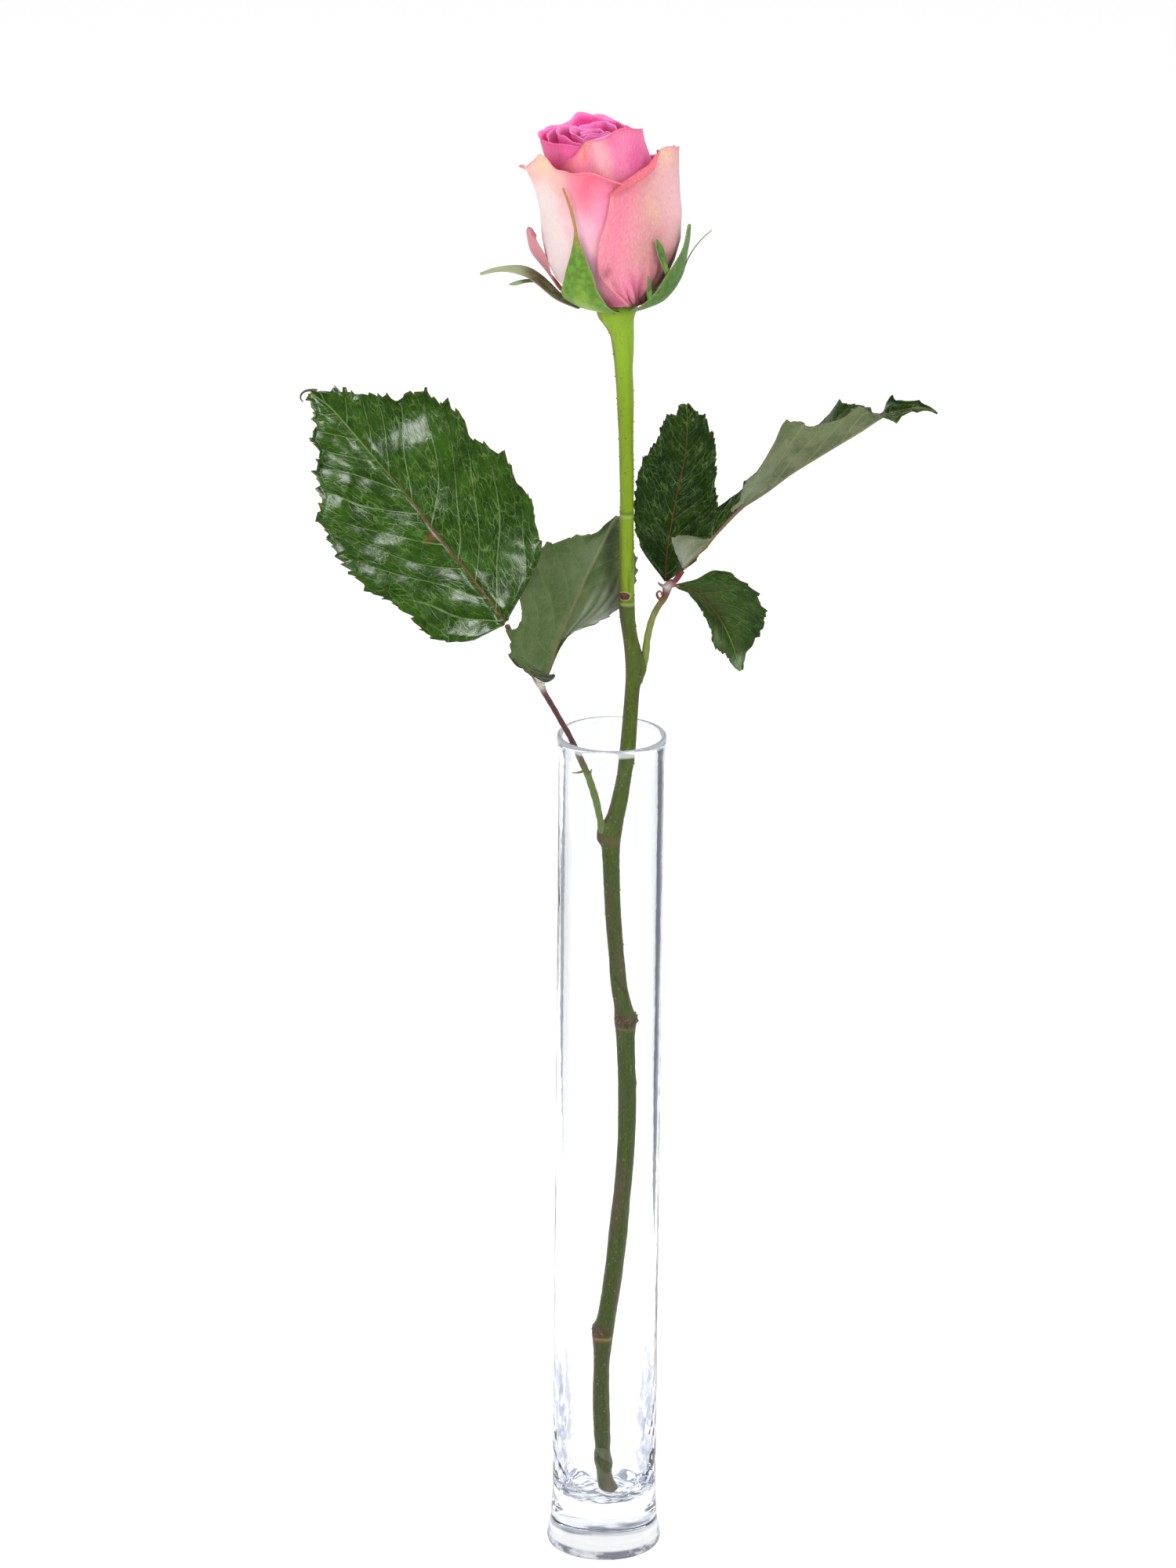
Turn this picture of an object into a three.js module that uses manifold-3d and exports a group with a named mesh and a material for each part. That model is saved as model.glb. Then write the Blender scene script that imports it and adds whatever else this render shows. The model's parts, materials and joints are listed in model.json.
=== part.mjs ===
// A single cut rose standing in a slim clear glass tube vase.
// Millimetres, +Z up, origin at the centre of the vase's flat underside.
// The front of the flower faces -Y; +X is to the right of it.
//
// Every leaf blade, petal and sepal is a thin closed shell: a loft of closed
// rings, each ring running across the outer face and back across the inner
// face. The stem and the leaf stalks are lofts of round rings with a changing
// radius. The vase is a lathed profile with a solid foot.

import * as THREE from 'three';
import { LoftGeometry } from 'three/addons/geometries/LoftGeometry.js';
import * as BufferGeometryUtils from 'three/addons/utils/BufferGeometryUtils.js';
import Module from 'manifold-3d';

// ---------------------------------------------------------------- dimensions

const VASE_HEIGHT = 250;        // mm, underside to lip
const VASE_RADIUS = 15.05;      // mm, outside of the tube
const VASE_WALL = 1.8;          // mm
const LIP_RADIUS = 15.65;       // mm, fire-polished lip
const FOOT_RADIUS = 16.6;       // mm, widest part of the solid foot
const FOOT_DEPTH = 14.2;        // mm, underside to the bottom of the cavity
const VASE_SIDES = 40;

const BLOOM_BASE = [ 0.7, 0.0, 376.0 ];   // top of the rose hip
const PETAL_THICKNESS = 0.45;             // mm
const LEAF_THICKNESS = 0.5;               // mm
const SEPAL_THICKNESS = 0.7;              // mm
const STEM_SIDES = 14;
const STALK_SIDES = 8;

const STEM = [
  [1.5, -1, 15.27, 2.75],
  [0.19, -1, 21.03, 2.4],
  [-0.43, -1, 26.03, 2.29],
  [-0.87, -1, 36.01, 2.4],
  [-1.19, -1, 45.97, 2.4],
  [-1.16, -1, 55.91, 2.28],
  [-0.98, -1, 60.87, 2.51],
  [-0.86, -1, 65.83, 3.02],
  [0.06, -1.02, 70.79, 2.73],
  [0.81, -1.17, 75.8, 2.61],
  [2.08, -1.47, 85.8, 2.61],
  [3, -1.77, 95.77, 2.72],
  [3.81, -2.07, 105.7, 2.6],
  [4.62, -2.37, 115.61, 2.49],
  [5.2, -2.23, 125.31, 2.48],
  [5.44, -1.76, 134.84, 2.59],
  [5.34, -1.28, 144.35, 2.59],
  [5.02, -0.81, 153.84, 2.59],
  [4.86, -0.57, 158.58, 2.7],
  [4.75, -0.33, 163.31, 3.2],
  [3.98, -0.1, 168.03, 2.58],
  [3.03, 0.14, 172.74, 2.36],
  [2.48, 0.37, 177.45, 2.3],
  [2.1, 0.57, 182.17, 2.19],
  [1.66, 0.71, 186.91, 2.24],
  [0.89, 0.99, 196.37, 2.24],
  [0.47, 1.27, 205.81, 2.35],
  [0.21, 1.56, 215.22, 2.51],
  [0.5, 1.7, 219.93, 2.73],
  [1.46, 1.84, 224.63, 2.51],
  [2.47, 1.98, 229.34, 2.34],
  [3.31, 1.93, 234.1, 2.12],
  [3.93, 1.85, 238.86, 2.11],
  [4.5, 1.77, 243.62, 2.28],
  [5.12, 1.61, 253.1, 2.11],
  [5.69, 1.4, 262.59, 2.11],
  [6.03, 1.22, 267.34, 2.27],
  [5.97, 1.05, 272.09, 2.38],
  [5.26, 0.87, 276.82, 2.16],
  [4.49, 0.69, 281.54, 2.1],
  [4, 0.52, 286.26, 2.21],
  [3.68, 0.16, 295.69, 2.21],
  [3.64, -0.06, 305.05, 2.04],
  [3.6, -0.18, 314.35, 1.98],
  [3.51, -0.3, 323.62, 1.98],
  [3.25, -0.41, 332.87, 2.03],
  [2.99, -0.47, 342.08, 2.19],
  [2.68, -0.36, 351.21, 2.41],
  [2.23, -0.27, 358.04, 2.57],
  [2.07, -0.22, 362.58, 2.9],
  [1.85, -0.18, 365.99, 3.15],
  [1.64, -0.15, 368.26, 3.4],
  [1.17, -0.12, 370.52, 3.93],
  [0.77, -0.1, 372.11, 4.53],
  [0.37, -0.08, 373.91, 5.46],
  [0.25, -0.06, 375.05, 5.78],
];

const LEFT_TERMINAL = [
  [-30.11, -12, 286.88, -30.55, -12.17, 286.24, -29.46, -11.77, 287.74],
  [-34.81, -9.86, 292.78, -48.03, -13.17, 282.27, -21.23, -7.76, 304.78],
  [-39.66, -7.75, 298.56, -57.53, -11.35, 289.04, -22.58, -4.63, 317.25],
  [-44.64, -5.66, 304.23, -66.23, -9.79, 294.43, -27.92, -2.21, 326.69],
  [-49.6, -3.57, 309.92, -73.57, -8.22, 299.96, -34.17, -0.37, 334.07],
  [-54.29, -1.53, 315.85, -78.14, -6.31, 307.1, -41.74, 1.18, 339.32],
  [-59.27, 0.39, 321.55, -81.76, -4.43, 314.27, -47.19, 3.24, 346.05],
  [-64.53, 2.23, 327.05, -82.2, -2.25, 321.76, -55.29, 4.26, 347.96],
  [-69.71, 4.07, 332.62, -82.69, 0.36, 328.87, -63.46, 4.9, 347.19],
  [-74.83, 5.98, 338.22, -83.39, 3.09, 335.64, -71.42, 5.97, 347.23],
  [-80.16, 8.08, 343.58, -84.04, 6.52, 341.97, -79.07, 8.06, 347.94],
  [-86.58, 9.86, 347.66, -86.58, 9.86, 347.66, -86.58, 9.86, 347.66],
];

const LEFT_SIDE = [
  [-19.22, -10.37, 269.1, -19.44, -10.49, 269.02, -19, -10.27, 269.06],
  [-17.35, -8.64, 273.53, -26.68, -13.16, 275.7, -15.66, -6.38, 275.81],
  [-15.96, -7.09, 278.26, -28.03, -12.84, 282.62, -12.21, -2.79, 280.66],
  [-14.05, -5.33, 282.74, -25.58, -10, 288.85, -6.58, 0.54, 282.12],
  [-12.03, -3.52, 287.15, -26.02, -8.49, 295.65, -1.32, 3.71, 283.7],
  [-10.01, -1.72, 291.57, -24.33, -5.83, 301.55, 2.73, 6.12, 287.23],
  [-8.05, 0.06, 296.03, -20, -2.22, 305.44, 5.49, 8.05, 291.64],
  [-5.8, 1.96, 300.3, -14.3, 0.17, 307.03, 6.24, 8.88, 297],
  [-3.5, 3.87, 304.55, -8.4, 2.53, 307.96, 5.35, 8.93, 302.51],
  [-1.17, 5.8, 308.78, -2.89, 5.27, 309.23, 3.58, 8.5, 307.83],
  [1.31, 7.78, 312.91, 1.31, 7.78, 312.91, 1.31, 7.78, 312.91],
];

const RIGHT_UPRIGHT = [
  [14.79, 7.15, 293.13, 14.57, 7.14, 293.13, 15.01, 7.15, 293.13],
  [14.84, 7.66, 298.89, 9.02, 7.21, 301.71, 22.76, 7.38, 299.18],
  [15.51, 8.16, 304.66, 6.35, 7.28, 308.73, 27.16, 7.56, 305.62],
  [16.36, 8.57, 310.43, 5.91, 7.44, 315.59, 28.98, 7.71, 312.53],
  [17.32, 8.92, 316.19, 6.75, 7.57, 321.89, 28.92, 7.78, 319.16],
  [18.44, 9.17, 321.94, 8.42, 7.67, 327.73, 28.5, 7.81, 325.53],
  [19.6, 9.33, 327.7, 11.18, 7.8, 332.77, 27.93, 7.88, 331.59],
  [20.22, 9.41, 333.57, 13.5, 7.93, 337.85, 26.51, 7.97, 337.28],
  [20.4, 9.39, 339.5, 16.48, 8.58, 341.84, 24.05, 8.63, 342.14],
  [19.91, 9.34, 345.4, 19.91, 9.34, 345.4, 19.91, 9.34, 345.4],
];

const RIGHT_LOWER = [
  [17.66, 5.18, 292.53, 17.66, 5.09, 292.21, 17.66, 5.26, 292.78],
  [21.58, 4.64, 291.63, 22.41, 3.17, 290.28, 25.68, 4.19, 295.32],
  [24.92, 3.8, 289.63, 24.95, 1.25, 287.23, 31.89, 3.03, 297.05],
  [27.75, 2.76, 286.95, 26.87, -0.6, 284.12, 36.97, 0.53, 294.39],
  [30.17, 1.44, 283.99, 28.14, -2.12, 280.92, 40.82, -1.62, 290.59],
  [32.16, 0, 280.76, 29.14, -3.37, 277.67, 42.03, -3.38, 285.56],
  [33.75, -1.62, 277.39, 31.94, -3.79, 275.59, 40.77, -3.88, 280.13],
  [35.06, -3.04, 273.83, 34.21, -4.13, 272.91, 38.02, -3.97, 275.33],
  [36.44, -4.32, 270.25, 36.44, -4.32, 270.25, 36.44, -4.32, 270.25],
];

const RIGHT_TERMINAL = [
  [19.78, 3, 298.4, 19.11, 2.6, 299.22, 20.44, 3.4, 298.97],
  [22.17, 2.6, 301.34, 17.7, 0, 304.47, 22.36, 3.4, 304.79],
  [25.22, 2.2, 304.52, 17.84, -2.5, 309.69, 24.26, 3.8, 311.41],
  [28.68, 1.6, 308.69, 24.17, -5.5, 311.65, 29.06, 4.2, 315.73],
  [32.58, 1, 313.56, 31.55, -8, 316.46, 34.1, 6, 319.13],
  [36.46, 0.2, 318.01, 36.63, -9.5, 326.89, 37.17, 8, 322.23],
  [42.54, -0.8, 322.55, 41.14, -10.5, 331.61, 40.88, 9, 325.88],
  [49.24, -1.6, 328.17, 47.52, -9.5, 344.18, 47.11, 9.5, 336.4],
  [56.17, -2.2, 333.03, 54.95, -9.5, 343.57, 56.34, 9.5, 337.88],
  [62.66, -2.6, 337.36, 62.61, -8, 344.77, 63.38, 7, 347],
  [68.72, -2.6, 341.31, 68.91, -6.5, 348.94, 68.79, 3.5, 346.3],
  [74.35, -2.4, 345.2, 74.19, -6.5, 347.16, 74.69, 1.5, 344.45],
  [78.48, -2.2, 346.79, 78.42, -5.5, 345.06, 78.26, 0.2, 350.62],
  [83.5, -2, 347.92, 83.01, -4, 347.16, 84.18, -0.6, 349.09],
  [87.66, -2, 347.73, 87.43, -2.8, 347.29, 87.9, -1.4, 348],
  [90.99, -2, 345.93, 90.77, -2.2, 345.76, 90.99, -1.9, 346.13],
];

const LEFT_STALK = [
  [-3.05, 0.2, 224.24, 0.95],
  [-4.34, -0.8, 230.74, 1.05],
  [-6.17, -1.8, 236.99, 1],
  [-7.53, -2.4, 240.73, 0.95],
  [-9.34, -3, 244.93, 0.85],
  [-11.03, -3.5, 248.39, 0.82],
  [-12.5, -4.1, 251.64, 0.8],
  [-13.85, -4.6, 254.15, 0.8],
  [-16.54, -6, 259.54, 0.8],
  [-19.21, -8, 264.89, 0.85],
  [-20.1, -9, 267.33, 1.15],
  [-21.67, -8.4, 269.45, 0.95],
  [-24.13, -7.4, 273.51, 0.75],
  [-27.25, -8, 279.05, 0.75],
  [-29.67, -11.4, 285.64, 0.75],
];

const RIGHT_STALK = [
  [9.34, 1.6, 273.57, 1.1],
  [9.74, 2.1, 277.61, 1],
  [10.9, 3, 282.7, 0.95],
  [12.42, 3.8, 286.18, 0.9],
  [14.6, 4.6, 289.43, 0.95],
  [15.23, 5, 291.87, 1.3],
  [16.1, 4.9, 293.31, 1.1],
  [17.41, 4.4, 294.19, 0.8],
  [19.36, 3.3, 297.36, 0.75],
];

const SEPAL_LEFT = [
  [-9.79, -4.2, 377.09, -10.65, -6.4, 377.05, -8.93, -2, 378.03],
  [-13.06, -4.6, 378.31, -13.92, -7, 378.56, -12.64, -3, 379.2],
  [-16.13, -4.4, 380.03, -16.76, -7.4, 380.23, -15.7, -3.6, 381.05],
  [-18.98, -3.6, 382.26, -19.39, -7.4, 382.25, -18.57, -1.8, 383.55],
  [-21.61, -3.4, 384.67, -22.01, -7, 384.14, -21.42, -0.4, 385.61],
  [-24.67, -3.6, 386.74, -24.85, -6.6, 386.03, -24.71, 0, 387.04],
  [-28.37, -4, 387.72, -28.56, -6.2, 387.24, -28.41, -0.6, 387.75],
  [-31.85, -4.4, 387.81, -31.82, -6, 387.48, -31.87, -2.2, 387.84],
  [-35.32, -4.8, 387.21, -35.31, -5.6, 386.88, -35.33, -4, 387.43],
  [-38.14, -5, 386.34, -38.13, -5.2, 386.06, -38.14, -4.8, 386.51],
];

const LOBE_RIGHT_UPPER = [
  [14.43, -12.46, 388.35, 13.77, -13.29, 388.59, 15.09, -11.53, 388.09],
  [13.52, -13.97, 391.49, 12.75, -14.79, 391.72, 14.17, -13.21, 391.5],
  [12.61, -15.5, 394.85, 11.63, -16.36, 394.87, 13.47, -14.65, 395.06],
  [11.7, -16.42, 397.81, 10.84, -17.1, 397.77, 12.57, -15.65, 398.04],
  [10.8, -17.17, 400.49, 10.68, -17.27, 400.4, 11.02, -17.01, 400.53],
];

const LOBE_RIGHT_LOWER = [
  [9.29, -14.33, 382.31, 8.64, -14.8, 382.44, 9.94, -13.8, 382.38],
  [9.15, -16.32, 384.7, 8.39, -16.82, 384.73, 9.91, -15.77, 384.77],
  [9.01, -17.59, 387.1, 8.47, -17.92, 386.97, 9.55, -17.23, 387.23],
  [8.75, -18.57, 390.31, 8.64, -18.63, 390.22, 8.93, -18.47, 390.28],
];

const LOBE_LEFT = [
  [-21.6, -4.2, 384.45, -21.59, -4.6, 383.89, -21.61, -3.8, 385.02],
  [-23.78, -4.6, 384.66, -23.77, -5, 384.21, -23.78, -4.2, 385],
  [-25.95, -4.9, 384.5, -25.94, -5.4, 383.97, -25.95, -4.4, 384.81],
  [-27.9, -5, 383.95, -27.89, -5.5, 383.42, -27.91, -4.5, 384.34],
  [-29.86, -5, 383.48, -29.86, -5.1, 383.37, -29.86, -4.9, 383.58],
];

const FILAMENT_RIGHT = [
  [17.76, -5.2, 386.48, 0.3],
  [18.71, -5.2, 388.75, 0.3],
  [19.87, -5, 391.65, 0.27],
  [21.57, -4.8, 394.54, 0.25],
  [23.71, -4.6, 397.21, 0.22],
  [26.29, -4.4, 399.55, 0.18],
];

const STIPULE_LEFT = [
  [-7.09, -2.3, 240.23, 0.5],
  [-8.85, -2.9, 239.48, 0.35],
  [-10.85, -3.2, 239.33, 0.15],
];

const STIPULE_LEFT_UP = [
  [-6.84, -2.3, 237.87, 0.5],
  [-5.96, -2.9, 239.28, 0.3],
  [-5.53, -3.2, 240.68, 0.15],
];


// ------------------------------------------------------------- bloom profile

// sideways lean of the bloom's axis against height above the hip: [height, x]
const AXIS_LEAN = [ [ 0, 0 ], [ 5, - 2.3 ], [ 9, - 2.8 ], [ 14, - 2.8 ], [ 20, - 2.5 ], [ 28, - 2.8 ], [ 36, - 4.2 ], [ 42, - 5.5 ], [ 48, - 7.2 ], [ 56, - 9.7 ] ];

// swelling of every petal from its claw to the belly: [height, factor]
const BELLY = [ [ 0, 0.40 ], [ 5, 0.60 ], [ 9, 0.79 ], [ 14, 0.91 ], [ 20, 0.98 ], [ 26, 1 ], [ 60, 1 ] ];

// Petals, outermost first. Angles in degrees about the bloom's axis, 0 at +X,
// -90 towards the viewer. belly: radius at the widest; base: height of the claw;
// left/right: half angles; width: how much of them each height uses, from claw
// to rim; top, rim: height and radius of the rim at seven places from left to
// right; flare: how late the rim leaves the belly's radius.
const CLAW = [ 0.34, 0.62, 0.88, 1, 1, 0.98, 0.92 ];
const TUCK = [ 0.34, 0.56, 0.7, 0.68, 0.64, 0.62, 1 ];
const PETALS = [
	{ name: 'petal_outer_right', belly: 19.8, base: 2.6, mid: - 44, left: 56, right: 58, width: [ 0.45, 0.78, 0.97, 1, 0.94, 0.82, 0.72 ], top: [ 37.5, 41, 43.3, 44.9, 49, 47.8, 46 ], rim: [ 20.2, 20.5, 20.9, 21.1, 22.2, 23.2, 23.4 ], flare: 2.6 },
	{ name: 'petal_outer_left', belly: 18.8, base: 2.7, mid: - 135, left: 65, right: 65, width: CLAW, top: [ 37.5, 40.9, 43.2, 46.8, 42.9, 43.6, 41 ], rim: [ 21.4, 22.9, 21.8, 19.7, 19, 18.9, 18.9 ], flare: 2.6 },
	{ name: 'petal_outer_back', belly: 19.1, base: 2.6, mid: 88, left: 62, right: 62, width: CLAW, top: [ 36, 38.5, 41.5, 43, 41.5, 38.5, 36 ], rim: [ 20.4, 21, 21.4, 21.8, 21.6, 21, 20.2 ], flare: 2.6 },
	{ name: 'petal_middle_right', belly: 17.6, base: 2.8, mid: 10, left: 48, right: 50, width: CLAW, top: [ 42.6, 43.6, 44, 43.4, 42, 41, 40 ], rim: [ 16.6, 16.7, 16.8, 17.1, 17.5, 17.7, 17.7 ], flare: 1.6 },
	{ name: 'petal_middle_left', belly: 17.2, base: 2.8, mid: 163, left: 50, right: 50, width: CLAW, top: [ 39, 40, 40.6, 41, 41, 40.6, 40 ], rim: [ 17.3, 17.3, 17.2, 17, 16.9, 16.8, 16.8 ], flare: 1.6 },
	{ name: 'petal_inner_front', belly: 16.2, base: 3.0, mid: - 76, left: 62, right: 68, width: CLAW, widthRight: TUCK, top: [ 44, 47, 51.3, 53, 54.2, 53.4, 52 ], rim: [ 15.5, 15.4, 15.3, 15.5, 15.1, 14.9, 14.7 ], flare: 1.5 },
	{ name: 'petal_inner_back', belly: 15.9, base: 3.0, mid: 98, left: 62, right: 62, width: CLAW, top: [ 47.6, 50.2, 50.6, 50.2, 49.4, 49, 48.4 ], rim: [ 15, 14.6, 14.4, 14.4, 14.5, 14.8, 15.6 ], flare: 1.5 },
	{ name: 'petal_inner_left', belly: 14.9, base: 3.2, mid: - 165, left: 65, right: 65, width: CLAW, top: [ 48.8, 49, 49.8, 48.9, 48.8, 49.3, 49.8 ], rim: [ 13.4, 13.9, 14.8, 14.9, 14.1, 13.7, 13.6 ], flare: 1.5 },
	{ name: 'petal_inner_right', belly: 14.9, base: 3.2, mid: 12, left: 52, right: 56, width: CLAW, top: [ 49, 49.4, 49, 47.2, 47.6, 48.4, 48.4 ], rim: [ 13.4, 13.4, 13.8, 14.1, 13.8, 13.5, 13.4 ], flare: 1.5 },
	{ name: 'petal_bud_01', belly: 13.8, base: 3.4, mid: 128, left: 60, right: 60, width: CLAW, top: [ 50.4, 50.8, 50.4, 50, 49.6, 49.2, 48.8 ], rim: [ 12.4, 12.4, 12.4, 12.3, 12.4, 12.5, 12.7 ], flare: 1.5 },
	{ name: 'petal_bud_02', belly: 12.8, base: 3.6, mid: - 88, left: 58, right: 62, width: CLAW, top: [ 47.5, 48, 48.4, 49, 50, 50.6, 50.6 ], rim: [ 11.6, 11.5, 11.4, 11.4, 11.6, 11.8, 12 ], flare: 1.5 },
	{ name: 'petal_bud_03', belly: 11.8, base: 3.8, mid: 88, left: 66, right: 62, width: CLAW, top: [ 49.8, 51.4, 51.2, 52.4, 52.8, 51, 50.2 ], rim: [ 10.8, 10.8, 10.6, 10.5, 10.4, 10.4, 10.6 ], flare: 1.5 },
	{ name: 'petal_bud_04', belly: 10.8, base: 4.0, mid: - 172, left: 66, right: 66, width: CLAW, top: [ 50.2, 50.6, 50.4, 50.2, 50.2, 49.8, 49 ], rim: [ 9.5, 9.6, 9.8, 9.8, 9.5, 9.2, 9.1 ], flare: 1.5 },
	{ name: 'petal_bud_05', belly: 9.7, base: 4.3, mid: - 62, left: 62, right: 74, width: CLAW, top: [ 47.6, 50.6, 51.4, 51.6, 51.6, 51.4, 51 ], rim: [ 8.4, 8.3, 8.4, 8.6, 8.4, 8.2, 8.2 ], flare: 1.5 },
	{ name: 'petal_bud_06', belly: 8.6, base: 4.6, mid: 66, left: 76, right: 76, width: CLAW, top: [ 50, 51, 51.4, 51.4, 51, 50.6, 50 ], rim: [ 7.1, 7.2, 7.3, 7.2, 7, 6.9, 7 ], flare: 1.5 },
	{ name: 'petal_bud_07', belly: 7.4, base: 4.9, mid: 178, left: 80, right: 80, width: CLAW, top: [ 49.8, 50.4, 50.8, 50.8, 50.4, 50, 49.6 ], rim: [ 6, 5.9, 5.8, 5.8, 5.8, 5.9, 6 ], flare: 1.5 },
	{ name: 'petal_bud_08', belly: 6.1, base: 5.2, mid: - 58, left: 88, right: 88, width: CLAW, top: [ 49.6, 50.4, 50.9, 51, 50.8, 50.4, 49.8 ], rim: [ 4.8, 4.7, 4.6, 4.6, 4.6, 4.7, 4.8 ], flare: 1.5 },
	{ name: 'petal_bud_09', belly: 4.7, base: 5.6, mid: 82, left: 98, right: 98, width: CLAW, top: [ 49.4, 50, 50.4, 50.4, 50.2, 49.8, 49.4 ], rim: [ 3.5, 3.4, 3.4, 3.4, 3.4, 3.4, 3.5 ], flare: 1.5 },
	{ name: 'petal_bud_10', belly: 3.2, base: 6.0, mid: - 140, left: 112, right: 112, width: CLAW, top: [ 49, 49.4, 49.6, 49.6, 49.4, 49.2, 49 ], rim: [ 2.2, 2.1, 2.1, 2.1, 2.1, 2.1, 2.2 ], flare: 1.5 },
	{ name: 'guard_petal', table: [ [ 4.8, 172, 190, 13.8, 13.8 ], [ 7.3, 170, 192, 15.5, 15.5 ], [ 11.5, 168, 194, 18.4, 18.2 ], [ 15, 166, 195, 20.4, 20.2 ], [ 18.3, 165, 195, 22, 21.8 ], [ 21, 166, 193, 22.9, 22.9 ], [ 23.5, 170, 189, 23.5, 23.6 ] ] },
];

// Sepals that hug the bloom: [height, left angle, right angle, radius at left, radius at right]
const SEPALS = [
	{ name: 'sepal_front', table: [ [ 0.5, - 138, - 86, 6.7, 6.7 ], [ 0.9, - 143, - 88, 9, 9 ], [ 1.8, - 144, - 90, 11.6, 11.6 ], [ 3.5, - 146, - 93, 14.2, 14.4 ], [ 7, - 139, - 96, 17.6, 17.8 ], [ 11, - 131, - 100, 19.3, 19.6 ], [ 15, - 126, - 102.5, 20.4, 20.7 ], [ 20, - 121.5, - 109.5, 20.8, 20.9 ], [ 25.7, - 118, - 115.2, 20.8, 20.8 ], [ 32, - 119.4, - 117.6, 20.7, 20.7 ], [ 39, - 121.6, - 120.6, 21.1, 21.1 ] ] },
	{ name: 'sepal_right', table: [ [ 0.5, - 64, - 14, 6.7, 6.7 ], [ 1.1, - 69, - 6, 9.2, 9.2 ], [ 2.2, - 68, 1, 12, 12 ], [ 3.8, - 62, 6, 15.4, 15.4 ], [ 6, - 55, 8, 18, 18 ], [ 9, - 48, 8, 19.9, 19.8 ], [ 12.5, - 43, 6, 21, 20.8 ], [ 16, - 35, 1, 21.6, 21.6 ], [ 20, - 26, - 7, 22.3, 22.3 ], [ 25.8, - 18.6, - 16.4, 23.2, 23.2 ] ] },
	{ name: 'sepal_back_right', table: [ [ 0.2, 14, 62, 6.7, 6.7 ], [ 0.8, 14, 68, 9.2, 9.2 ], [ 2, 19, 70, 12, 12 ], [ 3.8, 24, 70, 15.2, 15.2 ], [ 6, 28, 68, 17.6, 17.6 ], [ 10, 31, 65, 19.4, 19.4 ], [ 14, 34, 60, 20.5, 20.5 ], [ 19, 38, 56, 21.2, 21.2 ], [ 26, 43, 52, 21.5, 21.5 ], [ 33, 45.6, 49, 21.9, 21.9 ], [ 40.5, 46.6, 47.6, 22.8, 22.8 ] ] },
	{ name: 'sepal_back_left', table: [ [ 0.2, 88, 138, 6.7, 6.7 ], [ 0.8, 85, 141, 9.2, 9.2 ], [ 2, 86, 140, 12, 12 ], [ 3.8, 89, 137, 15.2, 15.2 ], [ 6, 92, 134, 17.6, 17.6 ], [ 10, 96, 130, 19.8, 19.8 ], [ 14, 99, 127, 21.2, 21.2 ], [ 18, 102, 124, 22.4, 22.4 ], [ 22, 106, 118, 23.8, 23.8 ], [ 26, 109, 114, 25.8, 25.8 ], [ 29, 110.6, 112, 28, 28 ] ] },
];

// ------------------------------------------------------------------- helpers

const rad = THREE.MathUtils.degToRad;
const V = ( x, y, z ) => new THREE.Vector3( x, y, z );

// piecewise linear reading of a [key, value] table
function read( table, x ) {

	if ( x <= table[ 0 ][ 0 ] ) return table[ 0 ][ 1 ];
	for ( let i = 1; i < table.length; i ++ ) {

		const [ x0, y0 ] = table[ i - 1 ], [ x1, y1 ] = table[ i ];
		if ( x <= x1 ) return y0 + ( y1 - y0 ) * ( x - x0 ) / ( x1 - x0 );

	}
	return table[ table.length - 1 ][ 1 ];

}

// smooth curve through evenly spaced values, t from 0 to 1
function through( values, t ) {

	const n = values.length - 1;
	const x = Math.min( Math.max( t, 0 ), 1 ) * n;
	const i = Math.min( Math.floor( x ), n - 1 ), f = x - i;
	const p1 = values[ i ], p2 = values[ i + 1 ];
	const p0 = i > 0 ? values[ i - 1 ] : 2 * p1 - p2;
	const p3 = i + 2 <= n ? values[ i + 2 ] : 2 * p2 - p1;
	return 0.5 * ( 2 * p1 + ( p2 - p0 ) * f + ( 2 * p0 - 5 * p1 + 4 * p2 - p3 ) * f * f + ( 3 * p1 - p0 - 3 * p2 + p3 ) * f * f * f );

}

// smooth curve through the rows of a table, column by column
const row = ( table, t ) => table[ 0 ].map( ( _, c ) => through( table.map( r => r[ c ] ), t ) );

// thin closed shell around a surface point( u, v ), u from 0 to 1, v from -1 to 1
function shell( point, thickness, along, across, taper = 0.35 ) {

	const sections = [];
	const e = 1e-3;
	for ( let i = 0; i <= along; i ++ ) {

		const u = i / along;
		const outer = [], inner = [], middle = [];
		for ( let j = 0; j <= across; j ++ ) {

			const v = - 1 + 2 * j / across;
			const u0 = Math.max( 0, u - e ), u1 = Math.min( 1, u + e );
			const v0 = Math.max( - 1, v - e ), v1 = Math.min( 1, v + e );
			const um = Math.min( Math.max( u, 0.004 ), 0.996 );
			const du = point( u1, v ).sub( point( u0, v ) );
			const dv = point( um, v1 ).sub( point( um, v0 ) );
			const normal = du.cross( dv ).normalize();
			const edge = Math.min( 1 - Math.abs( v ), 0.25 ) / 0.25;
			const half = 0.5 * thickness * ( taper + ( 1 - taper ) * edge );
			const p = point( u, v );
			outer.push( p.clone().addScaledVector( normal, half ) );
			inner.push( p.clone().addScaledVector( normal, - half ) );
			middle.push( p );

		}
		// both ends close onto the shell's own middle line
		const ring = outer.concat( inner.reverse() );
		const line = middle.concat( middle.slice().reverse() );
		if ( i === 0 ) sections.push( line );
		sections.push( ring );
		if ( i === along ) sections.push( line );

	}
	return closed( new LoftGeometry( sections, { closed: true } ) );

}

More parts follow.
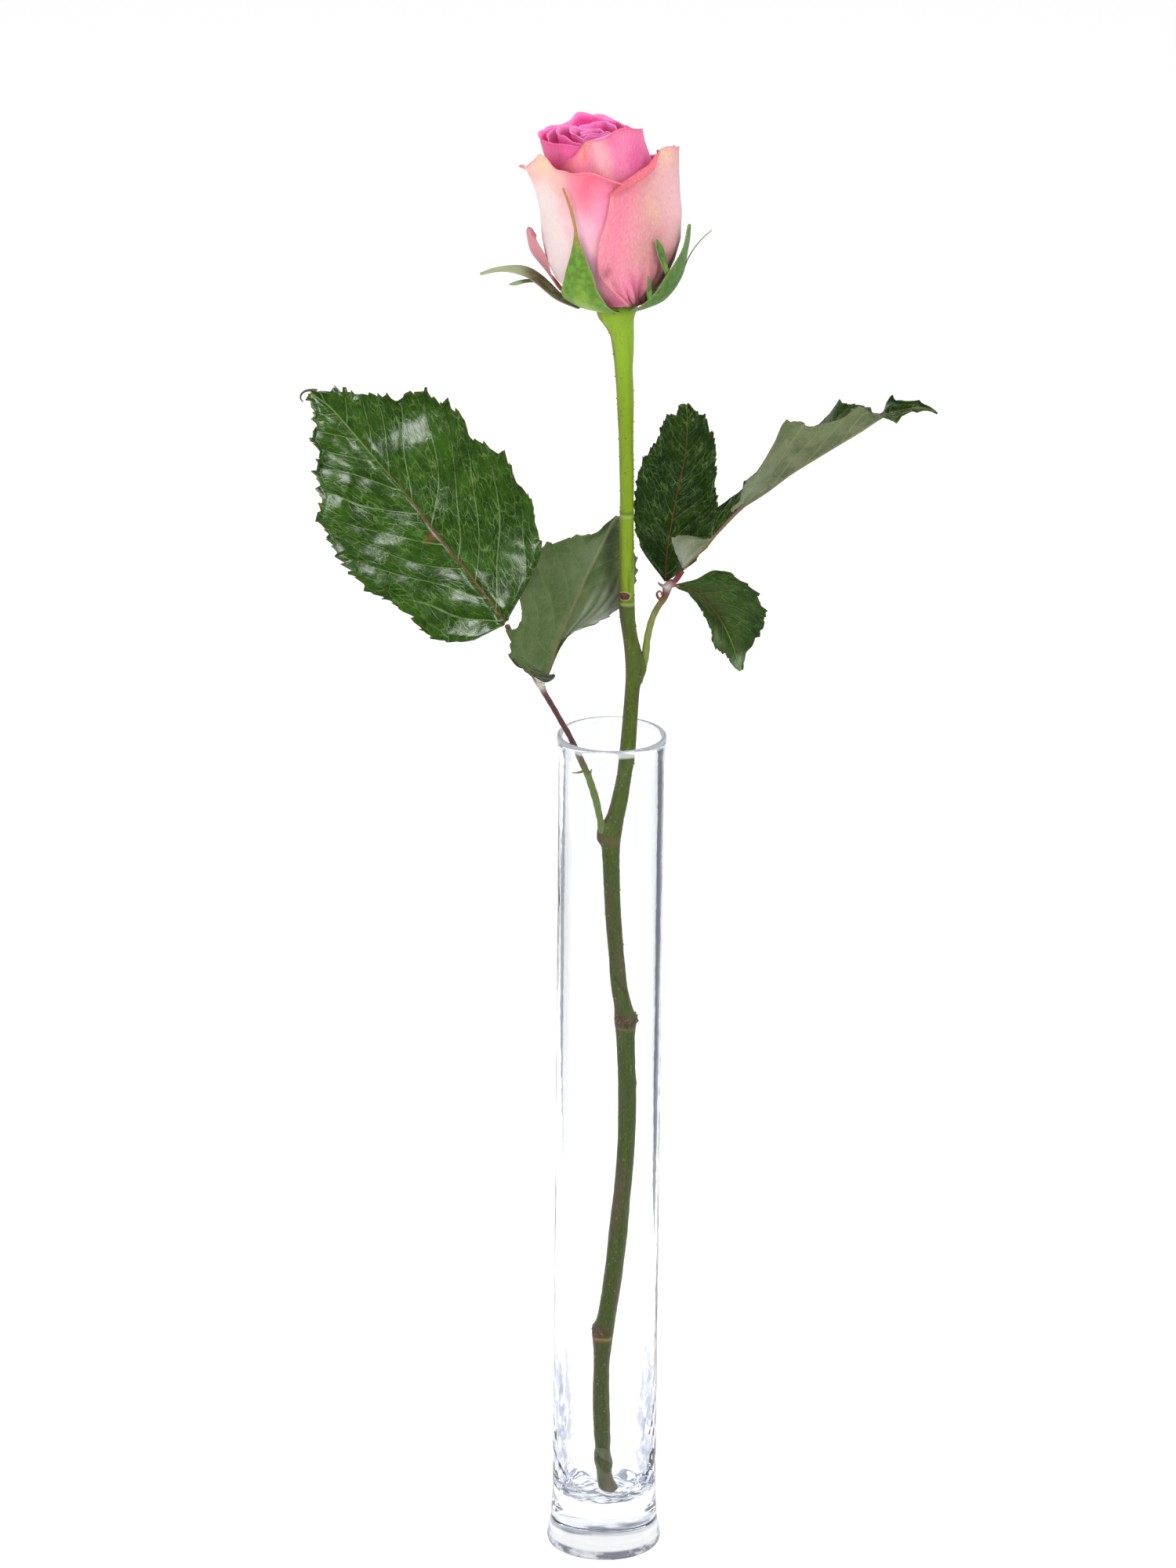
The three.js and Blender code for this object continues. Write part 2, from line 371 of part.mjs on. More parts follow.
// shared vertices merged, and the flat triangles of the end lines left out
function closed( loft ) {

	let g = new THREE.BufferGeometry().copy( loft );
	g.deleteAttribute( 'normal' );
	g.deleteAttribute( 'uv' );
	g = BufferGeometryUtils.mergeVertices( g, 1e-4 );
	const index = Array.from( g.index.array ), kept = [];
	for ( let i = 0; i < index.length; i += 3 ) {

		const [ a, b, c ] = index.slice( i, i + 3 );
		if ( a !== b && b !== c && c !== a ) kept.push( a, b, c );

	}
	// faces turned outwards
	const at = g.attributes.position, a = V( 0, 0, 0 ), b = V( 0, 0, 0 ), c = V( 0, 0, 0 );
	let volume = 0;
	for ( let i = 0; i < kept.length; i += 3 ) {

		a.fromBufferAttribute( at, kept[ i ] );
		b.fromBufferAttribute( at, kept[ i + 1 ] );
		c.fromBufferAttribute( at, kept[ i + 2 ] );
		volume += a.dot( b.cross( c ) );

	}
	if ( volume < 0 ) kept.reverse();
	g.setIndex( kept );
	g.computeVertexNormals();
	return g;

}

// round tube with its own radius at each row [x, y, z, radius]
function rod( table, sides, steps ) {

	const n = steps || table.length - 1;
	const at = t => row( table, t );
	const rings = [];
	let side = V( 1, 0, 0 );
	for ( let i = 0; i <= n; i ++ ) {

		const t = i / n;
		const [ x, y, z, r ] = at( t );
		const a = at( Math.max( 0, t - 1e-3 ) ), b = at( Math.min( 1, t + 1e-3 ) );
		const dir = V( b[ 0 ] - a[ 0 ], b[ 1 ] - a[ 1 ], b[ 2 ] - a[ 2 ] ).normalize();
		side = side.addScaledVector( dir, - side.dot( dir ) ).normalize();
		const other = dir.clone().cross( side );
		const ring = [];
		for ( let j = 0; j < sides; j ++ ) {

			const w = 2 * Math.PI * j / sides;
			ring.push( V( x, y, z ).addScaledVector( side, r * Math.cos( w ) ).addScaledVector( other, r * Math.sin( w ) ) );

		}
		rings.push( ring );
		side = side.clone();

	}
	return new LoftGeometry( rings, { closed: true, capStart: true, capEnd: true } );

}

// leaf blade from rows [midrib xyz, left edge xyz, right edge xyz]
function blade( table, bulge ) {

	return ( u, v ) => {

		const r = row( table, 0.985 * u );
		const m = V( r[ 0 ], r[ 1 ], r[ 2 ] );
		const t = Math.abs( v );
		const side = v < 0 ? V( r[ 3 ], r[ 4 ], r[ 5 ] ) : V( r[ 6 ], r[ 7 ], r[ 8 ] );
		const p = m.clone().lerp( side, t );
		p.y += bulge * 4 * t * ( 1 - t ) * Math.min( 1, 4 * u, 4 * ( 1 - u ) );
		return p;

	};

}

// a point of the bloom at angle, radius and height
function bloomPoint( angle, radius, height ) {

	const a = rad( angle );
	return V( BLOOM_BASE[ 0 ] + read( AXIS_LEAN, height ) + radius * Math.cos( a ), BLOOM_BASE[ 1 ] + radius * Math.sin( a ), BLOOM_BASE[ 2 ] + height );

}

function petalSurface( p ) {

	if ( p.table ) return wrapSurface( p.table );
	return ( u, v ) => {

		const s = 0.5 * ( v + 1 );
		const top = through( p.top, s );
		const rim = through( p.rim, s );
		const t = Math.pow( u, 1.5 );   // closer rows near the claw, where the petal bends most
		const h = p.base + ( top - p.base ) * t;
		const w = through( v > 0 && p.widthRight ? p.widthRight : p.width, t );
		const angle = p.mid + ( v < 0 ? p.left : p.right ) * w * v;
		const lift = Math.pow( Math.max( 0, ( h - 22 ) / ( top - 22 ) ), p.flare );
		return bloomPoint( angle, p.belly * read( BELLY, h ) + ( rim - p.belly ) * lift, h );

	};

}

// surface between two angles at each height
function wrapSurface( table ) {

	return ( u, v ) => {

		const [ h, a0, a1, r0, r1 ] = row( table, u );
		const s = 0.5 * ( v + 1 );
		return bloomPoint( a0 + ( a1 - a0 ) * s, r0 + ( r1 - r0 ) * s, h );

	};

}

// ------------------------------------------------------------ solid geometry

const wasm = await Module();
wasm.setup();

function toSolid( geometry ) {

	let g = new THREE.BufferGeometry().copy( geometry );
	g.deleteAttribute( 'normal' );
	g.deleteAttribute( 'uv' );
	g = BufferGeometryUtils.mergeVertices( g, 1e-4 );
	return new wasm.Manifold( new wasm.Mesh( { numProp: 3, vertProperties: new Float32Array( g.attributes.position.array ), triVerts: new Uint32Array( g.index.array ) } ) );

}

function toGeometry( solid ) {

	const m = solid.getMesh();
	const g = new THREE.BufferGeometry();
	g.setAttribute( 'position', new THREE.BufferAttribute( new Float32Array( m.vertProperties ), 3 ) );
	g.setIndex( new THREE.BufferAttribute( new Uint32Array( m.triVerts ), 1 ) );
	g.computeVertexNormals();
	return g;

}

// joins closed pieces that grow as one
function grown( first, ...others ) {

	let solid = toSolid( first );
	for ( const o of others ) solid = solid.add( toSolid( o ) );
	return toGeometry( solid );

}

function knob( x, y, z, rx, ry, rz ) {

	const g = new THREE.SphereGeometry( 1, 10, 7 );
	g.rotateX( Math.PI / 2 );
	g.scale( rx, ry, rz );
	g.translate( x, y, z );
	return g;

}

// ------------------------------------------------------------------ materials

const material = ( color, roughness = 0.5, extra = {} ) => new THREE.MeshStandardMaterial( { color, roughness, metalness: 0, ...extra } );

const group = new THREE.Group();
function piece( name, geometry, mat ) {

	const mesh = new THREE.Mesh( geometry, mat );
	mesh.name = name;
	group.add( mesh );

}

// ----------------------------------------------------------------------- vase

{

	const R = VASE_RADIUS, r = VASE_RADIUS - VASE_WALL, H = VASE_HEIGHT, F = FOOT_DEPTH;
	const profile = [
		[ 0, 0 ], [ 15.4, 0 ], [ 16.3, 0.5 ], [ FOOT_RADIUS, 1.6 ], [ 16.5, 3.2 ], [ 15.9, 5.6 ], [ 15.45, 8.5 ], [ 15.4, 11.5 ], [ 15.15, 14.5 ], [ R, 20 ],
		[ R, 120 ], [ R, H - 9 ], [ 15.15, H - 5 ], [ 15.5, H - 1.9 ], [ LIP_RADIUS, H - 1 ], [ 15.4, H - 0.2 ], [ 14.9, H ], [ 14.3, H - 0.3 ], [ 13.8, H - 1.3 ], [ 13.4, H - 4 ], [ r, H - 8 ],
		[ r, 120 ], [ r, 34 ], [ 13.0, 25 ], [ 12.3, 19.8 ], [ 10.6, 16.6 ], [ 7.6, 15.2 ], [ 4, F + 0.1 ], [ 0, F ],
	].map( ( [ x, y ] ) => new THREE.Vector2( x, y ) );
	const g = new THREE.LatheGeometry( profile, VASE_SIDES );
	g.rotateX( Math.PI / 2 );
	piece( 'vase', g, material( 0xeef3f4, 0.03, { transparent: true, opacity: 0.25 } ) );

}

// ----------------------------------------------------------------------- stem

{

	// the hip ends in a low dome that carries the petals
	const dome = [ [ 376.6, 5.8 ], [ 378, 5.4 ], [ 379.3, 4.6 ], [ 380.2, 3.5 ], [ 380.8, 2 ], [ 381, 0.8 ] ];
	const stem = rod( [ ...STEM, ...dome.map( ( [ z, r ] ) => [ 0.2, 0, z, r ] ) ], STEM_SIDES, 0 );
	piece( 'stem', grown( stem,
		knob( - 2.7, 1.2, 220.6, 1.6, 1.4, 2.6 ),
		knob( 8.2, 1.0, 269.5, 1.4, 1.4, 3.2 ),
		knob( 6.7, - 0.3, 164.0, 1.6, 1.7, 1.3 ),
		knob( - 3.0, - 1.0, 67.5, 0.9, 1.3, 1.4 ),
		knob( 3.4, - 1.6, 291.0, 1.9, 0.8, 1.2 ),
	), material( 0x5f8a25, 0.45 ) );

}

// --------------------------------------------------------------------- leaves

piece( 'leaf_left_stalk', grown( rod( LEFT_STALK, STALK_SIDES, 0 ), rod( STIPULE_LEFT, 6, 0 ), rod( STIPULE_LEFT_UP, 6, 0 ) ), material( 0x5c2a2a, 0.5 ) );
piece( 'leaf_left_terminal_leaflet', shell( blade( LEFT_TERMINAL, 0.8 ), LEAF_THICKNESS, 14, 10 ), material( 0x1f4a1c, 0.3 ) );
piece( 'leaf_left_side_leaflet', shell( blade( LEFT_SIDE, 0.5 ), LEAF_THICKNESS, 12, 8 ), material( 0x5a6e46, 0.6 ) );
piece( 'leaf_right_stalk', rod( RIGHT_STALK, STALK_SIDES, 0 ), material( 0x8a7a3a, 0.5 ) );
piece( 'leaf_right_upright_leaflet', shell( blade( RIGHT_UPRIGHT, 0.5 ), LEAF_THICKNESS, 12, 8 ), material( 0x1f4420, 0.35 ) );
piece( 'leaf_right_terminal_leaflet', shell( blade( RIGHT_TERMINAL, 0.3 ), LEAF_THICKNESS, 20, 8 ), material( 0x7f8f72, 0.6 ) );
piece( 'leaf_right_lower_leaflet', shell( blade( RIGHT_LOWER, 0.5 ), LEAF_THICKNESS, 10, 8 ), material( 0x2a5228, 0.4 ) );

// --------------------------------------------------------------------- petals

for ( const p of PETALS ) {

	const pink = p.name.includes( 'outer' ) ? 0xf3c3c0 : p.name.includes( 'bud' ) ? 0xd9458f : 0xf07aa8;
	const [ along, across ] = p.table ? [ 6, 4 ] : p.belly > 14 ? [ 8, 10 ] : [ 7, 8 ];
	piece( p.name, shell( petalSurface( p ), PETAL_THICKNESS, along, across ), material( pink, 0.55 ) );

}

// --------------------------------------------------------------------- sepals

const sepalGreen = material( 0x5f9e1f, 0.5 );
const lobe = ( table, bulge = 0.1 ) => shell( blade( table, bulge ), 0.5, 6, 2 );
const lobes = { sepal_right: [ lobe( LOBE_RIGHT_UPPER ), lobe( LOBE_RIGHT_LOWER ), rod( FILAMENT_RIGHT, 6, 0 ) ] };
for ( const s of SEPALS ) {

	const body = shell( wrapSurface( s.table ), SEPAL_THICKNESS, 10, 4 );
	piece( s.name, lobes[ s.name ] ? grown( body, ...lobes[ s.name ] ) : body, sepalGreen.clone() );

}

piece( 'sepal_left', grown( shell( blade( SEPAL_LEFT, 0.2 ), SEPAL_THICKNESS, 12, 4 ), lobe( LOBE_LEFT ) ), material( 0x6d8f4f, 0.5 ) );

export default group;
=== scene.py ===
"""A cut rose standing in a slim clear glass tube vase: the visible surfaces.

Every petal, sepal and leaflet is a thin closed shell over a smooth surface,
with rolled rims, ruffles, toothed margins, raised veins and quilting modelled
in the mesh. Colours come from procedural node materials. Tables are in
millimetres; meshes are in metres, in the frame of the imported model.
"""

import json
import math

import bpy
import numpy as np
from mathutils import Matrix


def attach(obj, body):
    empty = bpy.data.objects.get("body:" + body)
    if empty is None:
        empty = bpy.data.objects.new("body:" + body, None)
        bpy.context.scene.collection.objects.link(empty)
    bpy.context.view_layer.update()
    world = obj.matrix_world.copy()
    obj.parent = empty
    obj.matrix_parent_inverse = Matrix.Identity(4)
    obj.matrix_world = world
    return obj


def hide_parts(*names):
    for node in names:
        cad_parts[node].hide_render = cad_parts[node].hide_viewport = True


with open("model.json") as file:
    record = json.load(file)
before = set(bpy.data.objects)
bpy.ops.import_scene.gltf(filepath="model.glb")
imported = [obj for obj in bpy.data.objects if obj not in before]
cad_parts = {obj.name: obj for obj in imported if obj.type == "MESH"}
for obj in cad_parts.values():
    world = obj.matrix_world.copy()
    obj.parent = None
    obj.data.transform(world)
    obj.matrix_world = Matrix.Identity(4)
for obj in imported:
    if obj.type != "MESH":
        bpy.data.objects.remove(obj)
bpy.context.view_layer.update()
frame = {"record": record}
scene = bpy.context.scene
MM = 0.001

# --------------------------------------------------------------- measured tables

BLOOM_BASE = (0.7, 0.0, 376.0)      # top of the rose hip
VASE_HEIGHT = 250.0
VASE_RADIUS = 15.05
VASE_WALL = 1.8
LIP_RADIUS = 15.65
FOOT_RADIUS = 16.6
FOOT_DEPTH = 14.2

STEM = [
    [1.5, -1.0, 15.27, 2.75],
    [0.19, -1.0, 21.03, 2.4],
    [-0.43, -1.0, 26.03, 2.29],
    [-0.87, -1.0, 36.01, 2.4],
    [-1.19, -1.0, 45.97, 2.4],
    [-1.16, -1.0, 55.91, 2.28],
    [-0.98, -1.0, 60.87, 2.51],
    [-0.86, -1.0, 65.83, 3.02],
    [0.06, -1.02, 70.79, 2.73],
    [0.81, -1.17, 75.8, 2.61],
    [2.08, -1.47, 85.8, 2.61],
    [3.0, -1.77, 95.77, 2.72],
    [3.81, -2.07, 105.7, 2.6],
    [4.62, -2.37, 115.61, 2.49],
    [5.2, -2.23, 125.31, 2.48],
    [5.44, -1.76, 134.84, 2.59],
    [5.34, -1.28, 144.35, 2.59],
    [5.02, -0.81, 153.84, 2.59],
    [4.86, -0.57, 158.58, 2.7],
    [4.75, -0.33, 163.31, 3.2],
    [3.98, -0.1, 168.03, 2.58],
    [3.03, 0.14, 172.74, 2.36],
    [2.48, 0.37, 177.45, 2.3],
    [2.1, 0.57, 182.17, 2.19],
    [1.66, 0.71, 186.91, 2.24],
    [0.89, 0.99, 196.37, 2.24],
    [0.47, 1.27, 205.81, 2.35],
    [0.21, 1.56, 215.22, 2.51],
    [0.5, 1.7, 219.93, 2.73],
    [1.46, 1.84, 224.63, 2.51],
    [2.47, 1.98, 229.34, 2.34],
    [3.31, 1.93, 234.1, 2.12],
    [3.93, 1.85, 238.86, 2.11],
    [4.5, 1.77, 243.62, 2.28],
    [5.12, 1.61, 253.1, 2.11],
    [5.69, 1.4, 262.59, 2.11],
    [6.03, 1.22, 267.34, 2.27],
    [5.97, 1.05, 272.09, 2.38],
    [5.26, 0.87, 276.82, 2.16],
    [4.49, 0.69, 281.54, 2.1],
    [4.0, 0.52, 286.26, 2.21],
    [3.68, 0.16, 295.69, 2.21],
    [3.64, -0.06, 305.05, 2.04],
    [3.6, -0.18, 314.35, 1.98],
    [3.51, -0.3, 323.62, 1.98],
    [3.25, -0.41, 332.87, 2.03],
    [2.99, -0.47, 342.08, 2.19],
    [2.68, -0.36, 351.21, 2.41],
    [2.23, -0.27, 358.04, 2.57],
    [2.07, -0.22, 362.58, 2.9],
    [1.85, -0.18, 365.99, 3.15],
    [1.64, -0.15, 368.26, 3.4],
    [1.17, -0.12, 370.52, 3.93],
    [0.77, -0.1, 372.11, 4.53],
    [0.37, -0.08, 373.91, 5.46],
    [0.25, -0.06, 375.05, 5.78],
]

LEFT_TERMINAL = [
    [-30.11, -12.0, 286.88, -30.55, -12.17, 286.24, -29.46, -11.77, 287.74],
    [-34.81, -9.86, 292.78, -48.03, -13.17, 282.27, -21.23, -7.76, 304.78],
    [-39.66, -7.75, 298.56, -57.53, -11.35, 289.04, -22.58, -4.63, 317.25],
    [-44.64, -5.66, 304.23, -66.23, -9.79, 294.43, -27.92, -2.21, 326.69],
    [-49.6, -3.57, 309.92, -73.57, -8.22, 299.96, -34.17, -0.37, 334.07],
    [-54.29, -1.53, 315.85, -78.14, -6.31, 307.1, -41.74, 1.18, 339.32],
    [-59.27, 0.39, 321.55, -81.76, -4.43, 314.27, -47.19, 3.24, 346.05],
    [-64.53, 2.23, 327.05, -82.2, -2.25, 321.76, -55.29, 4.26, 347.96],
    [-69.71, 4.07, 332.62, -82.69, 0.36, 328.87, -63.46, 4.9, 347.19],
    [-74.83, 5.98, 338.22, -83.39, 3.09, 335.64, -71.42, 5.97, 347.23],
    [-80.16, 8.08, 343.58, -84.04, 6.52, 341.97, -79.07, 8.06, 347.94],
    [-86.58, 9.86, 347.66, -86.58, 9.86, 347.66, -86.58, 9.86, 347.66],
]

LEFT_SIDE = [
    [-19.22, -10.37, 269.1, -19.44, -10.49, 269.02, -19.0, -10.27, 269.06],
    [-17.35, -8.64, 273.53, -26.68, -13.16, 275.7, -15.66, -6.38, 275.81],
    [-15.96, -7.09, 278.26, -28.03, -12.84, 282.62, -12.21, -2.79, 280.66],
    [-14.05, -5.33, 282.74, -25.58, -10.0, 288.85, -6.58, 0.54, 282.12],
    [-12.03, -3.52, 287.15, -26.02, -8.49, 295.65, -1.32, 3.71, 283.7],
    [-10.01, -1.72, 291.57, -24.33, -5.83, 301.55, 2.73, 6.12, 287.23],
    [-8.05, 0.06, 296.03, -20.0, -2.22, 305.44, 5.49, 8.05, 291.64],
    [-5.8, 1.96, 300.3, -14.3, 0.17, 307.03, 6.24, 8.88, 297.0],
    [-3.5, 3.87, 304.55, -8.4, 2.53, 307.96, 5.35, 8.93, 302.51],
    [-1.17, 5.8, 308.78, -2.89, 5.27, 309.23, 3.58, 8.5, 307.83],
    [1.31, 7.78, 312.91, 1.31, 7.78, 312.91, 1.31, 7.78, 312.91],
]

RIGHT_UPRIGHT = [
    [14.79, 7.15, 293.13, 14.57, 7.14, 293.13, 15.01, 7.15, 293.13],
    [14.84, 7.66, 298.89, 9.02, 7.21, 301.71, 22.76, 7.38, 299.18],
    [15.51, 8.16, 304.66, 6.35, 7.28, 308.73, 27.16, 7.56, 305.62],
    [16.36, 8.57, 310.43, 5.91, 7.44, 315.59, 28.98, 7.71, 312.53],
    [17.32, 8.92, 316.19, 6.75, 7.57, 321.89, 28.92, 7.78, 319.16],
    [18.44, 9.17, 321.94, 8.42, 7.67, 327.73, 28.5, 7.81, 325.53],
    [19.6, 9.33, 327.7, 11.18, 7.8, 332.77, 27.93, 7.88, 331.59],
    [20.22, 9.41, 333.57, 13.5, 7.93, 337.85, 26.51, 7.97, 337.28],
    [20.4, 9.39, 339.5, 16.48, 8.58, 341.84, 24.05, 8.63, 342.14],
    [19.91, 9.34, 345.4, 19.91, 9.34, 345.4, 19.91, 9.34, 345.4],
]

RIGHT_LOWER = [
    [17.66, 5.18, 292.53, 17.66, 5.09, 292.21, 17.66, 5.26, 292.78],
    [21.58, 4.64, 291.63, 22.41, 3.17, 290.28, 25.68, 4.19, 295.32],
    [24.92, 3.8, 289.63, 24.95, 1.25, 287.23, 31.89, 3.03, 297.05],
    [27.75, 2.76, 286.95, 26.87, -0.6, 284.12, 36.97, 0.53, 294.39],
    [30.17, 1.44, 283.99, 28.14, -2.12, 280.92, 40.82, -1.62, 290.59],
    [32.16, 0.0, 280.76, 29.14, -3.37, 277.67, 42.03, -3.38, 285.56],
    [33.75, -1.62, 277.39, 31.94, -3.79, 275.59, 40.77, -3.88, 280.13],
    [35.06, -3.04, 273.83, 34.21, -4.13, 272.91, 38.02, -3.97, 275.33],
    [36.44, -4.32, 270.25, 36.44, -4.32, 270.25, 36.44, -4.32, 270.25],
]

RIGHT_TERMINAL = [
    [19.78, 3.0, 298.4, 19.11, 2.6, 299.22, 20.44, 3.4, 298.97],
    [22.17, 2.6, 301.34, 17.7, 0.0, 304.47, 22.36, 3.4, 304.79],
    [25.22, 2.2, 304.52, 17.84, -2.5, 309.69, 24.26, 3.8, 311.41],
    [28.68, 1.6, 308.69, 24.17, -5.5, 311.65, 29.06, 4.2, 315.73],
    [32.58, 1.0, 313.56, 31.55, -8.0, 316.46, 34.1, 6.0, 319.13],
    [36.46, 0.2, 318.01, 36.63, -9.5, 326.89, 37.17, 8.0, 322.23],
    [42.54, -0.8, 322.55, 41.14, -10.5, 331.61, 40.88, 9.0, 325.88],
    [49.24, -1.6, 328.17, 47.52, -9.5, 344.18, 47.11, 9.5, 336.4],
    [56.17, -2.2, 333.03, 54.95, -9.5, 343.57, 56.34, 9.5, 337.88],
    [62.66, -2.6, 337.36, 62.61, -8.0, 344.77, 63.38, 7.0, 347.0],
    [68.72, -2.6, 341.31, 68.91, -6.5, 348.94, 68.79, 3.5, 346.3],
    [74.35, -2.4, 345.2, 74.19, -6.5, 347.16, 74.69, 1.5, 344.45],
    [78.48, -2.2, 346.79, 78.42, -5.5, 345.06, 78.26, 0.2, 350.62],
    [83.5, -2.0, 347.92, 83.01, -4.0, 347.16, 84.18, -0.6, 349.09],
    [87.66, -2.0, 347.73, 87.43, -2.8, 347.29, 87.9, -1.4, 348.0],
    [90.99, -2.0, 345.93, 90.77, -2.2, 345.76, 90.99, -1.9, 346.13],
]

LEFT_STALK = [
    [-3.05, 0.2, 224.24, 0.95],
    [-4.34, -0.8, 230.74, 1.05],
    [-6.17, -1.8, 236.99, 1.0],
    [-7.53, -2.4, 240.73, 0.95],
    [-9.34, -3.0, 244.93, 0.85],
    [-11.03, -3.5, 248.39, 0.82],
    [-12.5, -4.1, 251.64, 0.8],
    [-13.85, -4.6, 254.15, 0.8],
    [-16.54, -6.0, 259.54, 0.8],
    [-19.21, -8.0, 264.89, 0.85],
    [-20.1, -9.0, 267.33, 1.15],
    [-21.67, -8.4, 269.45, 0.95],
    [-24.13, -7.4, 273.51, 0.75],
    [-27.25, -8.0, 279.05, 0.75],
    [-29.67, -11.4, 285.64, 0.75],
]

RIGHT_STALK = [
    [9.34, 1.6, 273.57, 1.1],
    [9.74, 2.1, 277.61, 1.0],
    [10.9, 3.0, 282.7, 0.95],
    [12.42, 3.8, 286.18, 0.9],
    [14.6, 4.6, 289.43, 0.95],
    [15.23, 5.0, 291.87, 1.3],
    [16.1, 4.9, 293.31, 1.1],
    [17.41, 4.4, 294.19, 0.8],
    [19.36, 3.3, 297.36, 0.75],
]

SEPAL_LEFT = [
    [-9.79, -4.2, 377.09, -10.65, -6.4, 377.05, -8.93, -2.0, 378.03],
    [-13.06, -4.6, 378.31, -13.92, -7.0, 378.56, -12.64, -3.0, 379.2],
    [-16.13, -4.4, 380.03, -16.76, -7.4, 380.23, -15.7, -3.6, 381.05],
    [-18.98, -3.6, 382.26, -19.39, -7.4, 382.25, -18.57, -1.8, 383.55],
    [-21.61, -3.4, 384.67, -22.01, -7.0, 384.14, -21.42, -0.4, 385.61],
    [-24.67, -3.6, 386.74, -24.85, -6.6, 386.03, -24.71, 0.0, 387.04],
    [-28.37, -4.0, 387.72, -28.56, -6.2, 387.24, -28.41, -0.6, 387.75],
    [-31.85, -4.4, 387.81, -31.82, -6.0, 387.48, -31.87, -2.2, 387.84],
    [-35.32, -4.8, 387.21, -35.31, -5.6, 386.88, -35.33, -4.0, 387.43],
    [-38.14, -5.0, 386.34, -38.13, -5.2, 386.06, -38.14, -4.8, 386.51],
]

LOBE_RIGHT_UPPER = [
    [14.43, -12.46, 388.35, 13.77, -13.29, 388.59, 15.09, -11.53, 388.09],
    [13.52, -13.97, 391.49, 12.75, -14.79, 391.72, 14.17, -13.21, 391.5],
    [12.61, -15.5, 394.85, 11.63, -16.36, 394.87, 13.47, -14.65, 395.06],
    [11.7, -16.42, 397.81, 10.84, -17.1, 397.77, 12.57, -15.65, 398.04],
    [10.8, -17.17, 400.49, 10.68, -17.27, 400.4, 11.02, -17.01, 400.53],
]

LOBE_RIGHT_LOWER = [
    [9.29, -14.33, 382.31, 8.64, -14.8, 382.44, 9.94, -13.8, 382.38],
    [9.15, -16.32, 384.7, 8.39, -16.82, 384.73, 9.91, -15.77, 384.77],
    [9.01, -17.59, 387.1, 8.47, -17.92, 386.97, 9.55, -17.23, 387.23],
    [8.75, -18.57, 390.31, 8.64, -18.63, 390.22, 8.93, -18.47, 390.28],
]

LOBE_LEFT = [
    [-21.6, -4.2, 384.45, -21.59, -4.6, 383.89, -21.61, -3.8, 385.02],
    [-23.78, -4.6, 384.66, -23.77, -5.0, 384.21, -23.78, -4.2, 385.0],
    [-25.95, -4.9, 384.5, -25.94, -5.4, 383.97, -25.95, -4.4, 384.81],
    [-27.9, -5.0, 383.95, -27.89, -5.5, 383.42, -27.91, -4.5, 384.34],
    [-29.86, -5.0, 383.48, -29.86, -5.1, 383.37, -29.86, -4.9, 383.58],
]

FILAMENT_RIGHT = [
    [17.76, -5.2, 386.48, 0.3],
    [18.71, -5.2, 388.75, 0.3],
    [19.87, -5.0, 391.65, 0.27],
    [21.57, -4.8, 394.54, 0.25],
    [23.71, -4.6, 397.21, 0.22],
    [26.29, -4.4, 399.55, 0.18],
]

STIPULE_LEFT = [
    [-7.09, -2.3, 240.23, 0.5],
    [-8.85, -2.9, 239.48, 0.35],
    [-10.85, -3.2, 239.33, 0.15],
]

STIPULE_LEFT_UP = [
    [-6.84, -2.3, 237.87, 0.5],
    [-5.96, -2.9, 239.28, 0.3],
    [-5.53, -3.2, 240.68, 0.15],
]

LEFT_TERMINAL_EDGE_A = [
    [0, 0], [0.026, 4.57], [0.044, 3.8], [0.052, 2.81], [0.058, 2.42], [0.074, 1.98],
    [0.082, 0.94], [0.098, 0.83], [0.106, 1.1], [0.11, 0.5], [0.122, 0.6], [0.128, 0.33],
    [0.134, 0.55], [0.156, 0.49], [0.17, -0.16], [0.192, 0.55], [0.204, 0.49], [0.21, 0],
    [0.24, -0.38], [0.248, 0.05], [0.251, 0.49], [0.259, -0.05], [0.275, 0.82], [0.279, 0.55],
    [0.285, 0.66], [0.297, 1.98], [0.301, 1.98], [0.311, 0.6], [0.317, 0.16], [0.345, -0.05],
    [0.357, 0.38], [0.363, 0.88], [0.373, -0.28], [0.399, 0.66], [0.403, 0.11], [0.431, 1.6],
    [0.437, 0.28], [0.465, 0.44], [0.495, 1.05], [0.499, -0.17], [0.503, -0.28], [0.539, 0.66],
    [0.549, 1.21], [0.553, 1.93], [0.581, 0.11], [0.619, -0.83], [0.661, 1.44], [0.665, -0.22],
    [0.675, -0.06], [0.715, 1.55], [0.739, -0.39], [0.762, -0.06], [0.78, -0.67],
    [0.812, 0.45], [0.82, 1.01], [0.826, 1.73], [0.844, 1.23], [0.852, 0.95], [0.858, 0.84],
    [0.868, -0.28], [0.884, 0.06], [0.906, 1.4], [0.912, 0.11], [0.936, 0.22], [0.954, 0.7],
    [0.972, 0.27], [0.982, 1.46], [0.986, 1.46], [0.994, 0.17], [1, 0],
]

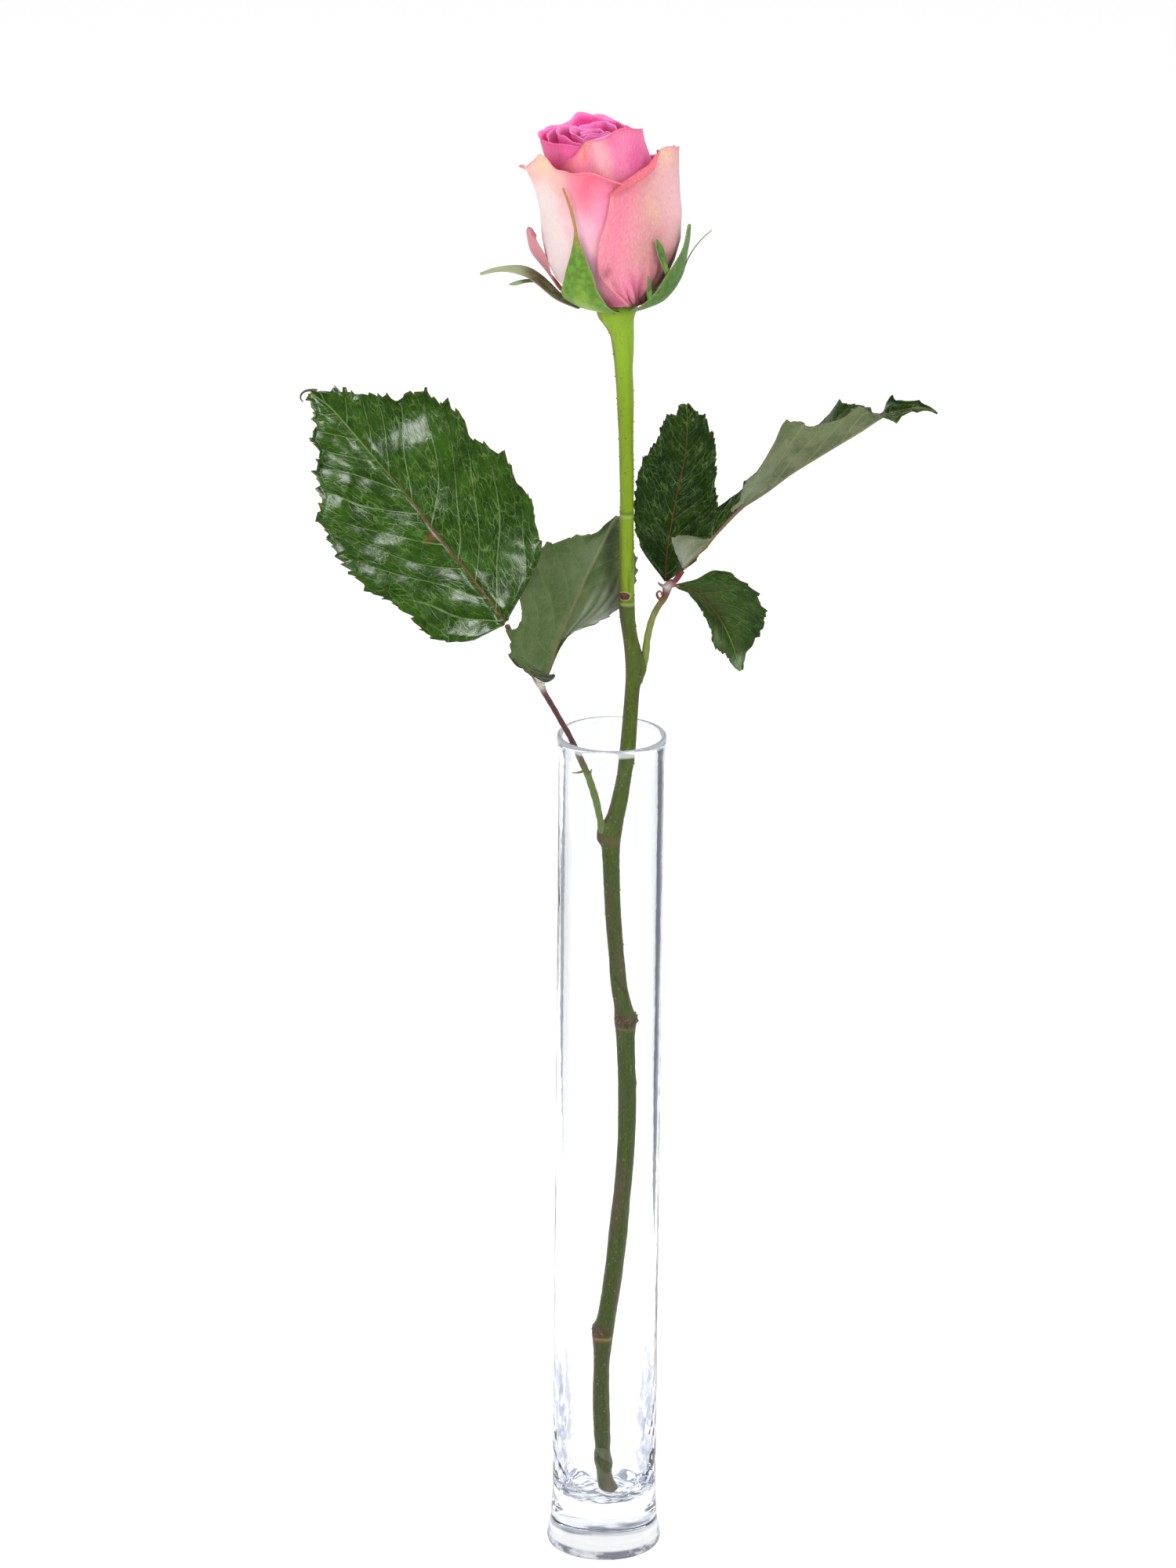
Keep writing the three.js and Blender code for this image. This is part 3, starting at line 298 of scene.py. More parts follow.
LEFT_TERMINAL_EDGE_B = [
    [0, 0], [0.117, 1.23], [0.123, 0.18], [0.141, -0.06], [0.16, -0.61], [0.166, -0.44],
    [0.174, 0.22], [0.18, -0.06], [0.194, 0.66], [0.206, 0.83], [0.21, 0.17], [0.226, 0.28],
    [0.246, -0.06], [0.259, -0.67], [0.267, -0.61], [0.279, -0.33], [0.299, 1], [0.303, 0.61],
    [0.309, 0.61], [0.343, 2.11], [0.347, 0.44], [0.351, 0.17], [0.373, -0.5], [0.403, -0.33],
    [0.419, -0.84], [0.433, -0.95], [0.441, -0.89], [0.447, -0.5], [0.453, 0], [0.461, 1.06],
    [0.473, 1.79], [0.501, 1.62], [0.529, 0.06], [0.537, 0.22], [0.555, 1.67], [0.561, -1],
    [0.571, -0.89], [0.597, 0.45], [0.601, -0.22], [0.619, 1.06], [0.625, 2.07], [0.659, 0.28],
    [0.673, 1.07], [0.701, -1.6], [0.709, -1.6], [0.725, -0.85], [0.747, 0.79], [0.752, 0.68],
    [0.756, -0.11], [0.786, 0.51], [0.826, 0.69], [0.848, 0.11], [0.866, 1.04], [0.874, 0.58],
    [0.882, 1.44], [0.896, 0.23], [0.926, 1.44], [0.93, 0.06], [0.934, -0.12], [0.968, 0.02],
    [0.976, -0.15], [0.994, 0.19], [1, 0],
]

LEFT_SIDE_EDGE_A = [
    [0, 0], [0.05, 1.49], [0.066, 0.87], [0.076, 0.75], [0.082, 0.99], [0.09, 0.75],
    [0.108, 1.06], [0.114, 1.81], [0.126, 2.31], [0.132, 2], [0.144, 0.94], [0.172, 1.38],
    [0.184, 0.82], [0.214, 2.51], [0.226, 3.45], [0.238, 0.63], [0.248, 0], [0.277, -0.06],
    [0.323, 0.56], [0.36, 0.68], [0.366, 0.1], [0.384, -0.03], [0.415, 0.8], [0.422, 0.12],
    [0.44, -0.04], [0.479, 0.71], [0.485, 0.11], [0.504, -0.04], [0.538, 0.81], [0.545, 0.12],
    [0.563, -0.04], [0.593, 0.06], [0.599, 0], [0.651, 1.63], [0.659, 0.47], [0.723, 0.76],
    [0.764, 1.06], [0.788, 1.49], [0.8, 1.31], [0.806, 0.72], [0.818, 0.18], [0.844, -0.12],
    [0.88, 0.02], [0.938, 0.81], [0.956, 0.71], [1, 0],
]

LEFT_SIDE_EDGE_B = [
    [0, 0], [0.024, 1.93], [0.032, 2.04], [0.04, 2.16], [0.052, 1.87], [0.062, 2.19],
    [0.106, -0.66], [0.142, -1.6], [0.178, 0.94], [0.185, 0.14], [0.203, -0.05], [0.237, 0.63],
    [0.243, 0.09], [0.261, -0.03], [0.299, 2.7], [0.337, 0.91], [0.343, 0.14], [0.361, -0.05],
    [0.399, 1.03], [0.406, 0.15], [0.424, -0.05], [0.464, 0.71], [0.47, 0.11], [0.489, -0.04],
    [0.508, 0.8], [0.515, 0.12], [0.533, -0.04], [0.573, 0.95], [0.58, 0.14], [0.598, -0.05],
    [0.635, 0.75], [0.642, 0.11], [0.66, -0.04], [0.695, 0.81], [0.702, 0.12], [0.72, -0.04],
    [0.755, 1.01], [0.762, 0.15], [0.78, -0.05], [0.807, 0.8], [0.814, 0.12], [0.832, -0.04],
    [0.864, 0.93], [0.87, 0.14], [0.889, -0.05], [0.927, 0.68], [0.934, 0.1], [0.952, -0.03],
    [1, 0],
]

RIGHT_UPRIGHT_EDGE_A = [
    [0, 0], [0.1, 0.85], [0.12, 0.96], [0.172, 0.17], [0.176, 0.4], [0.214, 0.67],
    [0.221, 0.1], [0.241, -0.03], [0.282, 0.76], [0.289, 0.11], [0.309, -0.04], [0.342, 0.84],
    [0.35, 0.13], [0.369, -0.04], [0.401, 0.8], [0.408, 0.12], [0.428, -0.04], [0.451, 1.08],
    [0.457, 1.03], [0.463, 0.63], [0.519, 0.74], [0.525, 0.46], [0.571, 0.63], [0.603, 1.04],
    [0.609, 0.29], [0.683, 0.46], [0.689, 0], [0.741, -0.12], [0.758, 0.06], [0.782, 1.05],
    [0.79, 1], [0.794, 0.59], [0.798, 0.59], [0.83, 1.11], [0.872, 1.34], [0.882, 1.63],
    [0.886, 0.76], [0.902, 1.22], [0.906, -0.58], [0.95, 0.2], [0.972, 1.05], [0.99, 0.76],
    [1, 0],
]

RIGHT_UPRIGHT_EDGE_B = [
    [0, 0], [0.118, 0.67], [0.125, 0.1], [0.145, -0.03], [0.189, 0.92], [0.196, 0.14],
    [0.216, -0.05], [0.237, 0.58], [0.245, 0.09], [0.264, -0.03], [0.292, 0.92], [0.299, 0.14],
    [0.319, -0.05], [0.36, 0.76], [0.367, 0.11], [0.385, 0.22], [0.409, 0], [0.433, 0.22],
    [0.463, -0.39], [0.507, -0.5], [0.571, 0.45], [0.585, 0], [0.601, -0.11], [0.625, 0],
    [0.651, 0.51], [0.671, 0.34], [0.764, 0.64], [0.782, -0.12], [0.86, 0.35], [0.884, 0.93],
    [0.904, -0.7], [0.926, -0.17], [0.944, -0.36], [0.99, 0.35], [1, 0],
]

RIGHT_LOWER_EDGE_A = [
    [0, 0], [0.1, -0.3], [0.104, 0.64], [0.108, 1.04], [0.114, 1.31], [0.122, 1.32],
    [0.128, 1.66], [0.18, 0.97], [0.196, 0.88], [0.204, 1.14], [0.23, 0.67], [0.242, 0.97],
    [0.257, 0.9], [0.283, 0.21], [0.287, 1.45], [0.291, 1.45], [0.319, 0.83], [0.403, 0.71],
    [0.445, 0.38], [0.459, 0], [0.483, 0.06], [0.487, 0.57], [0.491, 0.69], [0.511, 0],
    [0.515, 0.69], [0.521, 1.06], [0.621, 0.24], [0.693, -0.06], [0.741, 0.44], [0.745, -0.26],
    [0.752, -0.44], [0.81, 0.38], [0.826, -0.05], [0.842, 0.5], [0.852, 0.58], [0.938, 0.69],
    [1, 0],
]

RIGHT_LOWER_EDGE_B = [
    [0, 0], [0.05, 0.22], [0.068, -0.13], [0.094, -0.06], [0.108, 1.96], [0.114, 2.7],
    [0.122, 3.2], [0.128, 3.2], [0.132, 3.2], [0.182, 1.67], [0.208, 0.92], [0.251, 0.4],
    [0.269, 0.52], [0.305, -0.17], [0.341, -0.24], [0.377, 0.47], [0.385, 0.12], [0.425, 0.3],
    [0.469, 0.95], [0.475, 0.12], [0.509, -0.3], [0.531, -0.06], [0.543, -0.18], [0.585, 1.32],
    [0.589, 0.48], [0.629, 0.42], [0.641, 0.18], [0.655, 0.6], [0.695, 0.36], [0.705, -0.18],
    [0.749, 0.36], [0.754, -0.89], [0.824, -0.12], [0.834, -0.24], [0.864, -0.84], [0.932, -0],
    [0.946, -0.19], [0.978, 0.19], [1, 0],
]

RIGHT_TERMINAL_EDGE_A = [
    [0, 0], [0.117, 1.64], [0.123, 0.25], [0.141, -0.08], [0.162, 1.24], [0.169, 0.19],
    [0.187, -0.06], [0.209, 1.58], [0.216, 0.24], [0.234, -0.08], [0.285, 2.2], [0.289, 2.2],
    [0.295, 2.2], [0.299, 2.2], [0.303, 2.2], [0.307, 2.2], [0.311, 2.2], [0.319, 2.2],
    [0.325, 2.2], [0.329, 2.2], [0.333, 2.2], [0.343, 2.2], [0.355, 2.2], [0.373, 2.2],
    [0.385, 2.2], [0.399, 2.2], [0.405, 2.2], [0.409, 2.2], [0.435, 0.19], [0.449, -0.5],
    [0.455, -0.32], [0.471, 1.29], [0.475, 1.36], [0.481, 1.88], [0.489, 0.23], [0.513, 1.28],
    [0.517, 1.3], [0.527, 0.59], [0.549, 0.63], [0.569, 2.2], [0.589, 2.2], [0.623, 2.2],
    [0.635, 2.2], [0.651, 2.2], [0.665, 1.68], [0.679, 0.46], [0.689, 0.08], [0.707, -1.23],
    [0.717, -1.5], [0.733, -1.17], [0.737, -0.85], [0.77, -0.25], [0.774, -0.48],
    [0.788, -0.49], [0.802, -0.2], [0.816, 0.66], [0.84, -1.88], [0.866, -1.43], [0.892, 0.04],
    [0.902, 0.83], [0.926, 0.27], [1, 0],
]

RIGHT_TERMINAL_EDGE_B = [
    [0, 0], [0.087, 1.47], [0.093, 0.22], [0.111, -0.07], [0.131, 1.29], [0.137, 0.19],
    [0.155, -0.06], [0.177, 1.01], [0.183, 0.15], [0.198, 2.2], [0.202, 1.38], [0.208, 0.33],
    [0.236, 0.34], [0.253, 0.69], [0.285, 0.44], [0.315, -0.42], [0.319, 1.27], [0.325, 1.74],
    [0.341, 1.38], [0.391, 1.01], [0.415, 0.43], [0.433, -0.62], [0.445, -1.9], [0.449, -0.78],
    [0.461, -0.55], [0.471, 0.67], [0.481, 2.2], [0.489, 2.2], [0.493, 2.2], [0.507, 2.2],
    [0.513, 2.2], [0.523, 1.47], [0.541, 0.43], [0.553, 0.9], [0.573, 0.43], [0.577, 0.07],
    [0.595, 0.19], [0.605, 0.93], [0.613, -0.99], [0.623, -1.41], [0.643, -1.05],
    [0.669, 0.19], [0.691, 0.43], [0.709, 1.91], [0.713, 0.03], [0.719, 0.13], [0.725, 0.83],
    [0.729, 0.89], [0.733, 1.35], [0.762, 2.2], [0.768, 2.2], [0.772, 2.2], [0.778, 2.04],
    [0.786, 1.02], [0.808, 0.46], [0.812, -0.79], [0.818, -1.41], [0.846, -1.14], [0.89, 0.68],
    [0.898, 0.22], [0.918, -0.27], [1, 0],
]

# leaflets: rows of midrib xyz, edge A xyz, edge B xyz; margins: position along
# the leaf against how far the toothed edge stands out from the smooth one

# sideways lean of the bloom's axis against height above the hip
AXIS_LEAN = [[0, 0], [5, -2.3], [9, -2.8], [14, -2.8], [20, -2.5], [28, -2.8], [36, -4.2], [42, -5.5], [48, -7.2], [56, -9.7]]
# swelling of every petal from its claw to the belly
BELLY = [[0, 0.40], [5, 0.60], [9, 0.79], [14, 0.91], [20, 0.98], [26, 1], [60, 1]]
CLAW = [0.34, 0.62, 0.88, 1, 1, 0.98, 0.92]
TUCK = [0.34, 0.56, 0.7, 0.68, 0.64, 0.62, 1]
PETALS = [
    dict(name='petal_outer_right', belly=19.8, base=2.6, mid=-44, left=56, right=58, width=[ 0.45, 0.78, 0.97, 1, 0.94, 0.82, 0.72 ], top=[ 37.5, 41, 43.3, 44.9, 49, 47.8, 46 ], rim=[ 20.2, 20.5, 20.9, 21.1, 22.2, 23.2, 23.4 ], flare=2.6),
    dict(name='petal_outer_left', belly=18.8, base=2.7, mid=-135, left=65, right=65, width=CLAW, top=[ 37.5, 40.9, 43.2, 46.8, 42.9, 43.6, 41 ], rim=[ 21.4, 22.9, 21.8, 19.7, 19, 18.9, 18.9 ], flare=2.6),
    dict(name='petal_outer_back', belly=19.1, base=2.6, mid=88, left=62, right=62, width=CLAW, top=[ 36, 38.5, 41.5, 43, 41.5, 38.5, 36 ], rim=[ 20.4, 21, 21.4, 21.8, 21.6, 21, 20.2 ], flare=2.6),
    dict(name='petal_middle_right', belly=17.6, base=2.8, mid=10, left=48, right=50, width=CLAW, top=[ 42.6, 43.6, 44, 43.4, 42, 41, 40 ], rim=[ 16.6, 16.7, 16.8, 17.1, 17.5, 17.7, 17.7 ], flare=1.6),
    dict(name='petal_middle_left', belly=17.2, base=2.8, mid=163, left=50, right=50, width=CLAW, top=[ 39, 40, 40.6, 41, 41, 40.6, 40 ], rim=[ 17.3, 17.3, 17.2, 17, 16.9, 16.8, 16.8 ], flare=1.6),
    dict(name='petal_inner_front', belly=16.2, base=3.0, mid=-76, left=62, right=68, width=CLAW, widthRight=TUCK, top=[ 44, 47, 51.3, 53, 54.2, 53.4, 52 ], rim=[ 15.5, 15.4, 15.3, 15.5, 15.1, 14.9, 14.7 ], flare=1.5),
    dict(name='petal_inner_back', belly=15.9, base=3.0, mid=98, left=62, right=62, width=CLAW, top=[ 47.6, 50.2, 50.6, 50.2, 49.4, 49, 48.4 ], rim=[ 15, 14.6, 14.4, 14.4, 14.5, 14.8, 15.6 ], flare=1.5),
    dict(name='petal_inner_left', belly=14.9, base=3.2, mid=-165, left=65, right=65, width=CLAW, top=[ 48.8, 49, 49.8, 48.9, 48.8, 49.3, 49.8 ], rim=[ 13.4, 13.9, 14.8, 14.9, 14.1, 13.7, 13.6 ], flare=1.5),
    dict(name='petal_inner_right', belly=14.9, base=3.2, mid=12, left=52, right=56, width=CLAW, top=[ 49, 49.4, 49, 47.2, 47.6, 48.4, 48.4 ], rim=[ 13.4, 13.4, 13.8, 14.1, 13.8, 13.5, 13.4 ], flare=1.5),
    dict(name='petal_bud_01', belly=13.8, base=3.4, mid=128, left=60, right=60, width=CLAW, top=[ 50.4, 50.8, 50.4, 50, 49.6, 49.2, 48.8 ], rim=[ 12.4, 12.4, 12.4, 12.3, 12.4, 12.5, 12.7 ], flare=1.5),
    dict(name='petal_bud_02', belly=12.8, base=3.6, mid=-88, left=58, right=62, width=CLAW, top=[ 47.5, 48, 48.4, 49, 50, 50.6, 50.6 ], rim=[ 11.6, 11.5, 11.4, 11.4, 11.6, 11.8, 12 ], flare=1.5),
    dict(name='petal_bud_03', belly=11.8, base=3.8, mid=88, left=66, right=62, width=CLAW, top=[ 49.8, 51.4, 51.2, 52.4, 52.8, 51, 50.2 ], rim=[ 10.8, 10.8, 10.6, 10.5, 10.4, 10.4, 10.6 ], flare=1.5),
    dict(name='petal_bud_04', belly=10.8, base=4.0, mid=-172, left=66, right=66, width=CLAW, top=[ 50.2, 50.6, 50.4, 50.2, 50.2, 49.8, 49 ], rim=[ 9.5, 9.6, 9.8, 9.8, 9.5, 9.2, 9.1 ], flare=1.5),
    dict(name='petal_bud_05', belly=9.7, base=4.3, mid=-62, left=62, right=74, width=CLAW, top=[ 47.6, 50.6, 51.4, 51.6, 51.6, 51.4, 51 ], rim=[ 8.4, 8.3, 8.4, 8.6, 8.4, 8.2, 8.2 ], flare=1.5),
    dict(name='petal_bud_06', belly=8.6, base=4.6, mid=66, left=76, right=76, width=CLAW, top=[ 50, 51, 51.4, 51.4, 51, 50.6, 50 ], rim=[ 7.1, 7.2, 7.3, 7.2, 7, 6.9, 7 ], flare=1.5),
    dict(name='petal_bud_07', belly=7.4, base=4.9, mid=178, left=80, right=80, width=CLAW, top=[ 49.8, 50.4, 50.8, 50.8, 50.4, 50, 49.6 ], rim=[ 6, 5.9, 5.8, 5.8, 5.8, 5.9, 6 ], flare=1.5),
    dict(name='petal_bud_08', belly=6.1, base=5.2, mid=-58, left=88, right=88, width=CLAW, top=[ 49.6, 50.4, 50.9, 51, 50.8, 50.4, 49.8 ], rim=[ 4.8, 4.7, 4.6, 4.6, 4.6, 4.7, 4.8 ], flare=1.5),
    dict(name='petal_bud_09', belly=4.7, base=5.6, mid=82, left=98, right=98, width=CLAW, top=[ 49.4, 50, 50.4, 50.4, 50.2, 49.8, 49.4 ], rim=[ 3.5, 3.4, 3.4, 3.4, 3.4, 3.4, 3.5 ], flare=1.5),
    dict(name='petal_bud_10', belly=3.2, base=6.0, mid=-140, left=112, right=112, width=CLAW, top=[ 49, 49.4, 49.6, 49.6, 49.4, 49.2, 49 ], rim=[ 2.2, 2.1, 2.1, 2.1, 2.1, 2.1, 2.2 ], flare=1.5),
    dict(name='guard_petal', table=[ [ 4.8, 172, 190, 13.8, 13.8 ], [ 7.3, 170, 192, 15.5, 15.5 ], [ 11.5, 168, 194, 18.4, 18.2 ], [ 15, 166, 195, 20.4, 20.2 ], [ 18.3, 165, 195, 22, 21.8 ], [ 21, 166, 193, 22.9, 22.9 ], [ 23.5, 170, 189, 23.5, 23.6 ] ]),
]
SEPALS = [
    dict(name='sepal_front', table=[ [ 0.5, -138, -86, 6.7, 6.7 ], [ 0.9, -143, -88, 9, 9 ], [ 1.8, -144, -90, 11.6, 11.6 ], [ 3.5, -146, -93, 14.2, 14.4 ], [ 7, -139, -96, 17.6, 17.8 ], [ 11, -131, -100, 19.3, 19.6 ], [ 15, -126, -102.5, 20.4, 20.7 ], [ 20, -121.5, -109.5, 20.8, 20.9 ], [ 25.7, -118, -115.2, 20.8, 20.8 ], [ 32, -119.4, -117.6, 20.7, 20.7 ], [ 39, -121.6, -120.6, 21.1, 21.1 ] ]),
    dict(name='sepal_right', table=[ [ 0.5, -64, -14, 6.7, 6.7 ], [ 1.1, -69, -6, 9.2, 9.2 ], [ 2.2, -68, 1, 12, 12 ], [ 3.8, -62, 6, 15.4, 15.4 ], [ 6, -55, 8, 18, 18 ], [ 9, -48, 8, 19.9, 19.8 ], [ 12.5, -43, 6, 21, 20.8 ], [ 16, -35, 1, 21.6, 21.6 ], [ 20, -26, -7, 22.3, 22.3 ], [ 25.8, -18.6, -16.4, 23.2, 23.2 ] ]),
    dict(name='sepal_back_right', table=[ [ 0.2, 14, 62, 6.7, 6.7 ], [ 0.8, 14, 68, 9.2, 9.2 ], [ 2, 19, 70, 12, 12 ], [ 3.8, 24, 70, 15.2, 15.2 ], [ 6, 28, 68, 17.6, 17.6 ], [ 10, 31, 65, 19.4, 19.4 ], [ 14, 34, 60, 20.5, 20.5 ], [ 19, 38, 56, 21.2, 21.2 ], [ 26, 43, 52, 21.5, 21.5 ], [ 33, 45.6, 49, 21.9, 21.9 ], [ 40.5, 46.6, 47.6, 22.8, 22.8 ] ]),
    dict(name='sepal_back_left', table=[ [ 0.2, 88, 138, 6.7, 6.7 ], [ 0.8, 85, 141, 9.2, 9.2 ], [ 2, 86, 140, 12, 12 ], [ 3.8, 89, 137, 15.2, 15.2 ], [ 6, 92, 134, 17.6, 17.6 ], [ 10, 96, 130, 19.8, 19.8 ], [ 14, 99, 127, 21.2, 21.2 ], [ 18, 102, 124, 22.4, 22.4 ], [ 22, 106, 118, 23.8, 23.8 ], [ 26, 109, 114, 25.8, 25.8 ], [ 29, 110.6, 112, 28, 28 ] ]),
]

# ------------------------------------------------------------------------ helpers

def smooth(x, a, b):
    """0 below a, 1 above b, smooth between."""
    t = np.clip((np.asarray(x, float) - a) / (b - a), 0, 1)
    return t * t * (3 - 2 * t)


def read(table, x):
    table = np.asarray(table, float)
    return np.interp(x, table[:, 0], table[:, 1])


def through(values, t):
    """Smooth curve through evenly spaced rows, t from 0 to 1."""
    p = np.asarray(values, float)
    if p.ndim == 1:
        p = p[:, None]
    n = len(p) - 1
    x = np.clip(np.asarray(t, float), 0, 1) * n
    i = np.minimum(np.floor(x).astype(int), n - 1)
    f = (x - i)[..., None]
    p1, p2 = p[i], p[i + 1]
    p0 = np.where((i > 0)[..., None], p[np.maximum(i - 1, 0)], 2 * p1 - p2)
    p3 = np.where((i + 2 <= n)[..., None], p[np.minimum(i + 2, n)], 2 * p2 - p1)
    r = 0.5 * (2 * p1 + (p2 - p0) * f + (2 * p0 - 5 * p1 + 4 * p2 - p3) * f ** 2 + (3 * p1 - p0 - 3 * p2 + p3) * f ** 3)
    return r[..., 0] if np.ndim(values[0]) == 0 else r


def normals(P):
    du = np.gradient(P, axis=0)
    dv = np.gradient(P, axis=1)
    n = np.cross(du, dv)
    return n / np.maximum(np.linalg.norm(n, axis=-1, keepdims=True), 1e-12)


def waves(x, y, seed, count=6, low=0.6, high=2.4):
    """Sum of a few plane waves, about -1 to 1, repeatable."""
    rng = np.random.default_rng(seed)
    out = 0
    for _ in range(count):
        a = rng.uniform(0, 2 * math.pi)
        k = rng.uniform(low, high) * 2 * math.pi
        out = out + np.sin(k * (math.cos(a) * x + math.sin(a) * y) + rng.uniform(0, 2 * math.pi))
    return out / math.sqrt(count)


def mesh_object(name, verts, faces, mats, index=None, uvs=None, sharp=None):
    mesh = bpy.data.meshes.new(name)
    mesh.from_pydata((np.asarray(verts) * MM).tolist(), [], faces)
    for m in mats:
        mesh.materials.append(m)
    mesh.polygons.foreach_set("use_smooth", [True] * len(mesh.polygons))
    if index is not None:
        mesh.polygons.foreach_set("material_index", np.asarray(index, np.int32))
    if uvs is not None:
        layer = mesh.uv_layers.new(name="UVMap")
        loops = np.zeros(len(mesh.loops), np.int32)
        mesh.loops.foreach_get("vertex_index", loops)
        layer.data.foreach_set("uv", np.asarray(uvs, np.float32)[loops].ravel())
    mesh.update()
    mesh.validate()
    if sharp:
        mesh.set_sharp_from_angle(angle=math.radians(sharp))
    obj = bpy.data.objects.new(name, mesh)
    scene.collection.objects.link(obj)
    return obj


def shell_data(P, thick, UV, start=0):
    """Closed thin shell over the grid P. Returns verts, faces, side (0 outer along the normal, 1 inner, 2 rim), uvs."""
    nu, nv = P.shape[:2]
    N = normals(P)
    t = np.asarray(thick)[..., None] * 0.5
    outer, inner = P + N * t, P - N * t
    verts = np.concatenate([outer.reshape(-1, 3), inner.reshape(-1, 3)])
    uvs = np.concatenate([UV.reshape(-1, 2)] * 2)
    k = np.arange(nu * nv).reshape(nu, nv) + start
    a, b, c, d = k[:-1, :-1], k[1:, :-1], k[1:, 1:], k[:-1, 1:]
    top = np.stack([a, b, c, d], -1).reshape(-1, 4)
    off = nu * nv
    low = np.stack([d, c, b, a], -1).reshape(-1, 4) + off
    ring = np.concatenate([k[0, :], k[1:, -1], k[-1, -2::-1], k[-2:0:-1, 0]])
    nxt = np.roll(ring, -1)
    rim = np.stack([ring, nxt, nxt + off, ring + off], -1)
    faces = np.concatenate([top, low, rim])
    side = np.r_[np.zeros(len(top), int), np.ones(len(low), int), np.full(len(rim), 2)]
    return verts, faces, side, uvs


def join(parts):
    """Joins (verts, faces, side, uvs) tuples made with start=0."""
    V, F, S, U, n = [], [], [], [], 0
    for v, f, s, u in parts:
        V.append(v)
        F += [tuple(int(i) + n for i in q) for q in f]
        S.append(s)
        U.append(u)
        n += len(v)
    return np.concatenate(V), F, np.concatenate(S), np.concatenate(U)


def tube_data(rows, sides, steps=None, radial=None, cap=True):
    """Closed round tube through rows of x, y, z, radius. radial(t, angle, radius) gives the radius."""
    n = steps or (len(rows) - 1) * 3
    t = np.linspace(0, 1, n + 1)
    R = through(rows, t)
    C = R[:, :3]
    D = np.gradient(C, axis=0)
    D /= np.linalg.norm(D, axis=1, keepdims=True)
    side = np.array([1.0, 0, 0])
    A, B = [], []
    for d in D:
        side = side - d * side.dot(d)
        side /= np.linalg.norm(side)
        A.append(side)
        B.append(np.cross(d, side))
    A, B = np.array(A), np.array(B)
    w = 2 * np.pi * np.arange(sides) / sides
    r = np.repeat(np.maximum(R[:, 3], 0.02)[:, None], sides, 1)
    if radial is not None:
        r = radial(t[:, None], w[None, :], r, C)
    P = C[:, None] + r[..., None] * (np.cos(w)[None, :, None] * A[:, None] + np.sin(w)[None, :, None] * B[:, None])
    verts = [P.reshape(-1, 3)]
    k = np.arange((n + 1) * sides).reshape(n + 1, sides)
    nx = np.roll(k, -1, 1)
    faces = np.stack([k[:-1], nx[:-1], nx[1:], k[1:]], -1).reshape(-1, 4).tolist()
    uv = np.stack(np.broadcast_arrays(w[None, :] / (2 * np.pi), t[:, None]), -1).reshape(-1, 2)
    uvs = [uv]
    if cap:
        m = (n + 1) * sides
        verts.append(np.array([C[0] - D[0] * 0.02 * r[0].mean(), C[-1] + D[-1] * 0.25 * r[-1].mean()]))
        uvs.append(np.array([[0.5, 0.0], [0.5, 1.0]]))
        for j in range(sides):
            faces.append([int(k[0, (j + 1) % sides]), int(k[0, j]), m])
            faces.append([int(k[-1, j]), int(k[-1, (j + 1) % sides]), m + 1])
    return np.concatenate(verts), faces, np.zeros(len(faces), int), np.concatenate(uvs)


def place(obj, slot, *nodes):
    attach(obj, "root")
    if nodes:
        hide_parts(*nodes)
    return obj


# ---------------------------------------------------------------- node materials

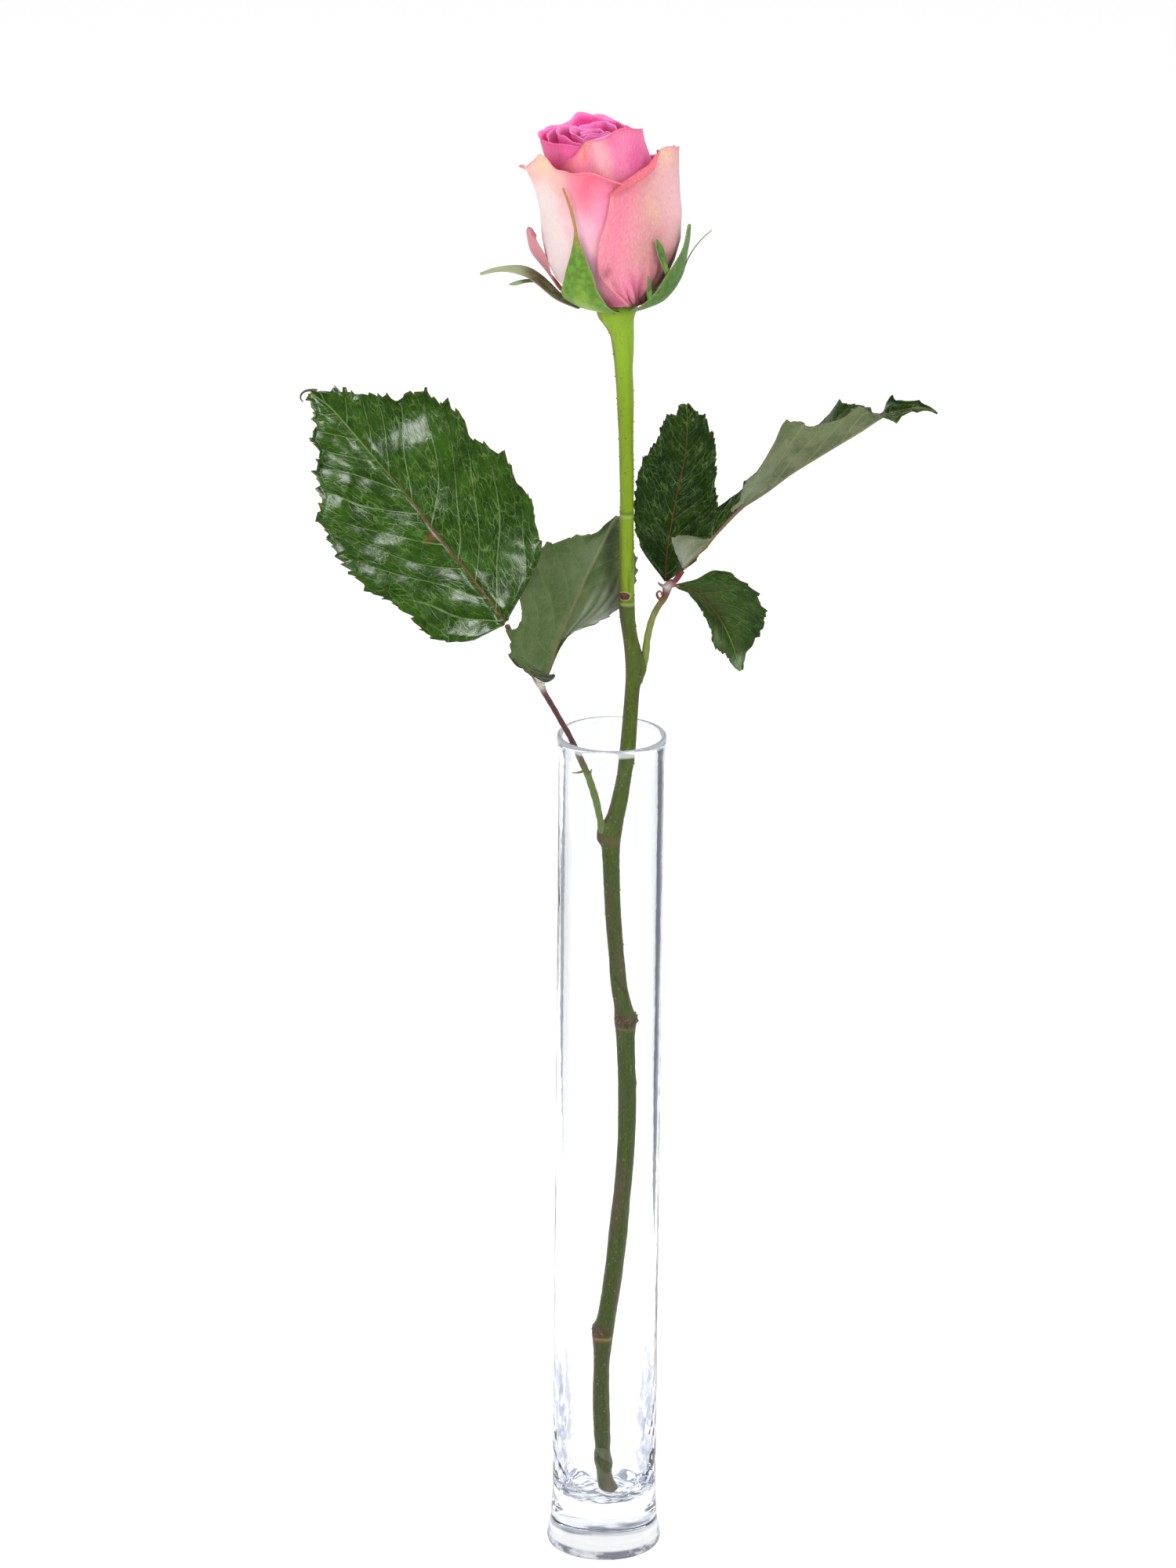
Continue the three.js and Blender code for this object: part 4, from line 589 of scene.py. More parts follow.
class Graph:
    """Short-hand for building a node tree: numbers, colours or sockets go in, sockets come out."""

    def __init__(self, name):
        self.mat = bpy.data.materials.new(name)
        self.mat.use_nodes = True
        self.tree = self.mat.node_tree
        self.tree.nodes.clear()
        self.out = self.tree.nodes.new("ShaderNodeOutputMaterial")

    def node(self, kind, **props):
        n = self.tree.nodes.new(kind)
        for k, v in props.items():
            setattr(n, k, v)
        return n

    def put(self, socket, value):
        if isinstance(value, bpy.types.NodeSocket):
            self.tree.links.new(value, socket)
        elif value is not None:
            if isinstance(value, (tuple, list)) and len(value) == 3 and socket.type == "RGBA":
                value = (*value, 1.0)
            socket.default_value = value

    def math(self, op, a, b=None, c=None, clamp=False):
        n = self.node("ShaderNodeMath", operation=op, use_clamp=clamp)
        for s, v in zip(n.inputs, (a, b, c)):
            self.put(s, v)
        return n.outputs[0]

    def add(self, a, b):
        return self.math("ADD", a, b)

    def sub(self, a, b):
        return self.math("SUBTRACT", a, b)

    def mul(self, a, b):
        return self.math("MULTIPLY", a, b)

    def range(self, x, a, b, lo=0.0, hi=1.0, kind="SMOOTHSTEP"):
        n = self.node("ShaderNodeMapRange", interpolation_type=kind, clamp=True) if kind == "LINEAR" else self.node("ShaderNodeMapRange", interpolation_type=kind)
        for s, v in zip(n.inputs[:5], (x, a, b, lo, hi)):
            self.put(s, v)
        return n.outputs[0]

    def mix(self, f, a, b, blend="MIX"):
        n = self.node("ShaderNodeMix", data_type="RGBA", blend_type=blend, clamp_factor=True)
        self.put(n.inputs[0], f)
        self.put(n.inputs[6], a)
        self.put(n.inputs[7], b)
        return n.outputs[2]

    def blob(self, x, y, x0, y0, sx, sy, power=2.0):
        """1 at x0, y0 and falling off smoothly around it."""
        dx = self.math("DIVIDE", self.sub(x, x0), sx)
        dy = self.math("DIVIDE", self.sub(y, y0), sy)
        q = self.add(self.mul(dx, dx), self.mul(dy, dy))
        return self.math("EXPONENT", self.mul(q, -1.0))

    def noise(self, vec, scale, detail=3.0, rough=0.55, distort=0.0):
        n = self.node("ShaderNodeTexNoise", noise_dimensions="3D")
        self.put(n.inputs["Vector"], vec)
        self.put(n.inputs["Scale"], scale)
        self.put(n.inputs["Detail"], detail)
        self.put(n.inputs["Roughness"], rough)
        self.put(n.inputs["Distortion"], distort)
        return n.outputs[0]

    def edge(self, vec, scale, random=1.0):
        """Distance to the nearest cell wall of a cell pattern."""
        n = self.node("ShaderNodeTexVoronoi", feature="DISTANCE_TO_EDGE", voronoi_dimensions="3D")
        self.put(n.inputs["Vector"], vec)
        self.put(n.inputs["Scale"], scale)
        self.put(n.inputs["Randomness"], random)
        return n.outputs["Distance"]

    def cells(self, vec, scale, random=1.0):
        n = self.node("ShaderNodeTexVoronoi", feature="F1", voronoi_dimensions="3D")
        self.put(n.inputs["Vector"], vec)
        self.put(n.inputs["Scale"], scale)
        self.put(n.inputs["Randomness"], random)
        return n.outputs["Distance"]

    def vector(self, x, y, z=0.0):
        n = self.node("ShaderNodeCombineXYZ")
        for s, v in zip(n.inputs, (x, y, z)):
            self.put(s, v)
        return n.outputs[0]

    def split(self, vec):
        n = self.node("ShaderNodeSeparateXYZ")
        self.put(n.inputs[0], vec)
        return n.outputs

    def uv(self):
        n = self.node("ShaderNodeUVMap", uv_map="UVMap")
        s = self.split(n.outputs[0])
        return s[0], s[1]

    def place(self):
        """Position in the model's own frame, in metres."""
        return self.node("ShaderNodeTexCoord").outputs["Object"]

    def bump(self, height, distance, strength=1.0, normal=None):
        n = self.node("ShaderNodeBump")
        self.put(n.inputs["Strength"], strength)
        self.put(n.inputs["Distance"], distance)
        self.put(n.inputs["Height"], height)
        if normal is not None:
            self.put(n.inputs["Normal"], normal)
        return n.outputs[0]

    def principled(self, **values):
        n = self.node("ShaderNodeBsdfPrincipled")
        for k, v in values.items():
            self.put(n.inputs[k], v)
        return n.outputs[0]

    def finish(self, shader):
        self.tree.links.new(shader, self.out.inputs[0])
        return self.mat


def srgb(r, g, b):
    f = lambda c: ((c / 255 + 0.055) / 1.055) ** 2.4 if c > 10.3 else c / 255 / 12.92
    return (f(r), f(g), f(b))


def thin(g, main, colour, share, normal=None):
    """Lets some light through from the other side, as a thin petal or leaf does."""
    t = g.node("ShaderNodeBsdfTranslucent")
    g.put(t.inputs["Color"], colour)
    if normal is not None:
        g.put(t.inputs["Normal"], normal)
    m = g.node("ShaderNodeMixShader")
    g.put(m.inputs[0], share)
    g.tree.links.new(main, m.inputs[1])
    g.tree.links.new(t.outputs[0], m.inputs[2])
    return m.outputs[0]


# ------------------------------------------------------------------------ blades

def blade_grid(table, bulge, us, vs, edge_a=None, edge_b=None):
    """Grid of a leaf blade: points, midrib points, half width in mm."""
    R = through(table, 0.985 * us)
    M = R[:, :3][:, None, :]
    T = np.abs(vs)[None, :, None]
    S = np.where((vs < 0)[None, :, None], R[:, 3:6][:, None, :], R[:, 6:9][:, None, :])
    D = S - M
    W = np.linalg.norm(D, axis=-1)
    D = D / np.maximum(W, 1e-6)[..., None]
    P = M + (S - M) * T
    if edge_a is not None:
        off = np.where(vs[None, :] < 0, read(edge_a, us)[:, None], read(edge_b, us)[:, None])
        off = np.maximum(off, -0.4 * W)
        k = np.clip(W / 3.0, 1.0, 6.0)
        P = P + D * (off * np.abs(vs)[None, :] ** k)[..., None]
    t = np.abs(vs)[None, :]
    P[..., 1] += bulge * 4 * t * (1 - t) * np.minimum(1, np.minimum(4 * us, 4 * (1 - us)))[:, None]
    return P, np.broadcast_to(M, P.shape), W


def along(table):
    """Length of the midrib in mm."""
    t = np.linspace(0, 0.985, 200)
    c = through(table, t)[:, :3]
    return np.linalg.norm(np.diff(c, axis=0), axis=1).sum()


def u_grid(n, *edges):
    knots = np.unique(np.concatenate([np.asarray(e)[:, 0] for e in edges])) if edges else np.array([0.0, 1.0])
    step = 1.0 / n
    extra = np.concatenate([knots - 0.004, knots + 0.004]) if edges else np.array([])
    keep = list(knots)
    for x in np.concatenate([extra, np.linspace(0, 1, n + 1)]):
        if 0 <= x <= 1 and min(abs(x - k) for k in keep[-2000:]) > 0.3 * step:
            keep.append(float(x))
    return np.array(sorted(keep))


def v_grid(n):
    """Across the blade, denser at the margin and beside the midrib."""
    s = np.linspace(0, 1, n + 1)
    h = s - 0.13 * np.sin(2 * np.pi * s) / (2 * np.pi) * 2.2
    return np.concatenate([-h[:0:-1], h])


def leaf_relief(us, vs, W, length, veins, quilt, groove, seed, slant=0.72):
    """Height over the smooth blade on its upper side, in mm, and the vein coordinate."""
    U, T = us[:, None], np.abs(vs)[None, :]
    d = T * W
    shift = np.where(vs[None, :] < 0, 0.0, 0.5)
    # lateral veins leave the midrib steeply and bend towards the tip
    run = slant * d * (1 + 0.35 * T)
    c = veins * (U - run / length) + shift
    c = c + 0.16 * waves(U * length / 16, d / 16 + np.sign(vs)[None, :] * 3, seed + 3, 5, 0.4, 1.2)
    inside = smooth(d, 0.5, 3.0) * (1 - smooth(T, 0.82, 1.0)) * smooth(W, 1.5, 5.0)
    hump = np.abs(np.sin(np.pi * c)) ** 0.88 - 0.60
    fine = waves(U * length / 3.2, d * np.sign(vs)[None, :] / 3.2 + 7, seed, 8, 0.5, 1.4) * 0.035
    h = inside * (quilt * hump + fine)
    h = h - groove * np.exp(-(d / 0.55) ** 2) + groove * 0.5 * np.exp(-((d - 1.5) / 0.8) ** 2)
    h = h + 0.42 * waves(U * length / 24, vs[None, :] * 1.2, seed + 1, 5, 0.4, 1.2) * smooth(T, 0, 0.5)
    return h, c


def leaflet_parts(table, bulge, edge_a, edge_b, upper, n_u, n_v, veins, quilt, groove, curl, seed, thick=0.42, slant=0.72, teeth=None, domes=()):
    us, vs = u_grid(n_u, edge_a, edge_b), v_grid(n_v)
    P, M, W = blade_grid(table, bulge, us, vs, edge_a, edge_b)
    smoothP, _, _ = blade_grid(table, bulge, us, vs)
    N = normals(smoothP) * upper
    length = along(table)
    h, c = leaf_relief(us, vs, W, length, veins, quilt, groove, seed, slant)
    T = np.abs(vs)[None, :]
    # margin turned a little to one side, more at some places than at others
    h = h + curl * T ** 5 * (0.6 + 0.6 * waves(us[:, None] * 3 + np.sign(vs)[None, :], T * 0.2, seed + 5, 4, 0.4, 1.3)) * smooth(W, 1, 5)
    # flat patches that lean a little: u, v, spread along and across in mm, slope along and across
    for (du, dv, su, sv, gu, gv) in domes:
        x, y = (us[:, None] - du) * length, (vs[None, :] - (2 * dv - 1)) * W
        h = h + (gu * x + gv * y) * np.exp(-((x / su) ** 2 + (y / sv) ** 2) / 2) * (1 - smooth(T, 0.90, 1.0))
    P = P + N * h[..., None]
    if teeth:
        # fine teeth that lean towards the tip
        amp, period = teeth
        rng = np.random.default_rng(seed + 40)
        ahead = np.gradient(M.reshape(len(us), -1)[:, :3], axis=0)
        ahead /= np.linalg.norm(ahead, axis=1, keepdims=True) + 1e-9
        room = smooth(np.asarray(W).reshape(len(us), -1)[:, 0], 2.0, 6.0)
        for j, jn in ((0, 1), (-1, -2)):
            x = us * length / period + rng.uniform(0, 1)
            x = x + 0.30 * np.sin(2.1 * x + rng.uniform(0, 6))
            size = rng.uniform(0.55, 1.35, 400)[np.floor(x).astype(int) % 400]
            saw = x % 1.0
            out = P[:, j] - P[:, jn]
            out /= np.linalg.norm(out, axis=1, keepdims=True) + 1e-9
            push = amp * size * room
            P[:, j] = P[:, j] + out * (push * (saw ** 1.4 - 0.30))[:, None] + ahead * (push * 0.9 * saw)[:, None]
    e = np.minimum(1 - T, 0.12) / 0.12
    th = thick * (0.45 + 0.55 * e) * np.ones_like(W)
    d = T * W
    UV = np.stack(np.broadcast_arrays(us[:, None], (vs[None, :] + 1) / 2), -1)
    VE = np.stack([c * np.ones_like(W), d / 20.0], -1)
    verts, faces, side, uvs = shell_data(P, th, UV)
    veinuv = np.concatenate([VE.reshape(-1, 2)] * 2)
    # material 0 is the upper side, 1 the underside
    index = np.where(side == 2, 0, np.where((side == 0) == (upper > 0), 0, 1))
    return verts, faces, index, uvs, veinuv


def add_layer(mesh, name, values):
    layer = mesh.uv_layers.new(name=name)
    loops = np.zeros(len(mesh.loops), np.int32)
    mesh.loops.foreach_get("vertex_index", loops)
    layer.data.foreach_set("uv", np.asarray(values, np.float32)[loops].ravel())


def make_leaflet(name, slot, mats, *args, more=(), **kw):
    """more: rows of thin tubes that belong to the leaflet, in the third material."""
    verts, faces, index, uvs, veinuv = leaflet_parts(*args, **kw)
    parts = [(verts, faces.tolist(), index, uvs)]
    for rows in more:
        tv, tf, ts, tu = tube_data(rows, 10, 30)
        parts.append((tv, tf, ts + 2, tu))
        veinuv = np.concatenate([veinuv, np.full((len(tv), 2), 0.5)])
    v, f, s, u = join(parts)
    obj = mesh_object(name + "_surface", v, f, mats, s, u, 60)
    add_layer(obj.data, "Veins", veinuv)
    return place(obj, slot, name)


# ------------------------------------------------------------------------ petals

def bloom_point(angle, radius, height):
    a = np.radians(angle)
    return np.stack(np.broadcast_arrays(
        BLOOM_BASE[0] + read(AXIS_LEAN, height) + radius * np.cos(a),
        BLOOM_BASE[1] + radius * np.sin(a),
        BLOOM_BASE[2] + height), -1)


def petal_grid(p, us, vs, roll=None, turn=None, extra=None):
    """Points of a petal. roll: radius of the rolled lip in mm at seven places
    from left to right; turn: how far it rolls outward, in degrees."""
    s = (vs + 1) / 2
    top, rim = through(p["top"], s), through(p["rim"], s)
    r = np.maximum(through(roll, s), 0.05) if roll is not None else np.full(len(vs), 0.3)
    th = np.radians(through(turn, s)) if turn is not None else np.full(len(vs), 0.3)
    th = np.clip(th, 0.02, math.radians(215))
    lean = np.arctan(np.maximum(rim - p["belly"], 0) * p["flare"] / np.maximum(top - 22, 1))
    peak = np.where(lean + th > np.pi / 2, 1.0, np.sin(lean + th))
    start = top - r * (peak - np.sin(lean))
    out = r * (np.cos(lean) - np.cos(np.minimum(lean + th, np.pi)))
    rim = rim - 0.75 * out
    u0 = 1 - np.clip(r * th / 22, 0.01, 0.3)
    U = us[:, None]
    body = np.minimum(U / u0, 1)
    t = body ** 1.5
    h = p["base"] + (start - p["base"]) * t
    hw = (h - p["base"]) / (top - p["base"])
    width = p["width"]
    w = through(width, hw)
    if "widthRight" in p:
        w = np.where(vs[None, :] > 0, through(p["widthRight"], hw), w)
    angle = p["mid"] + np.where(vs < 0, p["left"], p["right"])[None, :] * w * vs[None, :]
    lift = np.clip((h - 22) / (top - 22), 0, 1) ** p["flare"]
    radius = p["belly"] * read(BELLY, h) + (rim - p["belly"]) * lift
    phi = np.clip((U - u0) / (1 - u0), 0, 1) * th
    radius = radius + r * (np.cos(lean) - np.cos(lean + phi))
    h = h + r * (np.sin(lean + phi) - np.sin(lean))
    if extra is not None:
        angle, radius, h = extra(U * np.ones_like(radius), vs[None, :] * np.ones_like(radius), angle, radius, h)
    return bloom_point(angle, radius, h)


def rim_distance(P):
    """Distance in mm from each point to the rim of its column, along the surface."""
    seg = np.linalg.norm(np.diff(P, axis=0), axis=-1)
    s = np.concatenate([np.zeros((1, P.shape[1])), np.cumsum(seg, axis=0)])
    return s[-1:] - s


def make_petal(p, slot, mats, n_u, n_v, roll=None, turn=None, extra=None, thick=0.42, power=0.72, seed=0):
    us = np.linspace(0, 1, n_u + 1) ** power
    q = np.linspace(-1, 1, n_v + 1)
    vs = q + 0.10 * np.sin(np.pi * q)
    if "table" in p:
        R = through(p["table"], us)
        s = (vs[None, :] + 1) / 2
        h = R[:, 0][:, None] * np.ones_like(s)
        angle = R[:, 1][:, None] + (R[:, 2] - R[:, 1])[:, None] * s
        radius = R[:, 3][:, None] + (R[:, 4] - R[:, 3])[:, None] * s
        if extra is not None:
            angle, radius, h = extra(us[:, None] * np.ones_like(radius), vs[None, :] * np.ones_like(radius), angle, radius, h)
        P = bloom_point(angle, radius, h)
    else:
        P = petal_grid(p, us, vs, roll, turn, extra)
    rd = rim_distance(P)
    edge = np.minimum(rd / 2.5, 1)
    side_edge = np.minimum((1 - np.abs(vs))[None, :] / 0.06, 1)
    th = thick * (0.5 + 0.5 * np.minimum(edge, side_edge))
    UV = np.stack(np.broadcast_arrays(us[:, None], (vs[None, :] + 1) / 2), -1)
    verts, faces, side, uvs = shell_data(P, th, UV)
    # which side of the grid faces away from the bloom's axis
    N = normals(P)
    mid = P[len(us) // 2, len(vs) // 2] - np.array([BLOOM_BASE[0], BLOOM_BASE[1], P[len(us) // 2, len(vs) // 2][2]])
    outward = 1 if float(np.dot(N[len(us) // 2, len(vs) // 2], mid)) > 0 else -1
    index = np.where(side == 2, 0, np.where((side == 0) == (outward > 0), 0, 1))
    obj = mesh_object(p["name"] + "_surface", verts, faces.tolist(), mats, index, uvs, 60)
    height = (P[..., 2] - BLOOM_BASE[2]) / 50.0
    add_layer(obj.data, "Rim", np.concatenate([np.stack([rd / 20.0, height], -1).reshape(-1, 2)] * 2))
    return place(obj, slot, p["name"])


def wrap_grid(table, us, vs, extra=None):
    R = through(table, us)
    s = (vs[None, :] + 1) / 2
    h = R[:, 0][:, None] * np.ones_like(s)
    angle = R[:, 1][:, None] + (R[:, 2] - R[:, 1])[:, None] * s
    radius = R[:, 3][:, None] + (R[:, 4] - R[:, 3])[:, None] * s
    if extra is not None:
        angle, radius, h = extra(us[:, None] * np.ones_like(radius), vs[None, :] * np.ones_like(radius), angle, radius, h)
    return bloom_point(angle, radius, h)


def chaikin(points, rounds):
    p = np.asarray(points, float)
    for _ in range(rounds):
        a, b = p[:-1], p[1:]
        q = np.empty((2 * len(a), 2))
        q[0::2] = 0.75 * a + 0.25 * b
        q[1::2] = 0.25 * a + 0.75 * b
        p = np.concatenate([p[:1], q, p[-1:]])
    return p

# --------------------------------------------------------------------- materials

def warped(g, pos, scale, amount):
    """Position pushed about a little, so that patterns on it look grown."""
    n = g.node("ShaderNodeTexNoise", noise_dimensions="3D")
    g.put(n.inputs["Vector"], pos)
    g.put(n.inputs["Scale"], scale)
    g.put(n.inputs["Detail"], 2.0)
    c = g.split(n.outputs["Color"])
    parts = [g.mul(g.sub(c[i], 0.5), amount) for i in range(3)]
    v = g.node("ShaderNodeVectorMath", operation="ADD")
    g.put(v.inputs[0], pos)
    g.put(v.inputs[1], g.vector(*parts))
    return v.outputs[0]


def leaf_upper(name, deep=(0.018, 0.052, 0.0035), mid=(0.042, 0.115, 0.0080), warm=0.0, gloss=0.27, red_to=0.62, spots=(), net=1.0, laterals=0.80, rib_width=0.22, shine=0.55, swell=0.40):
    """Glossy dark green upper side with raised pale veins and a fine net between them."""
    g = Graph(name)
    u, v = g.uv()
    ve = g.split(g.node("ShaderNodeUVMap", uv_map="Veins").outputs[0])
    c, d = ve[0], g.mul(ve[1], 20.0)
    pos = g.place()
    wp = warped(g, pos, 420.0, 0.0016)
    wp2 = warped(g, pos, 1100.0, 0.0007)
    half = g.math("ABSOLUTE", g.sub(v, 0.5))
    # lateral veins
    f = g.math("FRACT", g.add(c, 50.0))
    lat = g.math("MINIMUM", f, g.sub(1.0, f))
    lat_line = g.range(lat, 0.010, 0.040, 1, 0)
    # net of finer veins between the lateral ones, in three sizes
    way = g.vector(g.mul(c, 3.0), g.mul(d, 0.40), g.mul(g.range(v, 0.49, 0.51), 9.0))
    net0 = g.range(g.edge(warped(g, way, 1.3, 0.55), 1.0), 0.006, 0.055, 1, 0)
    net1 = g.range(g.edge(warped(g, g.vector(g.mul(c, 8.0), g.mul(d, 1.0), g.mul(g.range(v, 0.49, 0.51), 9.0)), 1.1, 0.6), 1.0), 0.01, 0.09, 1, 0)
    net2 = g.range(g.edge(wp2, 1500.0), 0.0, 0.10, 1, 0)
    mott = g.noise(pos, 130.0, 4.0, 0.6)
    mott2 = g.noise(pos, 700.0, 3.0, 0.6)
    col = g.mix(g.range(mott, 0.36, 0.66), deep, mid)
    # painted shade: darker in the troughs beside the lateral veins
    col = g.mix(g.mul(g.range(lat, 0.20, 0.05), 0.35), col, tuple(0.55 * x for x in deep))
    col = g.mix(g.mul(g.range(mott2, 0.45, 0.7), 0.40), col, tuple(1.35 * x for x in mid))
    for (su, sv, au, av, colour, amount) in spots:
        col = g.mix(g.mul(g.blob(u, v, su, sv, au, av), amount), col, colour)
    if warm:
        col = g.mix(g.mul(g.range(half, 0.42, 0.08), warm), col, (0.060, 0.060, 0.020))
    vein = (0.125, 0.225, 0.060)
    col = g.mix(g.mul(net2, 0.06 * net), col, vein)
    part = g.range(g.noise(pos, 210.0, 2.0, 0.5), 0.36, 0.62, 0.25, 1.0)
    col = g.mix(g.mul(g.mul(net1, part), 0.26 * net), col, vein)
    col = g.mix(g.mul(g.mul(net0, part), 0.50 * net), col, (0.140, 0.240, 0.060))
    fade = g.range(half, 0.49, 0.30)
    brk = g.range(g.noise(pos, 190.0, 2.0, 0.6), 0.30, 0.55, 0.35, 1.0)
    col = g.mix(g.mul(g.mul(g.mul(lat_line, laterals), fade), brk), col, (0.150, 0.255, 0.070))
    # midrib: red-brown at the base, pale green at the tip
    rib = g.range(d, rib_width, rib_width + 0.28, 1, 0)
    rib_col = g.mix(g.range(u, red_to - 0.22, red_to + 0.14), (0.150, 0.048, 0.024), (0.150, 0.245, 0.060))
    col = g.mix(g.mul(rib, 0.92), col, rib_col)
    # thin brownish margin
    edge = g.range(half, 0.490, 0.5)
    col = g.mix(g.mul(edge, 0.6), col, (0.075, 0.050, 0.022))
    # heights in mm
    h = g.add(g.mul(net1, -0.006), g.add(g.mul(lat_line, -0.035), g.mul(net2, -0.001)))
    h = g.add(g.add(h, g.mul(net0, -0.016)), g.add(g.mul(mott2, 0.005), g.mul(g.noise(pos, 120.0, 1.0, 0.4), swell)))
    bump = g.bump(h, 0.001, 1.0)
    rough = g.add(gloss, g.mul(g.range(mott2, 0.3, 0.7), 0.08))
    return g.finish(g.principled(**{"Base Color": col, "Roughness": rough, "Normal": bump, "Specular IOR Level": shine}))


def leaf_under(name, a=(0.125, 0.175, 0.070), b=(0.190, 0.235, 0.120), lines=0.5, rough=0.58, spots=(), net=1.0, one_side=None, rib_mix=0.85):
    """Matte grey-green underside with raised veins. one_side: the veins on the first half are this much weaker."""
    g = Graph(name)
    u, v = g.uv()
    ve = g.split(g.node("ShaderNodeUVMap", uv_map="Veins").outputs[0])
    c, d = ve[0], g.mul(ve[1], 20.0)
    pos = g.place()
    wp = warped(g, pos, 420.0, 0.0014)
    wp2 = warped(g, pos, 1100.0, 0.0007)
    half = g.math("ABSOLUTE", g.sub(v, 0.5))
    f = g.math("FRACT", g.add(c, 50.0))
    lat = g.math("MINIMUM", f, g.sub(1.0, f))
    lat_line = g.range(lat, 0.012, 0.055, 1, 0)
    if one_side is not None:
        lat_line = g.mul(lat_line, g.range(v, 0.46, 0.54, one_side, 1.0))
    net0 = g.range(g.edge(wp, 260.0), 0.008, 0.05, 1, 0)
    net1 = g.range(g.edge(wp, 700.0), 0.02, 0.11, 1, 0)
    net2 = g.range(g.edge(wp2, 1700.0), 0.0, 0.14, 1, 0)
    mott = g.noise(pos, 160.0, 4.0, 0.6)
    fine = g.noise(pos, 1300.0, 3.0, 0.65)
    col = g.mix(g.range(mott, 0.36, 0.66), a, b)
    for (su, sv, au, av, colour, amount) in spots:
        col = g.mix(g.mul(g.blob(u, v, su, sv, au, av), amount), col, colour)
    col = g.mix(g.mul(g.range(fine, 0.48, 0.72), 0.35), col, g.mix(0.5, col, (0.05, 0.07, 0.03)))
    pale = tuple(min(1.0, 1.5 * x) for x in b)
    col = g.mix(g.mul(net2, 0.14 * net), col, tuple(0.7 * x for x in a))
    col = g.mix(g.mul(net1, 0.22 * net), col, pale)
    col = g.mix(g.mul(net0, 0.30 * net), col, pale)
    col = g.mix(g.mul(lat_line, lines), col, pale)
    rib = g.range(d, 0.22, 0.50, 1, 0)
    col = g.mix(g.mul(rib, rib_mix), col, g.mix(g.range(u, 0.3, 0.8), (0.190, 0.110, 0.060), (0.200, 0.215, 0.105)))
    edge = g.range(half, 0.488, 0.5)
    col = g.mix(g.mul(edge, 0.6), col, (0.16, 0.10, 0.065))
    h = g.add(g.mul(net1, 0.020), g.add(g.mul(lat_line, 0.08), g.mul(mott, 0.20)))
    h = g.add(h, g.add(g.mul(net0, 0.035), g.mul(fine, 0.02)))
    bump = g.bump(h, 0.001, 1.0)
    return g.finish(g.principled(**{"Base Color": col, "Roughness": rough, "Normal": bump, "Specular IOR Level": 0.35}))


def petal_face(name, low, body, lip, reach=0.5, power=1.0, spots=(), vein=0.10, streak=0.25, rough=0.5, sss=0.25, mottle=0.30, margin=0.55):
    """Petal colour: low near the claw, body in the middle, lip near the rim. reach: rim band in mm/20.
    spots: (u, v, size u, size v, colour, strength) soft patches."""
    g = Graph(name)
    u, v = g.uv()
    rim = g.split(g.node("ShaderNodeUVMap", uv_map="Rim").outputs[0])
    pos = g.place()
    # fine streaks run along the petal from claw to rim
    fan = g.vector(g.mul(v, 150.0), g.mul(u, 5.0))
    st = g.noise(fan, 1.0, 4.0, 0.6)
    fan2 = g.vector(g.mul(v, 420.0), g.mul(u, 14.0))
    st2 = g.noise(fan2, 1.0, 3.0, 0.6)
    big = g.noise(pos, 95.0, 3.0, 0.55)
    speck = g.noise(pos, 2600.0, 2.0, 0.6)
    shift = g.add(g.mul(g.sub(big, 0.5), 0.35), g.mul(g.sub(st, 0.5), 0.25))
    col = g.mix(g.range(g.add(u, shift), 0.12, 0.55), low, body)
    band = g.range(g.add(rim[0], g.mul(shift, 0.6)), reach, 0.0)
    if power != 1.0:
        band = g.math("POWER", band, power)
    col = g.mix(band, col, lip)
    for (su, sv, au, av, colour, amount) in spots:
        b = g.blob(g.add(u, g.mul(shift, 0.25)), g.add(v, g.mul(g.sub(big, 0.5), 0.10)), su, sv, au, av)
        col = g.mix(g.mul(b, amount), col, colour)
    # streaks: slightly deeper colour in the veins, lighter between
    col = g.mix(g.mul(g.range(st, 0.52, 0.72), streak), col, g.mix(0.55, col, lip, "MULTIPLY"))
    col = g.mix(g.mul(g.range(st2, 0.56, 0.74), vein), col, g.mix(0.5, col, lip, "MULTIPLY"))
    col = g.mix(g.mul(g.range(speck, 0.60, 0.72), 0.10), col, g.mix(0.5, col, (1, 0.95, 0.92)))
    blotch = g.noise(g.vector(g.mul(v, 70.0), g.mul(u, 42.0)), 1.0, 4.0, 0.62)
    fleck = g.noise(pos, 1250.0, 3.0, 0.6)
    col = g.mix(g.mul(g.range(blotch, 0.50, 0.68), mottle), col, g.mix(0.75, col, lip, "MULTIPLY"))
    col = g.mix(g.mul(g.range(blotch, 0.47, 0.30), 0.8 * mottle), col, g.mix(0.55, col, (1.0, 0.84, 0.76)))
    col = g.mix(g.mul(g.range(fleck, 0.54, 0.68), 0.8 * mottle), col, g.mix(0.6, col, lip, "MULTIPLY"))
    # thin darker margin, uneven
    brim = g.mul(g.range(rim[0], 0.030, 0.006), g.range(big, 0.42, 0.60, 0.25, 0.9))
    col = g.mix(g.mul(brim, margin), col, g.mix(0.5, lip, (0.40, 0.12, 0.10)))
    h = g.add(g.mul(st, 0.9), g.add(g.mul(st2, 0.6), g.add(g.mul(speck, 0.25), g.mul(blotch, 0.8))))
    bump = g.bump(h, 0.00024, 0.8)
    return g.finish(g.principled(**{"Base Color": col, "Roughness": rough, "Normal": bump, "Specular IOR Level": 0.25,
                                    "Subsurface Weight": sss, "Subsurface Radius": (1.0, 0.40, 0.45), "Subsurface Scale": 0.0016,
                                    "Sheen Weight": 0.12, "Sheen Roughness": 0.45}))


